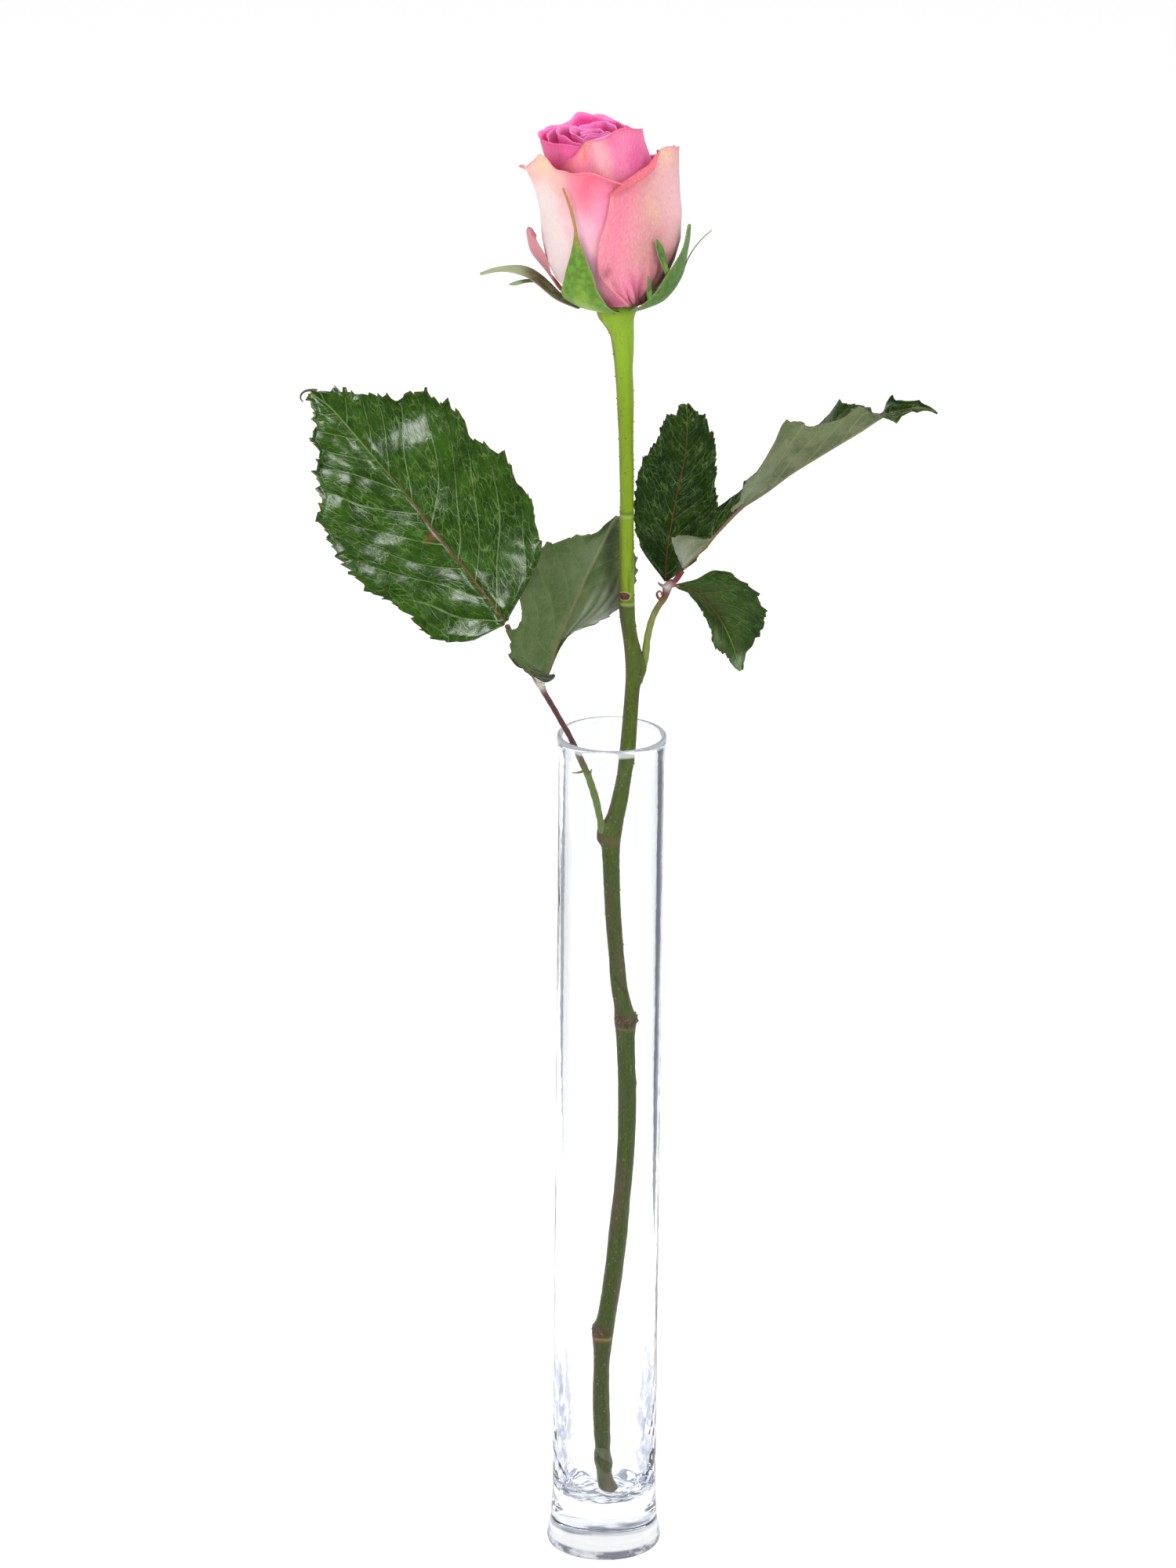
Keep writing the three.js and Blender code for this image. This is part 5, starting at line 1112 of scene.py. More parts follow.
def stem_material():
    g = Graph("stem_skin")
    pos = g.place()
    x, y, z = g.split(pos)
    zmm, xmm, ymm = g.mul(z, 1000.0), g.mul(x, 1000.0), g.mul(y, 1000.0)
    n1 = g.noise(g.vector(g.mul(x, 900.0), g.mul(y, 900.0), g.mul(z, 110.0)), 1.0, 4.0, 0.65)
    n2 = g.noise(pos, 260.0, 4.0, 0.6)
    n3 = g.noise(pos, 1500.0, 3.0, 0.65)
    # colour by height: bright at the top, olive in the middle, grey-green at the foot
    bright = (0.235, 0.385, 0.022)
    fresh = (0.180, 0.285, 0.009)
    olive = (0.072, 0.112, 0.012)
    lower = (0.036, 0.058, 0.005)
    low = (0.038, 0.050, 0.010)
    col = g.mix(g.range(zmm, 60.0, 66.0), low, lower)
    col = g.mix(g.range(zmm, 205.0, 262.0), col, olive)
    col = g.mix(g.range(g.add(zmm, g.mul(n2, 6.0)), 291.0, 297.0), col, fresh)
    col = g.mix(g.range(zmm, 340, 368), col, bright)
    dark = g.mix(0.62, col, (0.030, 0.055, 0.010))
    col = g.mix(g.mul(g.range(n1, 0.48, 0.70), g.range(zmm, 330.0, 280.0, 0.22, 0.85)), col, dark)
    light = g.mix(0.5, col, (0.20, 0.25, 0.06))
    col = g.mix(g.mul(g.range(n1, 0.46, 0.28), g.range(zmm, 330.0, 280.0, 0.10, 0.45)), col, light)
    # brownish blush on the flanks
    flank = g.noise(g.vector(g.mul(x, 240.0), g.mul(y, 240.0), g.mul(z, 30.0)), 1.0, 3.0, 0.55)
    col = g.mix(g.mul(g.range(flank, 0.47, 0.64), g.range(zmm, 330.0, 285.0, 0.0, 0.65)), col, (0.078, 0.048, 0.030))
    lent = g.range(g.cells(pos, 420.0), 0.10, 0.18, 1.0, 0.0)
    col = g.mix(g.mul(lent, 0.35), col, (0.22, 0.23, 0.10))
    grain = g.noise(g.vector(g.mul(x, 2600.0), g.mul(y, 2600.0), g.mul(z, 900.0)), 1.0, 3.0, 0.6)
    old = g.range(zmm, 300.0, 250.0)
    col = g.mix(g.mul(g.mul(g.range(grain, 0.54, 0.70), old), 0.50), col, (0.135, 0.120, 0.035))
    col = g.mix(g.mul(g.mul(g.range(grain, 0.46, 0.30), old), 0.55), col, (0.016, 0.022, 0.006))
    # scars and nodes: height, half width, colour, strength
    for (h, half, colour, amount) in ((217.6, 1.4, (0.110, 0.060, 0.036), 0.55), (163.9, 1.3, (0.050, 0.026, 0.014), 0.85), (161.3, 0.5, (0.150, 0.100, 0.060), 0.7),
                                      (67.6, 1.3, (0.060, 0.035, 0.022), 0.55), (65.0, 0.55, (0.300, 0.150, 0.055), 0.75), (316.0, 0.5, (0.045, 0.090, 0.014), 0.6), (315.0, 0.4, (0.300, 0.380, 0.120), 0.6),
                                      (289.0, 0.55, (0.260, 0.330, 0.090), 0.75), (287.8, 0.45, (0.045, 0.075, 0.014), 0.5)):
        q = g.math("DIVIDE", g.add(g.sub(zmm, h), g.mul(g.sub(n2, 0.5), 1.4)), half)
        b = g.math("EXPONENT", g.mul(g.mul(q, q), -1.0))
        col = g.mix(g.mul(b, amount), col, colour)
    # oval scar where a side shoot was cut off
    sx = g.math("DIVIDE", g.sub(xmm, 3.1), 1.75)
    sz = g.math("DIVIDE", g.sub(zmm, 291.6), 1.15)
    front = g.range(ymm, -1.2, -0.4, 1.0, 0.0)
    ring = g.add(g.mul(sx, sx), g.mul(sz, sz))
    col = g.mix(g.mul(g.range(ring, 1.1, 1.5, 1.0, 0.0), front), col, (0.30, 0.34, 0.12))
    col = g.mix(g.mul(g.range(ring, 0.75, 1.05, 1.0, 0.0), front), col, g.mix(g.range(n3, 0.45, 0.6), (0.060, 0.018, 0.014), (0.155, 0.055, 0.045)))
    # diagonal scar
    dx = g.sub(xmm, 3.2)
    line = g.math("ABSOLUTE", g.add(g.add(g.sub(zmm, 174.6), g.mul(dx, 1.45)), g.mul(g.sub(n2, 0.5), 1.2)))
    diag = g.mul(g.mul(g.range(line, 0.3, 0.9, 1.0, 0.0), g.range(g.math("ABSOLUTE", dx), 1.5, 2.2, 1.0, 0.0)), g.range(ymm, 0.2, 0.8, 1.0, 0.0))
    col = g.mix(g.mul(diag, 0.85), col, (0.035, 0.026, 0.012))
    # brownish flank on the left
    angle, _ = g.uv()
    away = g.math("ABSOLUTE", g.sub(g.add(angle, g.mul(g.sub(n2, 0.5), 0.10)), 0.555))
    col = g.mix(g.mul(g.range(away, 0.085, 0.02), g.range(n1, 0.35, 0.6, 0.25, 0.75)), col, g.mix(g.range(zmm, 290, 300), (0.080, 0.045, 0.028), (0.185, 0.100, 0.040)))
    # cut end
    col = g.mix(g.range(zmm, 15.9, 15.2), col, (0.16, 0.10, 0.045))
    h = g.add(g.mul(n1, 1.0), g.add(g.mul(n3, 0.5), g.mul(lent, 0.8)))
    bump = g.bump(h, 0.00026, 0.8)
    return g.finish(g.principled(**{"Base Color": col, "Roughness": 0.40, "Normal": bump, "Specular IOR Level": 0.25}))


def crust_material():
    g = Graph("stem_crust")
    pos = g.place()
    n = g.noise(pos, 1900.0, 4.0, 0.65)
    col = g.mix(g.range(n, 0.38, 0.62), (0.018, 0.011, 0.007), (0.145, 0.070, 0.036))
    return g.finish(g.principled(**{"Base Color": col, "Roughness": 0.7, "Normal": g.bump(n, 0.0003, 0.8)}))


def thorn_material():
    g = Graph("stem_prickle")
    pos = g.place()
    n = g.noise(pos, 2400.0, 3.0, 0.6)
    col = g.mix(g.range(n, 0.35, 0.65), (0.170, 0.230, 0.040), (0.150, 0.095, 0.040))
    return g.finish(g.principled(**{"Base Color": col, "Roughness": 0.5, "Normal": g.bump(n, 0.0001, 0.6)}))


def stalk_material(name, ramp, joint, right=False):
    """ramp: (height mm, colour) from low to high; joint: (x, z, radius) of the whitish joint in mm, its whiteness
    partly the joint's own pale skin, partly painted reflection.
    """
    g = Graph(name)
    pos = g.place()
    x, y, z = g.split(pos)
    zmm, xmm = g.mul(z, 1000.0), g.mul(x, 1000.0)
    n1 = g.noise(pos, 600.0, 3.0, 0.6)
    n2 = g.noise(pos, 1800.0, 3.0, 0.6)
    jit = g.mul(g.sub(n1, 0.5), 3.0)
    h = g.add(zmm, jit)
    col = ramp[0][1]
    for (a, ca), (b, cb) in zip(ramp[:-1], ramp[1:]):
        col = g.mix(g.range(h, a, b), col, cb)
    col = g.mix(g.mul(g.range(n2, 0.5, 0.75), 0.4), col, g.mix(0.6, col, (0.05, 0.035, 0.02)))
    for (jx, jz, jr, colour, amount) in joint:
        b = g.blob(xmm, zmm, jx, jz, jr, jr)
        col = g.mix(g.mul(b, amount), col, colour)
    bump = g.bump(g.add(n1, g.mul(n2, 0.6)), 0.00012, 0.6)
    return g.finish(g.principled(**{"Base Color": col, "Roughness": 0.36, "Normal": bump, "Specular IOR Level": 0.5}))


def sepal_material(name, green, pale, tip, blush=0.0, tip_from=0.72, rim_colour=(0.42, 0.30, 0.20)):
    g = Graph(name)
    u, v = g.uv()
    pos = g.place()
    n1 = g.noise(g.vector(g.mul(v, 26.0), g.mul(u, 7.0)), 1.0, 4.0, 0.6)
    n2 = g.noise(pos, 520.0, 4.0, 0.6)
    n3 = g.noise(pos, 2200.0, 2.0, 0.6)
    t = g.math("ABSOLUTE", g.sub(v, 0.5))
    col = g.mix(g.range(n2, 0.35, 0.66), green, tuple(0.62 * x for x in green))
    # yellow-green centre, veins fanning to the tip
    col = g.mix(g.mul(g.range(t, 0.34, 0.02), g.range(u, 0.62, 0.15)), col, pale)
    col = g.mix(g.mul(g.range(n1, 0.54, 0.7), 0.35), col, tuple(0.5 * x for x in green))
    if blush:
        col = g.mix(g.mul(g.range(g.add(n2, g.mul(u, 0.1)), 0.45, 0.62), blush), col, (0.105, 0.062, 0.045))
    col = g.mix(g.range(u, tip_from, tip_from + 0.16), col, tip)
    edge = g.range(t, 0.462, 0.490)
    col = g.mix(g.mul(edge, g.range(n2, 0.40, 0.62, 0.15, 0.75)), col, rim_colour)
    h = g.add(g.mul(n1, 1.0), g.add(g.mul(n2, 0.6), g.mul(n3, 0.3)))
    bump = g.bump(h, 0.00018, 0.7)
    return g.finish(g.principled(**{"Base Color": col, "Roughness": 0.46, "Normal": bump, "Specular IOR Level": 0.25}))


def glass_material(name="vase_clear_glass", through_weight=1.0):
    """Clear glass, slightly green in its depth, with faint unevenness; lamps shine through it."""
    g = Graph(name)
    pos = g.place()
    x, y, z = g.split(pos)
    wave = g.noise(g.vector(g.mul(x, 60.0), g.mul(y, 60.0), g.mul(z, 14.0)), 1.0, 2.0, 0.5)
    fine = g.noise(pos, 190.0, 2.0, 0.5)
    bump = g.bump(g.add(wave, g.mul(fine, 0.15)), 0.0006, 0.35)
    tint = g.mix(g.range(g.mul(z, 1000.0), 18.0, 2.0, 0.0, 1.0), (0.985, 0.992, 0.992), (0.955, 0.978, 0.982))
    zmm, xmm, ymm = g.mul(z, 1000.0), g.mul(x, 1000.0), g.mul(y, 1000.0)
    spot = g.noise(g.vector(g.mul(x, 150.0), g.mul(y, 150.0), g.mul(z, 260.0)), 1.0, 3.0, 0.6)
    tint = g.mix(g.mul(g.range(zmm, 3.6, 2.8), g.range(spot, 0.28, 0.42, 0.5, 1.0)), tint, g.mix(g.range(spot, 0.44, 0.55), (0.52, 0.54, 0.62), (0.06, 0.065, 0.09)))
    off = g.add(g.sub(g.sub(zmm, 9.2), g.mul(xmm, 0.14)), g.mul(g.sub(wave, 0.5), 1.6))
    line = g.mul(g.range(g.math("ABSOLUTE", off), 1.2, 0.5), g.range(ymm, 3.0, 0.0))
    tint = g.mix(g.mul(line, g.range(fine, 0.35, 0.60, 0.6, 1.0)), tint, (0.40, 0.43, 0.50))
    # thick uneven glass low in the tube: its edges look blue-grey and mottled from every side; the tint is partly the
    # glass's own colour in its thickness, partly painted reflection of dark surroundings
    weight = g.node("ShaderNodeLayerWeight")
    weight.inputs["Blend"].default_value = 0.5
    mottle = g.noise(g.vector(g.mul(x, 420.0), g.mul(y, 420.0), g.mul(z, 230.0)), 1.0, 3.0, 0.6)
    side = g.range(g.sub(weight.outputs["Facing"], g.range(zmm, 30.0, 70.0, 0.0, 0.17)), 0.30, 0.40)
    side = g.mul(side, g.mul(g.range(zmm, 72.0, 54.0), g.range(zmm, 17.0, 21.0)))
    tint = g.mix(g.mul(side, g.range(mottle, 0.40, 0.58, 0.14, 1.0)), tint, (0.34, 0.37, 0.50))
    # a lip that lets less light through, with a pale tint, is a painted highlight along the rim
    if through_weight < 1.0:
        tint = g.mix(1.0, tint, (0.93, 0.95, 1.0), "MULTIPLY")
    glass = g.principled(**{"Base Color": tint, "Roughness": 0.0, "Normal": bump, "IOR": 1.5, "Transmission Weight": through_weight, "Specular IOR Level": 0.5})
    clear = g.node("ShaderNodeBsdfTransparent")
    g.put(clear.inputs["Color"], (0.97, 0.98, 0.98))
    path = g.node("ShaderNodeLightPath")
    m = g.node("ShaderNodeMixShader")
    g.tree.links.new(path.outputs["Is Shadow Ray"], m.inputs[0])
    g.tree.links.new(glass, m.inputs[1])
    g.tree.links.new(clear.outputs[0], m.inputs[2])
    return g.finish(m.outputs[0])


def plain(name, colour, rough=0.8, emit=0.0):
    g = Graph(name)
    pos = g.place()
    n = g.noise(pos, 3.0, 3.0, 0.5)
    col = g.mix(g.mul(n, 0.02), colour, tuple(0.97 * c for c in colour))
    v = {"Base Color": col, "Roughness": rough}
    if emit:
        v["Emission Color"] = (1, 1, 1)
        v["Emission Strength"] = emit
    return g.finish(g.principled(**v))

# --------------------------------------------------------------------- the vase

VASE_PROFILE = [
    [0, 0], [15.4, 0], [16.3, 0.5], [16.6, 1.6], [16.5, 3.2], [15.9, 5.6], [15.45, 8.5], [15.4, 11.5], [15.15, 14.5],
    [15.05, 20], [15.05, 60], [15.05, 120], [15.05, 180], [15.05, 241], [15.15, 245], [15.5, 248.1], [15.65, 249], [15.4, 249.8],
    [14.9, 250], [14.3, 249.7], [13.8, 248.7], [13.4, 246], [13.25, 242], [13.25, 180], [13.25, 120], [13.25, 70], [13.25, 34],
    [13, 25], [12.3, 19.8], [10.6, 16.6], [7.6, 15.2], [4, 14.3], [0, 14.2],
]


def make_vase():
    prof = chaikin(VASE_PROFILE, 2)
    # rings close together low down, where the inside is uneven
    fine = [prof[:1]]
    for a, b in zip(prof[:-1], prof[1:]):
        steps = int(math.ceil(np.linalg.norm(b - a) / 1.1)) if max(a[1], b[1]) < 72 else 1
        fine.append(a + (b - a) * (np.arange(1, steps + 1) / steps)[:, None])
    prof = np.concatenate(fine)
    n = 160
    w = 2 * np.pi * np.arange(n) / n
    ring = prof[1:-1]
    r, z = ring[:, 0][:, None], ring[:, 1][:, None]
    # blown glass: the wall wanders by a few hundredths of a millimetre
    wob = 1 + 0.0012 * np.sin(2 * w[None, :] + 0.6 + z * 0.006) + 0.0009 * np.sin(3 * w[None, :] - 1.1 - z * 0.011)
    top = int(np.argmax(ring[:, 1]))
    inner = smooth(np.arange(len(ring)), top, top + 12)[:, None]
    wob = wob + inner * 0.0022 * np.sin(w[None, :] * 2 + 2.1 + z * 0.017) * smooth(z, 14, 40)
    # uneven glass where the bottom was closed
    low = inner * smooth(z, 14.3, 16) * (1 - smooth(z, 26, 44))
    wob = wob + low * (0.006 * np.sin(4 * w[None, :] + 0.35 * z) + 0.005 * np.sin(7 * w[None, :] - 0.55 * z + 1.3) + 0.003 * np.sin(11 * w[None, :] + 0.9 * z))
    # small dents, deepest low in the tube
    dents = inner * smooth(z, 14.3, 17) * (1 - smooth(z, 30, 62)) * (0.2 + 0.8 * np.cos(w)[None, :] ** 2)
    wob = wob + dents * 0.0042 * waves(np.stack([np.cos(w), np.sin(w)]).sum(0)[None, :] * 5.5 + z * 0.05, z / 2.6 + np.sin(w)[None, :] * 4.0, 91, 9, 0.5, 1.6)
    P = np.stack([r * wob * np.cos(w)[None, :], r * wob * np.sin(w)[None, :], z * np.ones_like(w)[None, :]], -1)
    m = len(ring)
    k = np.arange(m * n).reshape(m, n)
    nx = np.roll(k, -1, 1)
    faces = np.stack([k[:-1], nx[:-1], nx[1:], k[1:]], -1).reshape(-1, 4).tolist()
    verts = np.concatenate([P.reshape(-1, 3), [[0, 0, prof[0, 1]], [0, 0, prof[-1, 1]]]])
    c0, c1 = m * n, m * n + 1
    for j in range(n):
        faces.append([int(k[0, (j + 1) % n]), int(k[0, j]), c0])
        faces.append([int(k[-1, j]), int(k[-1, (j + 1) % n]), c1])
    # faces of the lip get the milky lip material, a painted highlight along the rim
    high = [1 if float(np.mean([verts[i][2] for i in f])) > 247.4 else 0 for f in faces]
    obj = mesh_object("vase_surface", verts, faces, [glass_material(), glass_material("vase_glass_lip_painted_highlight", 0.74)], high)
    return place(obj, "vase_glass", "vase")


make_vase()

# --------------------------------------------------------------------- the stem

STEM_BUMPS = [
    # height, angle in degrees, how far it stands out, spread up and down, spread around in degrees
    (219.6, 192, 1.75, 3.0, 34), (217.4, 214, 0.5, 1.1, 62), (269.2, -3, 1.3, 3.4, 42), (164.0, 0, 0.6, 0.9, 62),
    (162.6, -60, 0.3, 0.7, 50), (67.5, 180, 0.5, 1.2, 52), (65.6, -110, 0.2, 0.8, 70), (291.2, -103, 0.6, 1.25, 44), (289.2, -95, 0.28, 0.7, 60),
    (316.0, -90, 0.10, 0.5, 200), (144.4, -4, 0.22, 1.2, 44), (174.6, -120, 0.16, 0.9, 40),
]


def stem_radius(t, w, r, C):
    z = C[:, 2][:, None]
    out = r.copy()
    for (h, a, amount, sz, sa) in STEM_BUMPS:
        da = (np.degrees(w) - a + 180) % 360 - 180
        out = out + amount * np.exp(-((z - h) / sz) ** 2 - (da / sa) ** 2)
    rng = np.random.default_rng(11)
    for _ in range(90):
        h = rng.uniform(30, 368)
        a = rng.uniform(-180, 180)
        amount = rng.uniform(0.06, 0.20) * (1.0 if h > 250 else 0.5)
        da = (np.degrees(w) - a + 180) % 360 - 180
        out = out + amount * np.exp(-((z - h) / 0.55) ** 2 - (da / 13) ** 2)
    ridge = 0.045 * np.sin(5 * w + z * 0.02) + 0.03 * np.sin(3 * w - z * 0.05 + 1) + 0.03 * np.sin(z * 0.33 + 2 * w)
    # end where the shears cut it
    return out + ridge * smooth(z, 15, 22) * (1 - smooth(z, 366, 372))


stem_rows = STEM + [
    [0.2, 0, 376.6, 5.8], [0.2, 0, 378, 5.4], [0.2, 0, 379.3, 4.6], [0.2, 0, 380.2, 3.5], [0.2, 0, 380.8, 2], [0.2, 0, 381, 0.8],
]
STEM_MAT = stem_material()


def prickles():
    """Small blunt prickles, leaning down a little, with their roots in the skin."""
    rng = np.random.default_rng(29)
    R = through(STEM, np.linspace(0, 1, 900))
    out = []
    for k in range(120):
        h = rng.uniform(287, 371) if k < 92 else rng.uniform(180, 287)
        a = (0.0 if rng.random() < 0.5 else math.pi) + rng.normal(0, 0.55) if k % 5 else rng.uniform(-math.pi, math.pi)
        i = int(np.argmin(abs(R[:, 2] - h)))
        c, r = R[i, :3], R[i, 3]
        o = np.array([math.cos(a), math.sin(a), 0.0])
        size = rng.uniform(0.20, 0.46)
        root, tip = c + o * (r - 0.1), c + o * (r + size) - np.array([0, 0, 0.35 * size])
        rows = [[*(root + (tip - root) * t), w] for t, w in ((0, 0.26), (0.35, 0.17), (0.7, 0.09), (1.0, 0.03))]
        out.append(tube_data(rows, 7, 4))
    return out


sv, sf, ss, su = tube_data(stem_rows, 56, 640, stem_radius)


def crust():
    """Rough brown bits on the old nodes."""
    rng = np.random.default_rng(51)
    R = through(STEM, np.linspace(0, 1, 900))
    out = []
    for (h0, spread, a0, a1, count) in ((164.2, 1.5, -150, 45, 34), (67.4, 1.1, 140, 300, 20)):
        for _ in range(count):
            h, a = h0 + rng.normal(0, 0.55) * spread, math.radians(rng.uniform(a0, a1))
            i = int(np.argmin(abs(R[:, 2] - h)))
            c, r = R[i, :3], R[i, 3]
            o = np.array([math.cos(a), math.sin(a), 0.0])
            size, w = rng.uniform(0.35, 0.95), rng.uniform(0.28, 0.60)
            root, tip = c + o * (r - 0.1), c + o * (r + size) + np.array([0, 0, rng.uniform(-0.4, 0.4)])
            out.append(tube_data([[*(root + (tip - root) * t), w * k] for t, k in ((0, 1.1), (0.4, 0.95), (0.75, 0.7), (1.0, 0.25))], 7, 5))
    return out


tv, tf, ts, tu = join(prickles())
kv, kf, ks, ku = join(crust())
v, f, s, uvq = join([(sv, sf, np.zeros(len(sf), int), su), (tv, tf, np.ones(len(tf), int), tu), (kv, kf, np.full(len(kf), 2), ku)])
place(mesh_object("stem_surface", v, f, [STEM_MAT, thorn_material(), crust_material()], s, uvq), "stem_green", "stem")


def groove(depth, at=-90.0):
    def radial(t, w, r, C):
        da = (np.degrees(w) - at + 180) % 360 - 180
        z = C[:, 2][:, None]
        return r * (1 - depth * np.exp(-(da / 38) ** 2)) + 0.04 * np.sin(z * 1.9 + w * 2) * r
    return radial


# the whitish blob at the left leaf's joint is partly its own pale skin, partly painted reflection
LEFT_STALK_MAT = stalk_material("leaf_left_stalk_skin", [
    (222, (0.100, 0.140, 0.032)), (238, (0.108, 0.150, 0.032)), (243, (0.110, 0.085, 0.045)), (250, (0.085, 0.035, 0.035)),
    (262, (0.095, 0.034, 0.034)), (270, (0.13, 0.06, 0.045)), (286, (0.15, 0.070, 0.040)),
], [(-20.3, 267.6, 2.1, (0.50, 0.46, 0.40), 0.95), (-30.0, 286.5, 1.2, (0.22, 0.12, 0.07), 0.5)])
# pale grey flap over the joint: partly its own pale skin, partly painted reflection
FLAP_MAT = leaf_under("leaf_left_joint_skin_and_painted_sheen", a=(0.36, 0.37, 0.35), b=(0.50, 0.51, 0.49), lines=0.2, rough=0.35, net=0.2)
FLAP_DARK = leaf_under("leaf_left_joint_dark", a=(0.030, 0.050, 0.022), b=(0.055, 0.080, 0.040), lines=0.2, rough=0.45, net=0.2)


def flap(table, thick, seed):
    us, vs = np.linspace(0, 1, 41), np.linspace(-1, 1, 13)
    Q, _, _ = blade_grid(table, 0.1, us, vs)
    Q = Q + normals(Q) * (0.22 * waves(us[:, None] * 3, vs[None, :] * 1.2, seed, 4, 0.4, 1.2))[..., None]
    UV = np.stack(np.broadcast_arrays(us[:, None], (vs[None, :] + 1) / 2), -1)
    return shell_data(Q, thick * np.ones((len(us), len(vs))), UV)


JOINT_PALE = [[-19.7, -9.2, 266.6, -20.2, -9.2, 266.8, -19.2, -9.4, 266.8], [-20.5, -9.7, 268.8, -22.2, -9.5, 269.9, -18.9, -9.9, 268.6],
              [-21.0, -9.8, 270.6, -23.4, -9.4, 272.0, -18.3, -9.9, 270.0], [-21.4, -9.7, 271.8, -23.0, -9.5, 272.6, -19.4, -9.8, 271.0]]
JOINT_DARK = [[-28.9, -10.4, 276.6, -28.8, -10.4, 277.1, -29.1, -10.4, 276.3], [-26.4, -10.7, 274.7, -25.9, -10.7, 275.6, -27.0, -10.7, 273.6], [-24.4, -10.9, 273.2, -23.8, -10.9, 274.2, -24.6, -10.9, 272.6],
              [-22.4, -11.0, 272.0, -21.9, -11.0, 273.0, -23.0, -11.0, 270.8], [-20.5, -11.0, 270.9, -20.2, -11.0, 272.0, -20.6, -11.0, 270.2], [-18.6, -11.0, 270.2, -18.5, -11.0, 271.2, -18.9, -11.0, 268.9],
              [-17.0, -10.9, 270.4, -17.2, -10.9, 271.0, -16.9, -10.9, 269.8], [-16.2, -10.8, 271.2, -16.4, -10.8, 271.3, -16.1, -10.8, 271.0]]
parts = [tube_data([[-1.6, 0.9, 217.2, 1.5], [-2.25, 0.6, 220.6, 1.35]] + LEFT_STALK, 20, 240, groove(0.16)), tube_data(STIPULE_LEFT, 12, 30), tube_data(STIPULE_LEFT_UP, 12, 24)]
parts = [(v, f, np.zeros(len(f), int), u) for v, f, s, u in parts]
for k, table in ((1, JOINT_PALE), (2, JOINT_DARK)):
    fv, ff, fs, fu = flap(table, 0.35, 60 + k)
    parts.append((fv, ff.tolist(), np.full(len(ff), k), fu))
v, f, s, uvq = join(parts)
obj = mesh_object("leaf_left_stalk_surface", v, f, [LEFT_STALK_MAT, FLAP_MAT, FLAP_DARK], s, uvq, 60)
add_layer(obj.data, "Veins", np.full((len(v), 2), 0.5))
place(obj, "leaf_stalk", "leaf_left_stalk")

# the whitish blob at the right leaf's joint is partly its own pale skin, partly painted reflection
RIGHT_STALK_MAT = stalk_material("leaf_right_stalk_skin", [
    (272, (0.175, 0.230, 0.050)), (283, (0.190, 0.215, 0.050)), (288.0, (0.150, 0.120, 0.045)), (290.5, (0.150, 0.035, 0.032)), (292.0, (0.20, 0.12, 0.10)), (294.2, (0.180, 0.030, 0.034)), (298, (0.170, 0.022, 0.030)),
], [(15.3, 292.6, 1.3, (0.46, 0.44, 0.42), 0.85)])
CURL = [[14.6, 4.2, 288.4, 0.45], [13.4, 3.6, 288.9, 0.42], [12.5, 3.2, 289.9, 0.38], [12.4, 3.0, 291.0, 0.34], [13.1, 2.9, 291.6, 0.30], [13.7, 3.0, 291.0, 0.26], [13.4, 3.1, 290.3, 0.16]]
SPUR = [[15.4, 4.6, 292.0, 0.7], [14.2, 4.3, 292.6, 0.55], [13.2, 4.1, 293.2, 0.35], [12.6, 4.0, 293.9, 0.15]]
v, f, s, uvq = join([tube_data([[7.3, 1.2, 265.0, 1.2], [8.5, 1.4, 269.6, 1.25]] + RIGHT_STALK, 20, 190, groove(0.14)), tube_data(CURL, 10, 36), tube_data(SPUR, 10, 18), tube_data([[15.6, 4.9, 292.3, 0.8], [16.6, 5.1, 292.5, 0.55], [17.7, 5.2, 292.5, 0.45], [18.6, 5.1, 292.4, 0.35]], 10, 18)])
place(mesh_object("leaf_right_stalk_surface", v, f, [RIGHT_STALK_MAT], s, uvq), "leaf_stalk", "leaf_right_stalk")

# ------------------------------------------------------------------- the leaflets

VIEW = np.array([0.0, -math.cos(math.radians(19.7)), math.sin(math.radians(19.7))])


def facing(table, v):
    """+1 if the grid's normal faces the front at this side of the midrib, else -1."""
    us, vs = np.linspace(0, 1, 21), np.linspace(-1, 1, 21)
    P, _, _ = blade_grid(table, 0.0, us, vs)
    N = normals(P)
    j = int(round((v + 1) / 2 * 20))
    return 1 if N[8:13, j].mean(0).dot(VIEW) > 0 else -1


SILVER = (0.42, 0.47, 0.40)
LEAF_UP = leaf_upper("leaf_upper_side", deep=(0.009, 0.033, 0.0008), mid=(0.025, 0.074, 0.0022), gloss=0.17, swell=0.24, spots=(
    (0.37, 0.47, 0.012, 0.016, (0.20, 0.055, 0.022), 0.85), (0.36, 0.44, 0.010, 0.02, (0.16, 0.05, 0.02), 0.7),
    (0.70, 0.45, 0.22, 0.10, (0.030, 0.080, 0.004), 0.3), (0.64, 0.37, 0.19, 0.055, (0.007, 0.027, 0.0004), 0.8)))
LEAF_UP_RIGHT = leaf_upper("leaf_upper_side_young", deep=(0.004, 0.017, 0.0006), mid=(0.012, 0.034, 0.0016), gloss=0.24, shine=0.29, swell=0.25, red_to=0.95, net=0.9, laterals=0.45, rib_width=0.10)
LEAF_UP_LOW = leaf_upper("leaf_upper_side_dull", deep=(0.009, 0.030, 0.0010), mid=(0.021, 0.055, 0.0022), warm=0.15, gloss=0.46, shine=0.18, swell=0.2, net=0.6, laterals=0.25, rib_width=0.10,
                         spots=((0.93, 0.5, 0.06, 0.5, (0.22, 0.31, 0.21), 0.9), (0.60, 0.12, 0.10, 0.10, (0.10, 0.16, 0.06), 0.5), (0.32, 0.45, 0.13, 0.16, (0.055, 0.060, 0.022), 0.5)))
LEAF_DOWN = leaf_under("leaf_underside")
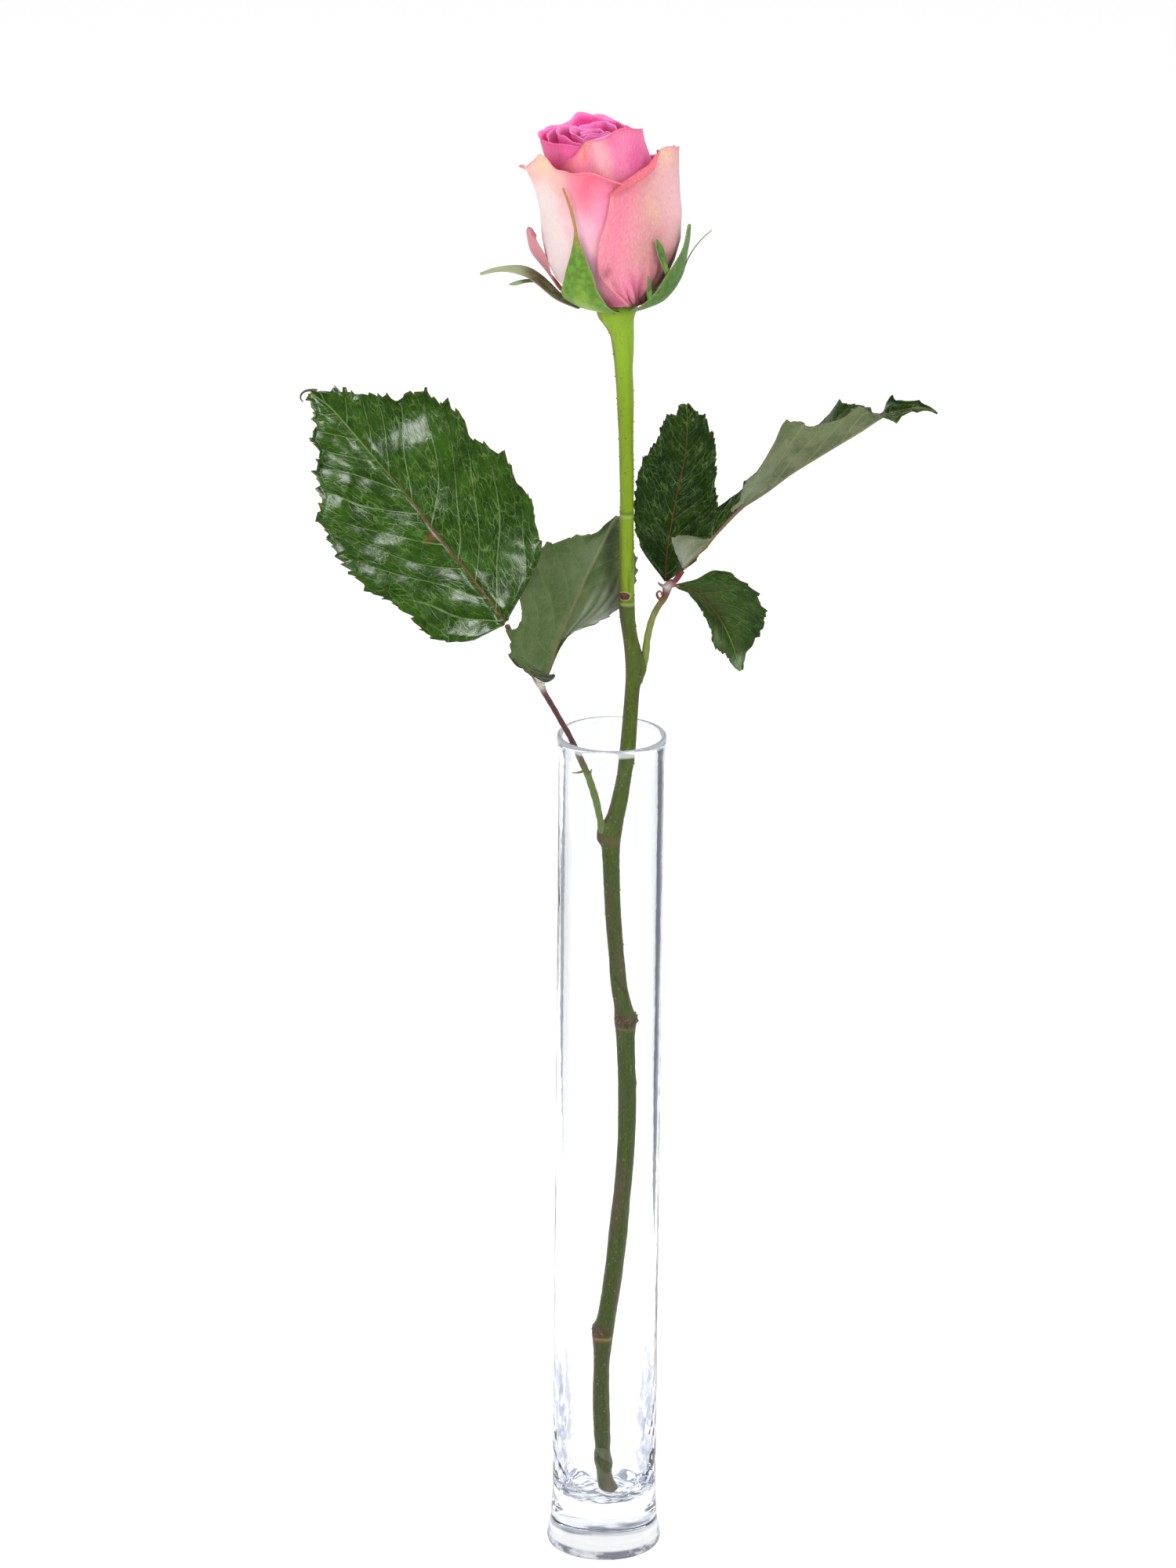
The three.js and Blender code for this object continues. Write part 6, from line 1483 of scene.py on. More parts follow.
LEAF_DOWN_FOLDED = leaf_under("leaf_underside_folded", a=(0.088, 0.118, 0.045), b=(0.150, 0.172, 0.085), rough=0.5, lines=0.55, net=0.7, spots=(
    (0.03, 0.2, 0.09, 0.5, (0.34, 0.36, 0.30), 0.6), (0.36, 0.18, 0.10, 0.16, (0.30, 0.33, 0.24), 0.5), (0.66, 0.10, 0.12, 0.10, (0.13, 0.20, 0.06), 0.5)))
LEAF_DOWN_DARK = leaf_under("leaf_underside_dull", a=(0.056, 0.098, 0.020), b=(0.090, 0.135, 0.042), lines=0.42, net=0.6, one_side=0.45, rib_mix=0.5, spots=(
    # the two dark patches near the stem are the stem's painted shadow on the leaflet
    (0.88, 0.62, 0.09, 0.12, (0.028, 0.046, 0.012), 0.75), (0.73, 0.62, 0.08, 0.07, (0.032, 0.052, 0.014), 0.65),
    (0.40, 0.86, 0.24, 0.20, (0.155, 0.180, 0.115), 0.75), (0.30, 0.98, 0.20, 0.12, (0.46, 0.48, 0.44), 0.6), (0.78, 0.42, 0.12, 0.20, (0.115, 0.155, 0.070), 0.6),
    # pale and dark stripes by turns: painted light on the ridges of the fold, painted shade in its furrows
    (0.40, 0.66, 0.16, 0.022, (0.235, 0.255, 0.195), 0.8), (0.47, 0.715, 0.14, 0.014, (0.046, 0.070, 0.026), 0.75), (0.46, 0.755, 0.15, 0.020, (0.225, 0.245, 0.185), 0.8),
    (0.53, 0.805, 0.13, 0.013, (0.046, 0.068, 0.026), 0.75), (0.50, 0.845, 0.15, 0.020, (0.240, 0.255, 0.205), 0.8), (0.56, 0.895, 0.12, 0.014, (0.050, 0.072, 0.030), 0.7)))

# leaflet, slot, materials of upper side and underside, table, bulge, margins, upper side, grid, veins, quilting, groove, curl, seed
# the near half of the long leaflet is folded down to a narrow strip between its base and its middle
def between(i, f, off):
    q = np.array(RIGHT_TERMINAL[i]) * (1 - f) + np.array(RIGHT_TERMINAL[i + 1]) * f
    q[3:6] = q[:3] + np.array(off)
    return q.tolist()


def tucked(i):
    r = RIGHT_TERMINAL[i]
    return r[:3] + [r[0] - 0.3, r[1] + 0.8, r[2] + 0.1] + r[6:]


RIGHT_TERMINAL_SEEN = RIGHT_TERMINAL[:3] + [between(2, 0.6, (-1.7, -1.4, 0.9)), tucked(3), tucked(4), between(4, 0.78, (-0.5, -0.5, 0.5))] + RIGHT_TERMINAL[5:]


def moved(edge):
    """Margin table for the two rows more."""
    out = []
    for q in edge:
        i = float(np.interp(q[0] * 15, [0, 2, 3, 4, 5, 15], [0, 2, 4, 5, 7, 17]))
        out.append([i / 17] + list(q[1:]))
    return out


TIP_HOOK = [[-83.6, 9.7, 347.7, 0.55], [-85.2, 9.8, 347.8, 0.42], [-86.8, 9.9, 347.5, 0.34], [-87.9, 9.9, 346.7, 0.28], [-88.3, 9.9, 345.6, 0.24], [-87.9, 9.9, 344.6, 0.18], [-87.4, 9.9, 344.4, 0.10]]
TIP_MAT = stalk_material("leaf_tip_skin", [(340, (0.060, 0.055, 0.020)), (350, (0.075, 0.060, 0.028))], [])

# gently leaning patches between the veins of the large leaflet
GLOSSY = ((0.12, 0.83, 8.0, 8.0, -0.25, 0.0), (0.60, 0.80, 7.0, 9.0, -0.18, -0.32), (0.53, 0.57, 5.0, 6.0, -0.22, -0.12), (0.64, 0.10, 9.0, 5.0, -0.21, 0.33),
          (0.42, 0.24, 5.0, 10.0, -0.23, 0.05), (0.20, 0.30, 7.0, 7.0, -0.20, -0.05), (0.05, 0.14, 5.0, 4.0, -0.06, -0.14), (0.33, 0.05, 5.0, 5.0, -0.24, 0.07),
          (0.43, 0.61, 5.0, 7.0, -0.17, -0.10))

LEAFLETS = (
    ("leaf_left_terminal_leaflet", "leaf_green", [LEAF_UP, LEAF_DOWN], LEFT_TERMINAL, 0.8, LEFT_TERMINAL_EDGE_A, LEFT_TERMINAL_EDGE_B,
     facing(LEFT_TERMINAL, -0.5), 300, 34, 9.0, 0.34, 0.36, -0.6, 21, (0.75, 3.3), [TIP_HOOK], GLOSSY),
    ("leaf_left_side_leaflet", "leaf_underside_green", [LEAF_UP, LEAF_DOWN_DARK], LEFT_SIDE, 0.5, LEFT_SIDE_EDGE_A, LEFT_SIDE_EDGE_B,
     -facing(LEFT_SIDE, -0.5), 180, 24, 7.0, 0.40, 0.30, -0.4, 33, (0.35, 3.0), [], ()),
    ("leaf_right_upright_leaflet", "leaf_green", [LEAF_UP_RIGHT, LEAF_DOWN], RIGHT_UPRIGHT, 0.5, RIGHT_UPRIGHT_EDGE_A, RIGHT_UPRIGHT_EDGE_B,
     facing(RIGHT_UPRIGHT, -0.5), 220, 26, 8.0, 0.45, 0.34, -0.4, 45, (0.45, 2.6), [], ()),
    ("leaf_right_terminal_leaflet", "leaf_underside_green", [LEAF_UP_RIGHT, LEAF_DOWN_FOLDED], RIGHT_TERMINAL_SEEN, 0.3, moved(RIGHT_TERMINAL_EDGE_A), moved(RIGHT_TERMINAL_EDGE_B),
     -facing(RIGHT_TERMINAL, -0.5), 260, 24, 12.0, 0.40, 0.30, 0.3, 57, (0.28, 3.2), [], ()),
    ("leaf_right_lower_leaflet", "leaf_green", [LEAF_UP_LOW, LEAF_DOWN], RIGHT_LOWER, 0.5, RIGHT_LOWER_EDGE_A, RIGHT_LOWER_EDGE_B,
     facing(RIGHT_LOWER, 0.5), 180, 22, 7.0, 0.15, 0.25, -0.4, 69, (0.42, 2.4), [], ()),
)
for name, slot, mats, table, bulge, ea, eb, upper, n_u, n_v, veins, quilt, gr, curl, seed, teeth, more, domes in LEAFLETS:
    make_leaflet(name, slot, mats + ([TIP_MAT] if more else []), table, bulge, ea, eb, upper, n_u, n_v, veins, quilt, gr, curl, seed, teeth=teeth, more=more, domes=domes)

# --------------------------------------------------------------------- the petals

CREAM = (0.93, 0.77, 0.70)
PEACH = (0.90, 0.55, 0.36)
PINK = (0.90, 0.26, 0.38)
SOFT_PINK = (0.90, 0.40, 0.52)
ROSE = (0.86, 0.17, 0.27)
MAUVE = (0.88, 0.42, 0.62)
HOT = (0.87, 0.105, 0.36)
DEEP = (0.58, 0.025, 0.13)
BROWN = (0.34, 0.13, 0.105)

MATS = {}
# inside and bud faces: the lighter, whiter band at the rim is partly their own paler edge, partly painted highlight;
# the deeper crimson near the claw is partly their own colour, partly painted shade deep in the bloom
MATS["inside"] = petal_face("petal_inner_face", (0.66, 0.020, 0.13), (0.93, 0.055, 0.33), (1.0, 0.25, 0.60), reach=0.13, streak=0.40, vein=0.25, sss=0.35)
MATS["bud_out"] = petal_face("petal_bud_outer_face", (0.84, 0.07, 0.30), (0.94, 0.075, 0.38), (1.0, 0.27, 0.62), reach=0.12, streak=0.4, vein=0.25, sss=0.35)
MATS["inner_out"] = petal_face("petal_inner_outer_face", (0.90, 0.42, 0.46), (0.95, 0.18, 0.44), (0.92, 0.13, 0.38), reach=0.25, streak=0.4, vein=0.2, sss=0.35)
MATS["middle_out"] = petal_face("petal_middle_outer_face", (0.88, 0.66, 0.56), SOFT_PINK, PINK, reach=0.4)
# right outer petal: the dark brownish patches low down are the right sepal's painted shadow, the dark red spot is
# painted shade in the crumple near the claw, and the crimson band along the rolled lip is partly its own pink, partly
# painted shade under the roll
MATS["outer_right"] = petal_face("petal_outer_right_face", (0.80, 0.23, 0.32), (0.76, 0.35, 0.35), (0.80, 0.30, 0.31), reach=0.16, streak=0.40, vein=0.30, mottle=0.38, spots=(
    (0.62, 0.12, 0.34, 0.17, (0.84, 0.22, 0.34), 0.9), (0.85, 0.22, 0.12, 0.22, (0.84, 0.19, 0.29), 0.75),
    (0.72, 0.74, 0.26, 0.24, (0.84, 0.50, 0.53), 0.85), (0.50, 0.42, 0.16, 0.15, (0.58, 0.25, 0.24), 0.6), (0.95, 0.66, 0.05, 0.14, (0.84, 0.58, 0.40), 0.85),
    (0.68, 0.46, 0.06, 0.08, (0.74, 0.48, 0.34), 0.6), (0.38, 0.52, 0.12, 0.14, (0.42, 0.17, 0.16), 0.7), (0.28, 0.26, 0.10, 0.14, (0.87, 0.20, 0.40), 0.7), (0.98, 0.30, 0.025, 0.35, (0.80, 0.19, 0.24), 0.6),
    (0.44, 0.07, 0.04, 0.04, (0.34, 0.06, 0.10), 0.7)))
MATS["outer_left"] = petal_face("petal_outer_left_face", (0.95, 0.76, 0.70), (0.95, 0.76, 0.73), (0.92, 0.45, 0.42), reach=0.12, streak=0.25, vein=0.20, mottle=0.22, spots=(
    (0.60, 0.92, 0.50, 0.26, (0.94, 0.17, 0.40), 0.92), (0.86, 0.74, 0.12, 0.20, (0.92, 0.12, 0.22), 0.95), (0.96, 0.80, 0.07, 0.28, (0.90, 0.17, 0.26), 0.85),
    (0.68, 0.66, 0.14, 0.08, (0.93, 0.46, 0.62), 0.6), (0.42, 0.30, 0.22, 0.10, (0.93, 0.64, 0.74), 0.4), (0.95, 0.48, 0.05, 0.10, (0.93, 0.66, 0.42), 0.85),
    (0.93, 0.22, 0.07, 0.22, (0.88, 0.40, 0.34), 0.8), (0.83, 0.50, 0.015, 0.03, (0.92, 0.52, 0.22), 0.7), (0.35, 0.97, 0.25, 0.18, (0.88, 0.14, 0.38), 0.8), (0.08, 0.88, 0.16, 0.30, (0.72, 0.12, 0.26), 0.9)))
MATS["outer_back"] = petal_face("petal_outer_back_face", (0.92, 0.68, 0.58), (0.90, 0.54, 0.50), (0.86, 0.24, 0.34), reach=0.22, mottle=0.35, spots=(
    (0.70, 0.25, 0.25, 0.20, (0.88, 0.32, 0.46), 0.7), (0.60, 0.80, 0.25, 0.16, (0.92, 0.66, 0.56), 0.7), (0.55, 0.5, 0.2, 0.1, (0.88, 0.30, 0.42), 0.5)))
MATS["inner_front"] = petal_face("petal_inner_front_face", (0.86, 0.32, 0.38), (0.90, 0.22, 0.42), (0.88, 0.14, 0.28), reach=0.14, streak=0.40, vein=0.30, mottle=0.34, spots=(
    (0.84, 0.44, 0.13, 0.10, (0.95, 0.46, 0.50), 0.9), (0.97, 0.34, 0.05, 0.10, (0.93, 0.50, 0.30), 0.95), (0.92, 0.14, 0.10, 0.16, (0.90, 0.24, 0.32), 0.8),
    (0.94, 0.30, 0.025, 0.03, (0.84, 0.16, 0.18), 0.7), (0.85, 0.88, 0.20, 0.14, (0.84, 0.13, 0.38), 0.85), (0.82, 0.66, 0.16, 0.06, (0.92, 0.26, 0.46), 0.6), (0.92, 0.60, 0.06, 0.06, (0.84, 0.16, 0.32), 0.6)))
MATS["outer_in"] = petal_face("petal_outer_inner_face", DEEP, (0.70, 0.08, 0.16), (0.66, 0.15, 0.19), reach=0.22, mottle=0.4)
MATS["guard"] = petal_face("guard_petal_face", (0.82, 0.34, 0.38), (0.80, 0.30, 0.33), (0.62, 0.16, 0.17), reach=0.08)

# the left outer petal runs on behind the right one down to its claw
for p in PETALS:
    if p["name"] == "petal_outer_left":
        p["widthRight"] = [1.08, 1.07, 1.05, 1.02, 1.0, 0.98, 0.92]


def ruffle(seed, a_rad, a_h, k=2.0, start=0.66):
    def extra(U, V, angle, radius, h):
        w = smooth(U, start, 1.0)
        n = waves(V * k, U * 0.35, seed, 5, 0.3, 1.0)
        m = waves(V * k, U * 0.2 + 3, seed + 9, 5, 0.3, 1.0)
        return angle, radius + a_rad * w * n, h + a_h * w * m * smooth(U, 0.8, 1.0)
    return extra


def fold_front(U, V, angle, radius, h):
    """A soft upright fold left of the middle, and a small ruffle."""
    angle, radius, h = ruffle(5, 0.35, 0.35)(U, V, angle, radius, h)
    w = smooth(h, 26, 48)
    radius = radius + 0.75 * w * np.exp(-((V + 0.18) / 0.10) ** 2) - 0.6 * w * np.exp(-((V + 0.42) / 0.12) ** 2)
    return angle, radius, h


def rim_left(U, V, angle, radius, h):
    """The left outer petal's rim: a peak over its left third and a dip beside it."""
    angle, radius, h = ruffle(4, 0.20, 0.18)(U, V, angle, radius, h)
    w = smooth(U, 0.55, 1.0)
    h = h + w * (0.9 * np.exp(-((V + 0.06) / 0.07) ** 2) - 1.5 * np.exp(-((V - 0.14) / 0.09) ** 2) - 0.8 * np.exp(-((V + 0.42) / 0.12) ** 2))
    radius = radius + w * (0.5 * np.exp(-((V - 0.13) / 0.07) ** 2)) + 0.22 * smooth(U, 0.2, 0.6) * waves(V * 1.6, U * 1.1, 41, 5, 0.4, 1.1)
    return angle, radius, h


def rim_right(U, V, angle, radius, h):
    """The right outer petal: shallow upright folds, a small turned corner, a crumple near its claw."""
    angle, radius, h = ruffle(3, 0.22, 0.25)(U, V, angle, radius, h)
    w = smooth(U, 0.75, 1.0)
    radius = radius + 0.26 * smooth(U, 0.15, 0.5) * waves(V * 1.8, U * 1.2, 43, 5, 0.4, 1.2)
    radius = radius - 0.8 * np.exp(-((V + 0.80) / 0.08) ** 2 - ((U - 0.40) / 0.06) ** 2) + 0.5 * np.exp(-((V + 0.62) / 0.09) ** 2 - ((U - 0.30) / 0.09) ** 2)
    h = h + w * (0.5 * np.exp(-((V - 0.62) / 0.05) ** 2) - 0.5 * np.exp(-((V - 0.74) / 0.04) ** 2))
    # folds fan out from the claw
    low = smooth(U, 0.02, 0.10) * (1 - smooth(U, 0.22, 0.50)) * (1 - smooth(V, -0.1, 0.5))
    radius = radius + 0.65 * low * waves(V * 5.0, U * 3.0, 47, 6, 0.4, 1.3)
    return angle, radius, h


def guard_twist(U, V, angle, radius, h):
    tip = smooth(U, 0.72, 1.0)
    h = h - 1.0 * smooth(U, 0.85, 1.0) - 0.9 * tip * V ** 2
    radius = radius - 1.7 * tip - 2.1 * V * smooth(U, 0.1, 0.5) * (1 - 0.45 * tip) + 0.3 * waves(U * 2.2, V * 0.4, 14, 4, 0.4, 1.2) * smooth(U, 0.1, 0.4)
    return angle + 4 * np.sin(U * 7.0) * smooth(U, 0.5, 1.0), radius, h


STYLE = {
    "petal_outer_right": (MATS["outer_right"], MATS["outer_in"], 86, 108, [0.9, 1.35, 1.45, 1.25, 0.8, 0.8, 0.7], [150, 172, 172, 150, 60, 48, 42], rim_right),
    "petal_outer_left": (MATS["outer_left"], MATS["outer_in"], 86, 108, [1.0, 1.3, 1.0, 0.8, 1.2, 2.3, 2.4], [60, 100, 60, 34, 60, 98, 110], rim_left),
    "petal_outer_back": (MATS["outer_back"], MATS["outer_in"], 64, 80, [1.0, 1.2, 1.2, 1.2, 1.2, 1.2, 1.0], [60, 80, 90, 80, 90, 80, 60], ruffle(6, 0.5, 0.6)),
    "petal_middle_right": (MATS["middle_out"], MATS["inside"], 60, 70, [0.8] * 7, [40, 60, 60, 50, 60, 50, 40], ruffle(7, 0.3, 0.4)),
    "petal_middle_left": (MATS["middle_out"], MATS["inside"], 60, 70, [0.8] * 7, [40, 60, 60, 50, 60, 50, 40], ruffle(8, 0.3, 0.4)),
    "petal_inner_front": (MATS["inner_front"], MATS["inside"], 88, 104, [0.6, 0.7, 1.1, 1.3, 0.8, 0.6, 0.5], [25, 30, 80, 125, 60, 45, 40], fold_front),
    "petal_inner_back": (MATS["inner_out"], MATS["inside"], 64, 76, [0.8] * 7, [40, 60, 70, 60, 70, 60, 40], ruffle(10, 0.35, 0.5)),
    "petal_inner_left": (MATS["inner_out"], MATS["inside"], 66, 78, [0.6] * 7, [40, 50, 60, 50, 60, 50, 40], ruffle(12, 0.25, 0.35)),
    "petal_inner_right": (MATS["inner_out"], MATS["inside"], 66, 78, [0.6] * 7, [40, 50, 60, 50, 60, 50, 40], ruffle(13, 0.25, 0.35)),
    "guard_petal": (MATS["guard"], MATS["outer_in"], 60, 40, None, None, guard_twist),
}

for number, p in enumerate(PETALS):
    name = p["name"]
    if name in STYLE:
        outer, inner, n_u, n_v, roll, turn, extra = STYLE[name]
    else:
        outer, inner, n_u, n_v, roll, turn, extra = MATS["bud_out"], MATS["inside"], 50, 56, [0.55] * 7, [40, 60, 66, 54, 66, 60, 40], ruffle(20 + number, 0.22, 0.30, 2.6)
    slot = next(x["material_slot"] for x in frame["record"]["subparts"] if x["node"] == name)
    make_petal(p, slot, [outer, inner], n_u, n_v, roll, turn, extra)

# --------------------------------------------------------------------- the sepals

SEPAL_FRONT_MAT = sepal_material("sepal_front_skin", (0.165, 0.340, 0.040), (0.300, 0.480, 0.055), (0.38, 0.25, 0.06), tip_from=0.69)
SEPAL_SIDE_MAT = sepal_material("sepal_side_skin", (0.110, 0.235, 0.045), (0.180, 0.330, 0.055), (0.120, 0.240, 0.050), tip_from=0.8)
SEPAL_LEFT_MAT = sepal_material("sepal_left_skin", (0.150, 0.210, 0.080), (0.230, 0.290, 0.120), (0.30, 0.36, 0.20), blush=0.7, tip_from=0.5)
SEPAL_IN_MAT = sepal_material("sepal_inner_skin", (0.30, 0.38, 0.22), (0.36, 0.44, 0.26), (0.40, 0.42, 0.28))


def sepal_shell(table, thick=0.62, n_u=90, n_v=36, ridge=0.35, seed=0):
    us, q = np.linspace(0, 1, n_u + 1), np.linspace(-1, 1, n_v + 1)
    vs = q + 0.10 * np.sin(np.pi * q)

    def extra(U, V, angle, radius, h):
        w = smooth(h, 2, 8)
        radius = radius + w * ridge * np.exp(-(V / 0.22) ** 2) * (1 - 0.6 * U) + 0.16 * w * waves(U * 4, V * 0.6, seed, 4, 0.4, 1.2)
        return angle, radius, h
    P = wrap_grid(table, us, vs, extra)
    e = np.minimum((1 - np.abs(vs))[None, :] / 0.25, 1)
    UV = np.stack(np.broadcast_arrays(us[:, None], (vs[None, :] + 1) / 2), -1)
    return shell_data(P, thick * (0.35 + 0.65 * e) * np.ones((n_u + 1, 1)), UV)


def blade_shell(table, bulge, thick, n_u=50, n_v=18, wave=0.1, seed=0):
    us, vs = np.linspace(0, 1, n_u + 1), np.linspace(-1, 1, n_v + 1)
    P, _, W = blade_grid(table, bulge, us, vs)
    N = normals(P)
    P = P + N * (wave * waves(us[:, None] * 4, vs[None, :] * 0.6, seed, 4, 0.4, 1.2) * smooth(W, 0.4, 1.5))[..., None]
    e = np.minimum((1 - np.abs(vs))[None, :] / 0.3, 1)
    UV = np.stack(np.broadcast_arrays(us[:, None], (vs[None, :] + 1) / 2), -1)
    return shell_data(P, thick * (0.4 + 0.6 * e) * np.ones((n_u + 1, 1)), UV)


SEPAL_BY_NAME = {s["name"]: s["table"] for s in SEPALS}
for name, mat in (("sepal_front", SEPAL_FRONT_MAT), ("sepal_right", SEPAL_SIDE_MAT), ("sepal_back_right", SEPAL_SIDE_MAT), ("sepal_back_left", SEPAL_SIDE_MAT)):
    parts = [sepal_shell(SEPAL_BY_NAME[name], 0.55, seed=len(name))]
    if name == "sepal_right":
        parts += [blade_shell(LOBE_RIGHT_UPPER, 0.1, 0.5), blade_shell(LOBE_RIGHT_LOWER, 0.1, 0.5, seed=3), tube_data([[*q[:3], q[3] * 0.62] for q in FILAMENT_RIGHT], 10, 40)]
    v, f, s, uvq = join(parts)
    place(mesh_object(name + "_surface", v, f, [mat], np.zeros(len(f), int), uvq, 60), "sepal_green", name)

v, f, s, uvq = join([blade_shell(SEPAL_LEFT, 0.2, 0.66, 90, 30, 0.15, 8), blade_shell(LOBE_LEFT, 0.1, 0.4, 40, 12, 0.06, 9)])
place(mesh_object("sepal_left_surface", v, f, [SEPAL_LEFT_MAT], np.zeros(len(f), int), uvq, 60), "sepal_green", "sepal_left")

# ------------------------------------------------------- camera, floor and lights

ELEVATION, ROLL = math.radians(19.7), math.radians(0.53)
right0, up0 = np.array([1.0, 0, 0]), np.array([0, math.sin(ELEVATION), math.cos(ELEVATION)])
ahead = np.array([0, math.cos(ELEVATION), -math.sin(ELEVATION)])
right = math.cos(ROLL) * right0 + math.sin(ROLL) * up0
up = -math.sin(ROLL) * right0 + math.cos(ROLL) * up0
cam_data = bpy.data.cameras.new("camera")
cam_data.sensor_width = 36.0
cam_data.sensor_fit = "AUTO"
cam_data.lens = 198.0
cam_data.clip_start = 0.1
cam_data.clip_end = 50.0
cam = bpy.data.objects.new("camera", cam_data)
scene.collection.objects.link(cam)
m = Matrix.Identity(4)
for i in range(3):
    m[i][0], m[i][1], m[i][2] = right[i], up[i], -ahead[i]
m[0][3], m[1][3], m[2][3] = -0.0066, -2.305, 1.060
cam.matrix_world = m
scene.camera = cam

scene.view_settings.view_transform = "Standard"
scene.view_settings.look = "None"
scene.view_settings.exposure = 0.0
scene.cycles.use_denoising = True
scene.cycles.max_bounces = 16
scene.cycles.transmission_bounces = 14
scene.cycles.transparent_max_bounces = 12
scene.cycles.glossy_bounces = 6
scene.cycles.diffuse_bounces = 5


def plane(name, size_x, size_y, at, normal, mat):
    mesh = bpy.data.meshes.new(name)
    x, y = size_x / 2, size_y / 2
    mesh.from_pydata([(-x, -y, 0), (x, -y, 0), (x, y, 0), (-x, y, 0)], [], [(0, 1, 2, 3)])
    mesh.materials.append(mat)
    obj = bpy.data.objects.new(name, mesh)
    n = np.asarray(normal, float) / np.linalg.norm(normal)
    a = np.cross([0, 0, 1.0], n)
    a = np.array([1.0, 0, 0]) if np.linalg.norm(a) < 1e-6 else a / np.linalg.norm(a)
    b = np.cross(n, a)
    mm = Matrix.Identity(4)
    for i in range(3):
        mm[i][0], mm[i][1], mm[i][2], mm[i][3] = a[i], b[i], n[i], at[i]
    obj.matrix_world = mm
    scene.collection.objects.link(obj)
    return obj


floor = plane("floor", 14.0, 14.0, (0, 2.0, -0.0002), (0, 0, 1), plain("floor_white", (0.70, 0.70, 0.70), 0.9, 0.60))
floor.visible_glossy = False

def card_material(name, dark, light):
    """Seen in reflections only: whoever looks straight through the glass looks through the card too."""
    g = Graph(name)
    shade = g.principled(**{"Base Color": g.mix(g.noise(g.place(), 2.0), dark, light), "Roughness": 0.9})
    path = g.node("ShaderNodeLightPath")
    m = g.node("ShaderNodeMixShader")
    g.tree.links.new(g.range(path.outputs["Glossy Depth"], 0.4, 0.6), m.inputs[0])
    g.tree.links.new(g.node("ShaderNodeBsdfTransparent").outputs[0], m.inputs[1])
    g.tree.links.new(shade, m.inputs[2])
    return g.finish(m.outputs[0])


# dark cards on the floor draw the thin dark lines at the edges of the glass, one in front keeps the glass from looking milky
CARD = card_material("card_dark", (0.150, 0.170, 0.225), (0.180, 0.200, 0.255))
CARD_GREY = card_material("card_grey", (0.060, 0.068, 0.085), (0.070, 0.078, 0.095))
CARD_PALE = card_material("card_pale", (0.30, 0.34, 0.42), (0.33, 0.37, 0.45))
for c in (plane("card_left", 0.34, 0.40, (-0.42, 0.30, 0.0006), (0, 0, 1), CARD_PALE), plane("card_right", 0.50, 0.48, (0.41, 0.42, 0.0006), (0, 0, 1), CARD),
          plane("card_front", 3.0, 2.4, (0, -1.27, 0.0006), (0, 0, 1), CARD_GREY)):
    c.visible_camera = False
    c.visible_diffuse = False
    c.visible_shadow = False


def area(name, at, to, size, power, colour=(1, 1, 1), size_y=None):
    data = bpy.data.lights.new(name, "AREA")
    data.energy = power
    data.color = colour
    data.shape = "RECTANGLE"
    data.size = size
    data.size_y = size_y or size
    obj = bpy.data.objects.new(name, data)
    d = np.asarray(to, float) - np.asarray(at, float)
    d /= np.linalg.norm(d)
    z = -d
    a = np.cross([0, 0, 1.0], z)
    a /= np.linalg.norm(a)
    b = np.cross(z, a)
    mm = Matrix.Identity(4)
    for i in range(3):
        mm[i][0], mm[i][1], mm[i][2], mm[i][3] = a[i], b[i], z[i], at[i]
    obj.matrix_world = mm
    scene.collection.objects.link(obj)
    obj.visible_camera = False
    return obj


TARGET = (0, 0, 0.33)
area("key_right", (1.15, -1.35, 1.30), TARGET, 0.75, 19.0, size_y=0.9)
fill = area("fill_left", (-1.35, -1.25, 0.85), TARGET, 1.2, 12.0, size_y=1.1)
front = area("front", (-0.62, -1.62, 1.15), TARGET, 0.55, 4.0, size_y=0.5)
area("top", (0.1, 0.5, 1.9), TARGET, 1.2, 9.0, size_y=0.9)
fill.visible_glossy = False
front.visible_glossy = False
# a softbox for reflections only, so that glossy leaves show broad pale patches
gloss = area("gloss", (-0.55, -1.40, 1.50), (-0.05, 0, 0.31), 0.74, 17.0, size_y=0.62)
gloss.visible_diffuse = False
gloss.visible_transmission = False
# a small soft light over the bloom, so that the whorl glows between its petals
inner = area("bloom_top", (0.0, -0.03, 0.66), (0, 0, 0.42), 0.16, 0.25)
inner.visible_glossy = False
inner.visible_transmission = False

# even white tent: full strength behind clear glass, less as fill light, least in reflections
world = bpy.data.worlds.new("studio")
scene.world = world
world.use_nodes = True
wt = world.node_tree
bg = wt.nodes["Background"]
bg.inputs[0].default_value = (1, 1, 1, 1)
path = wt.nodes.new("ShaderNodeLightPath")


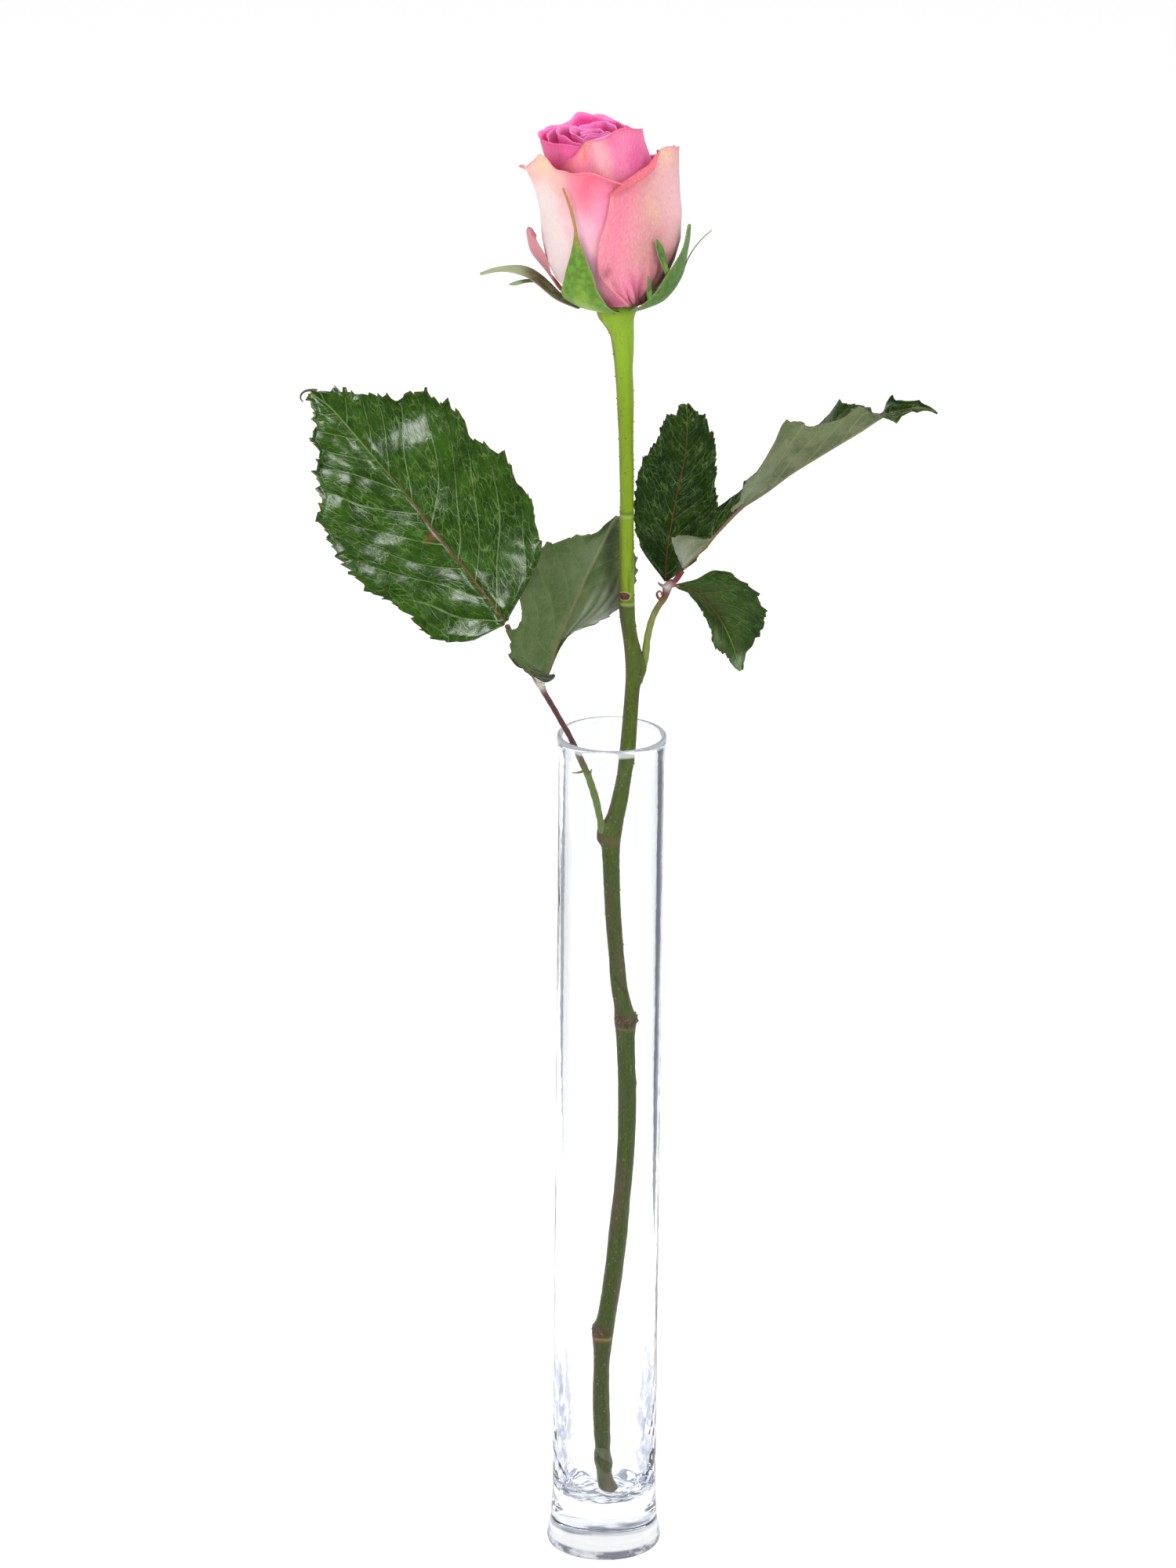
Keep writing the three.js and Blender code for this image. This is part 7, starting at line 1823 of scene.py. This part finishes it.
def world_mix(flag, when, otherwise):
    n = wt.nodes.new("ShaderNodeMix")
    n.data_type = "FLOAT"
    wt.links.new(path.outputs[flag], n.inputs[0])
    for socket, value in ((n.inputs[2], otherwise), (n.inputs[3], when)):
        if isinstance(value, (int, float)):
            socket.default_value = value
        else:
            wt.links.new(value, socket)
    return n.outputs[0]


bounced = wt.nodes.new("ShaderNodeMath")
bounced.operation = "GREATER_THAN"
bounced.inputs[1].default_value = 0.5
wt.links.new(path.outputs["Diffuse Depth"], bounced.inputs[0])
# reflections and rays leaving the glass: white behind the flower, dark in front of it, as in a studio
where = wt.nodes.new("ShaderNodeTexCoord")
axes = wt.nodes.new("ShaderNodeSeparateXYZ")
wt.links.new(where.outputs["Generated"], axes.inputs[0])


def by_depth(front, back):
    n = wt.nodes.new("ShaderNodeMapRange")
    n.interpolation_type = "SMOOTHSTEP"
    n.inputs["From Min"].default_value = -0.15
    n.inputs["From Max"].default_value = 0.25
    n.inputs["To Min"].default_value = front
    n.inputs["To Max"].default_value = back
    wt.links.new(axes.outputs[1], n.inputs["Value"])
    return n.outputs["Result"]


# straight through the glass: white all round; after a reflection inside it: bluish grey in front
mirrored = wt.nodes.new("ShaderNodeMath")
mirrored.operation = "GREATER_THAN"
mirrored.inputs[1].default_value = 0.5
wt.links.new(path.outputs["Glossy Depth"], mirrored.inputs[0])


def pick(factor, when, otherwise):
    n = wt.nodes.new("ShaderNodeMix")
    n.data_type = "FLOAT"
    wt.links.new(factor, n.inputs[0])
    for socket, value in ((n.inputs[2], otherwise), (n.inputs[3], when)):
        if isinstance(value, (int, float)):
            socket.default_value = value
        else:
            wt.links.new(value, socket)
    return n.outputs[0]


tone = wt.nodes.new("ShaderNodeCombineColor")
for k, dark in enumerate((0.36, 0.42, 0.56)):
    leaving = pick(mirrored.outputs[0], by_depth(dark, 1.0), 1.0)
    value = world_mix("Is Transmission Ray", leaving, world_mix("Is Glossy Ray", by_depth(0.02, 0.95), 1.0))
    wt.links.new(pick(bounced.outputs[0], 0.34, value), tone.inputs[k])
wt.links.new(tone.outputs[0], bg.inputs[0])
bg.inputs[1].default_value = 1.0
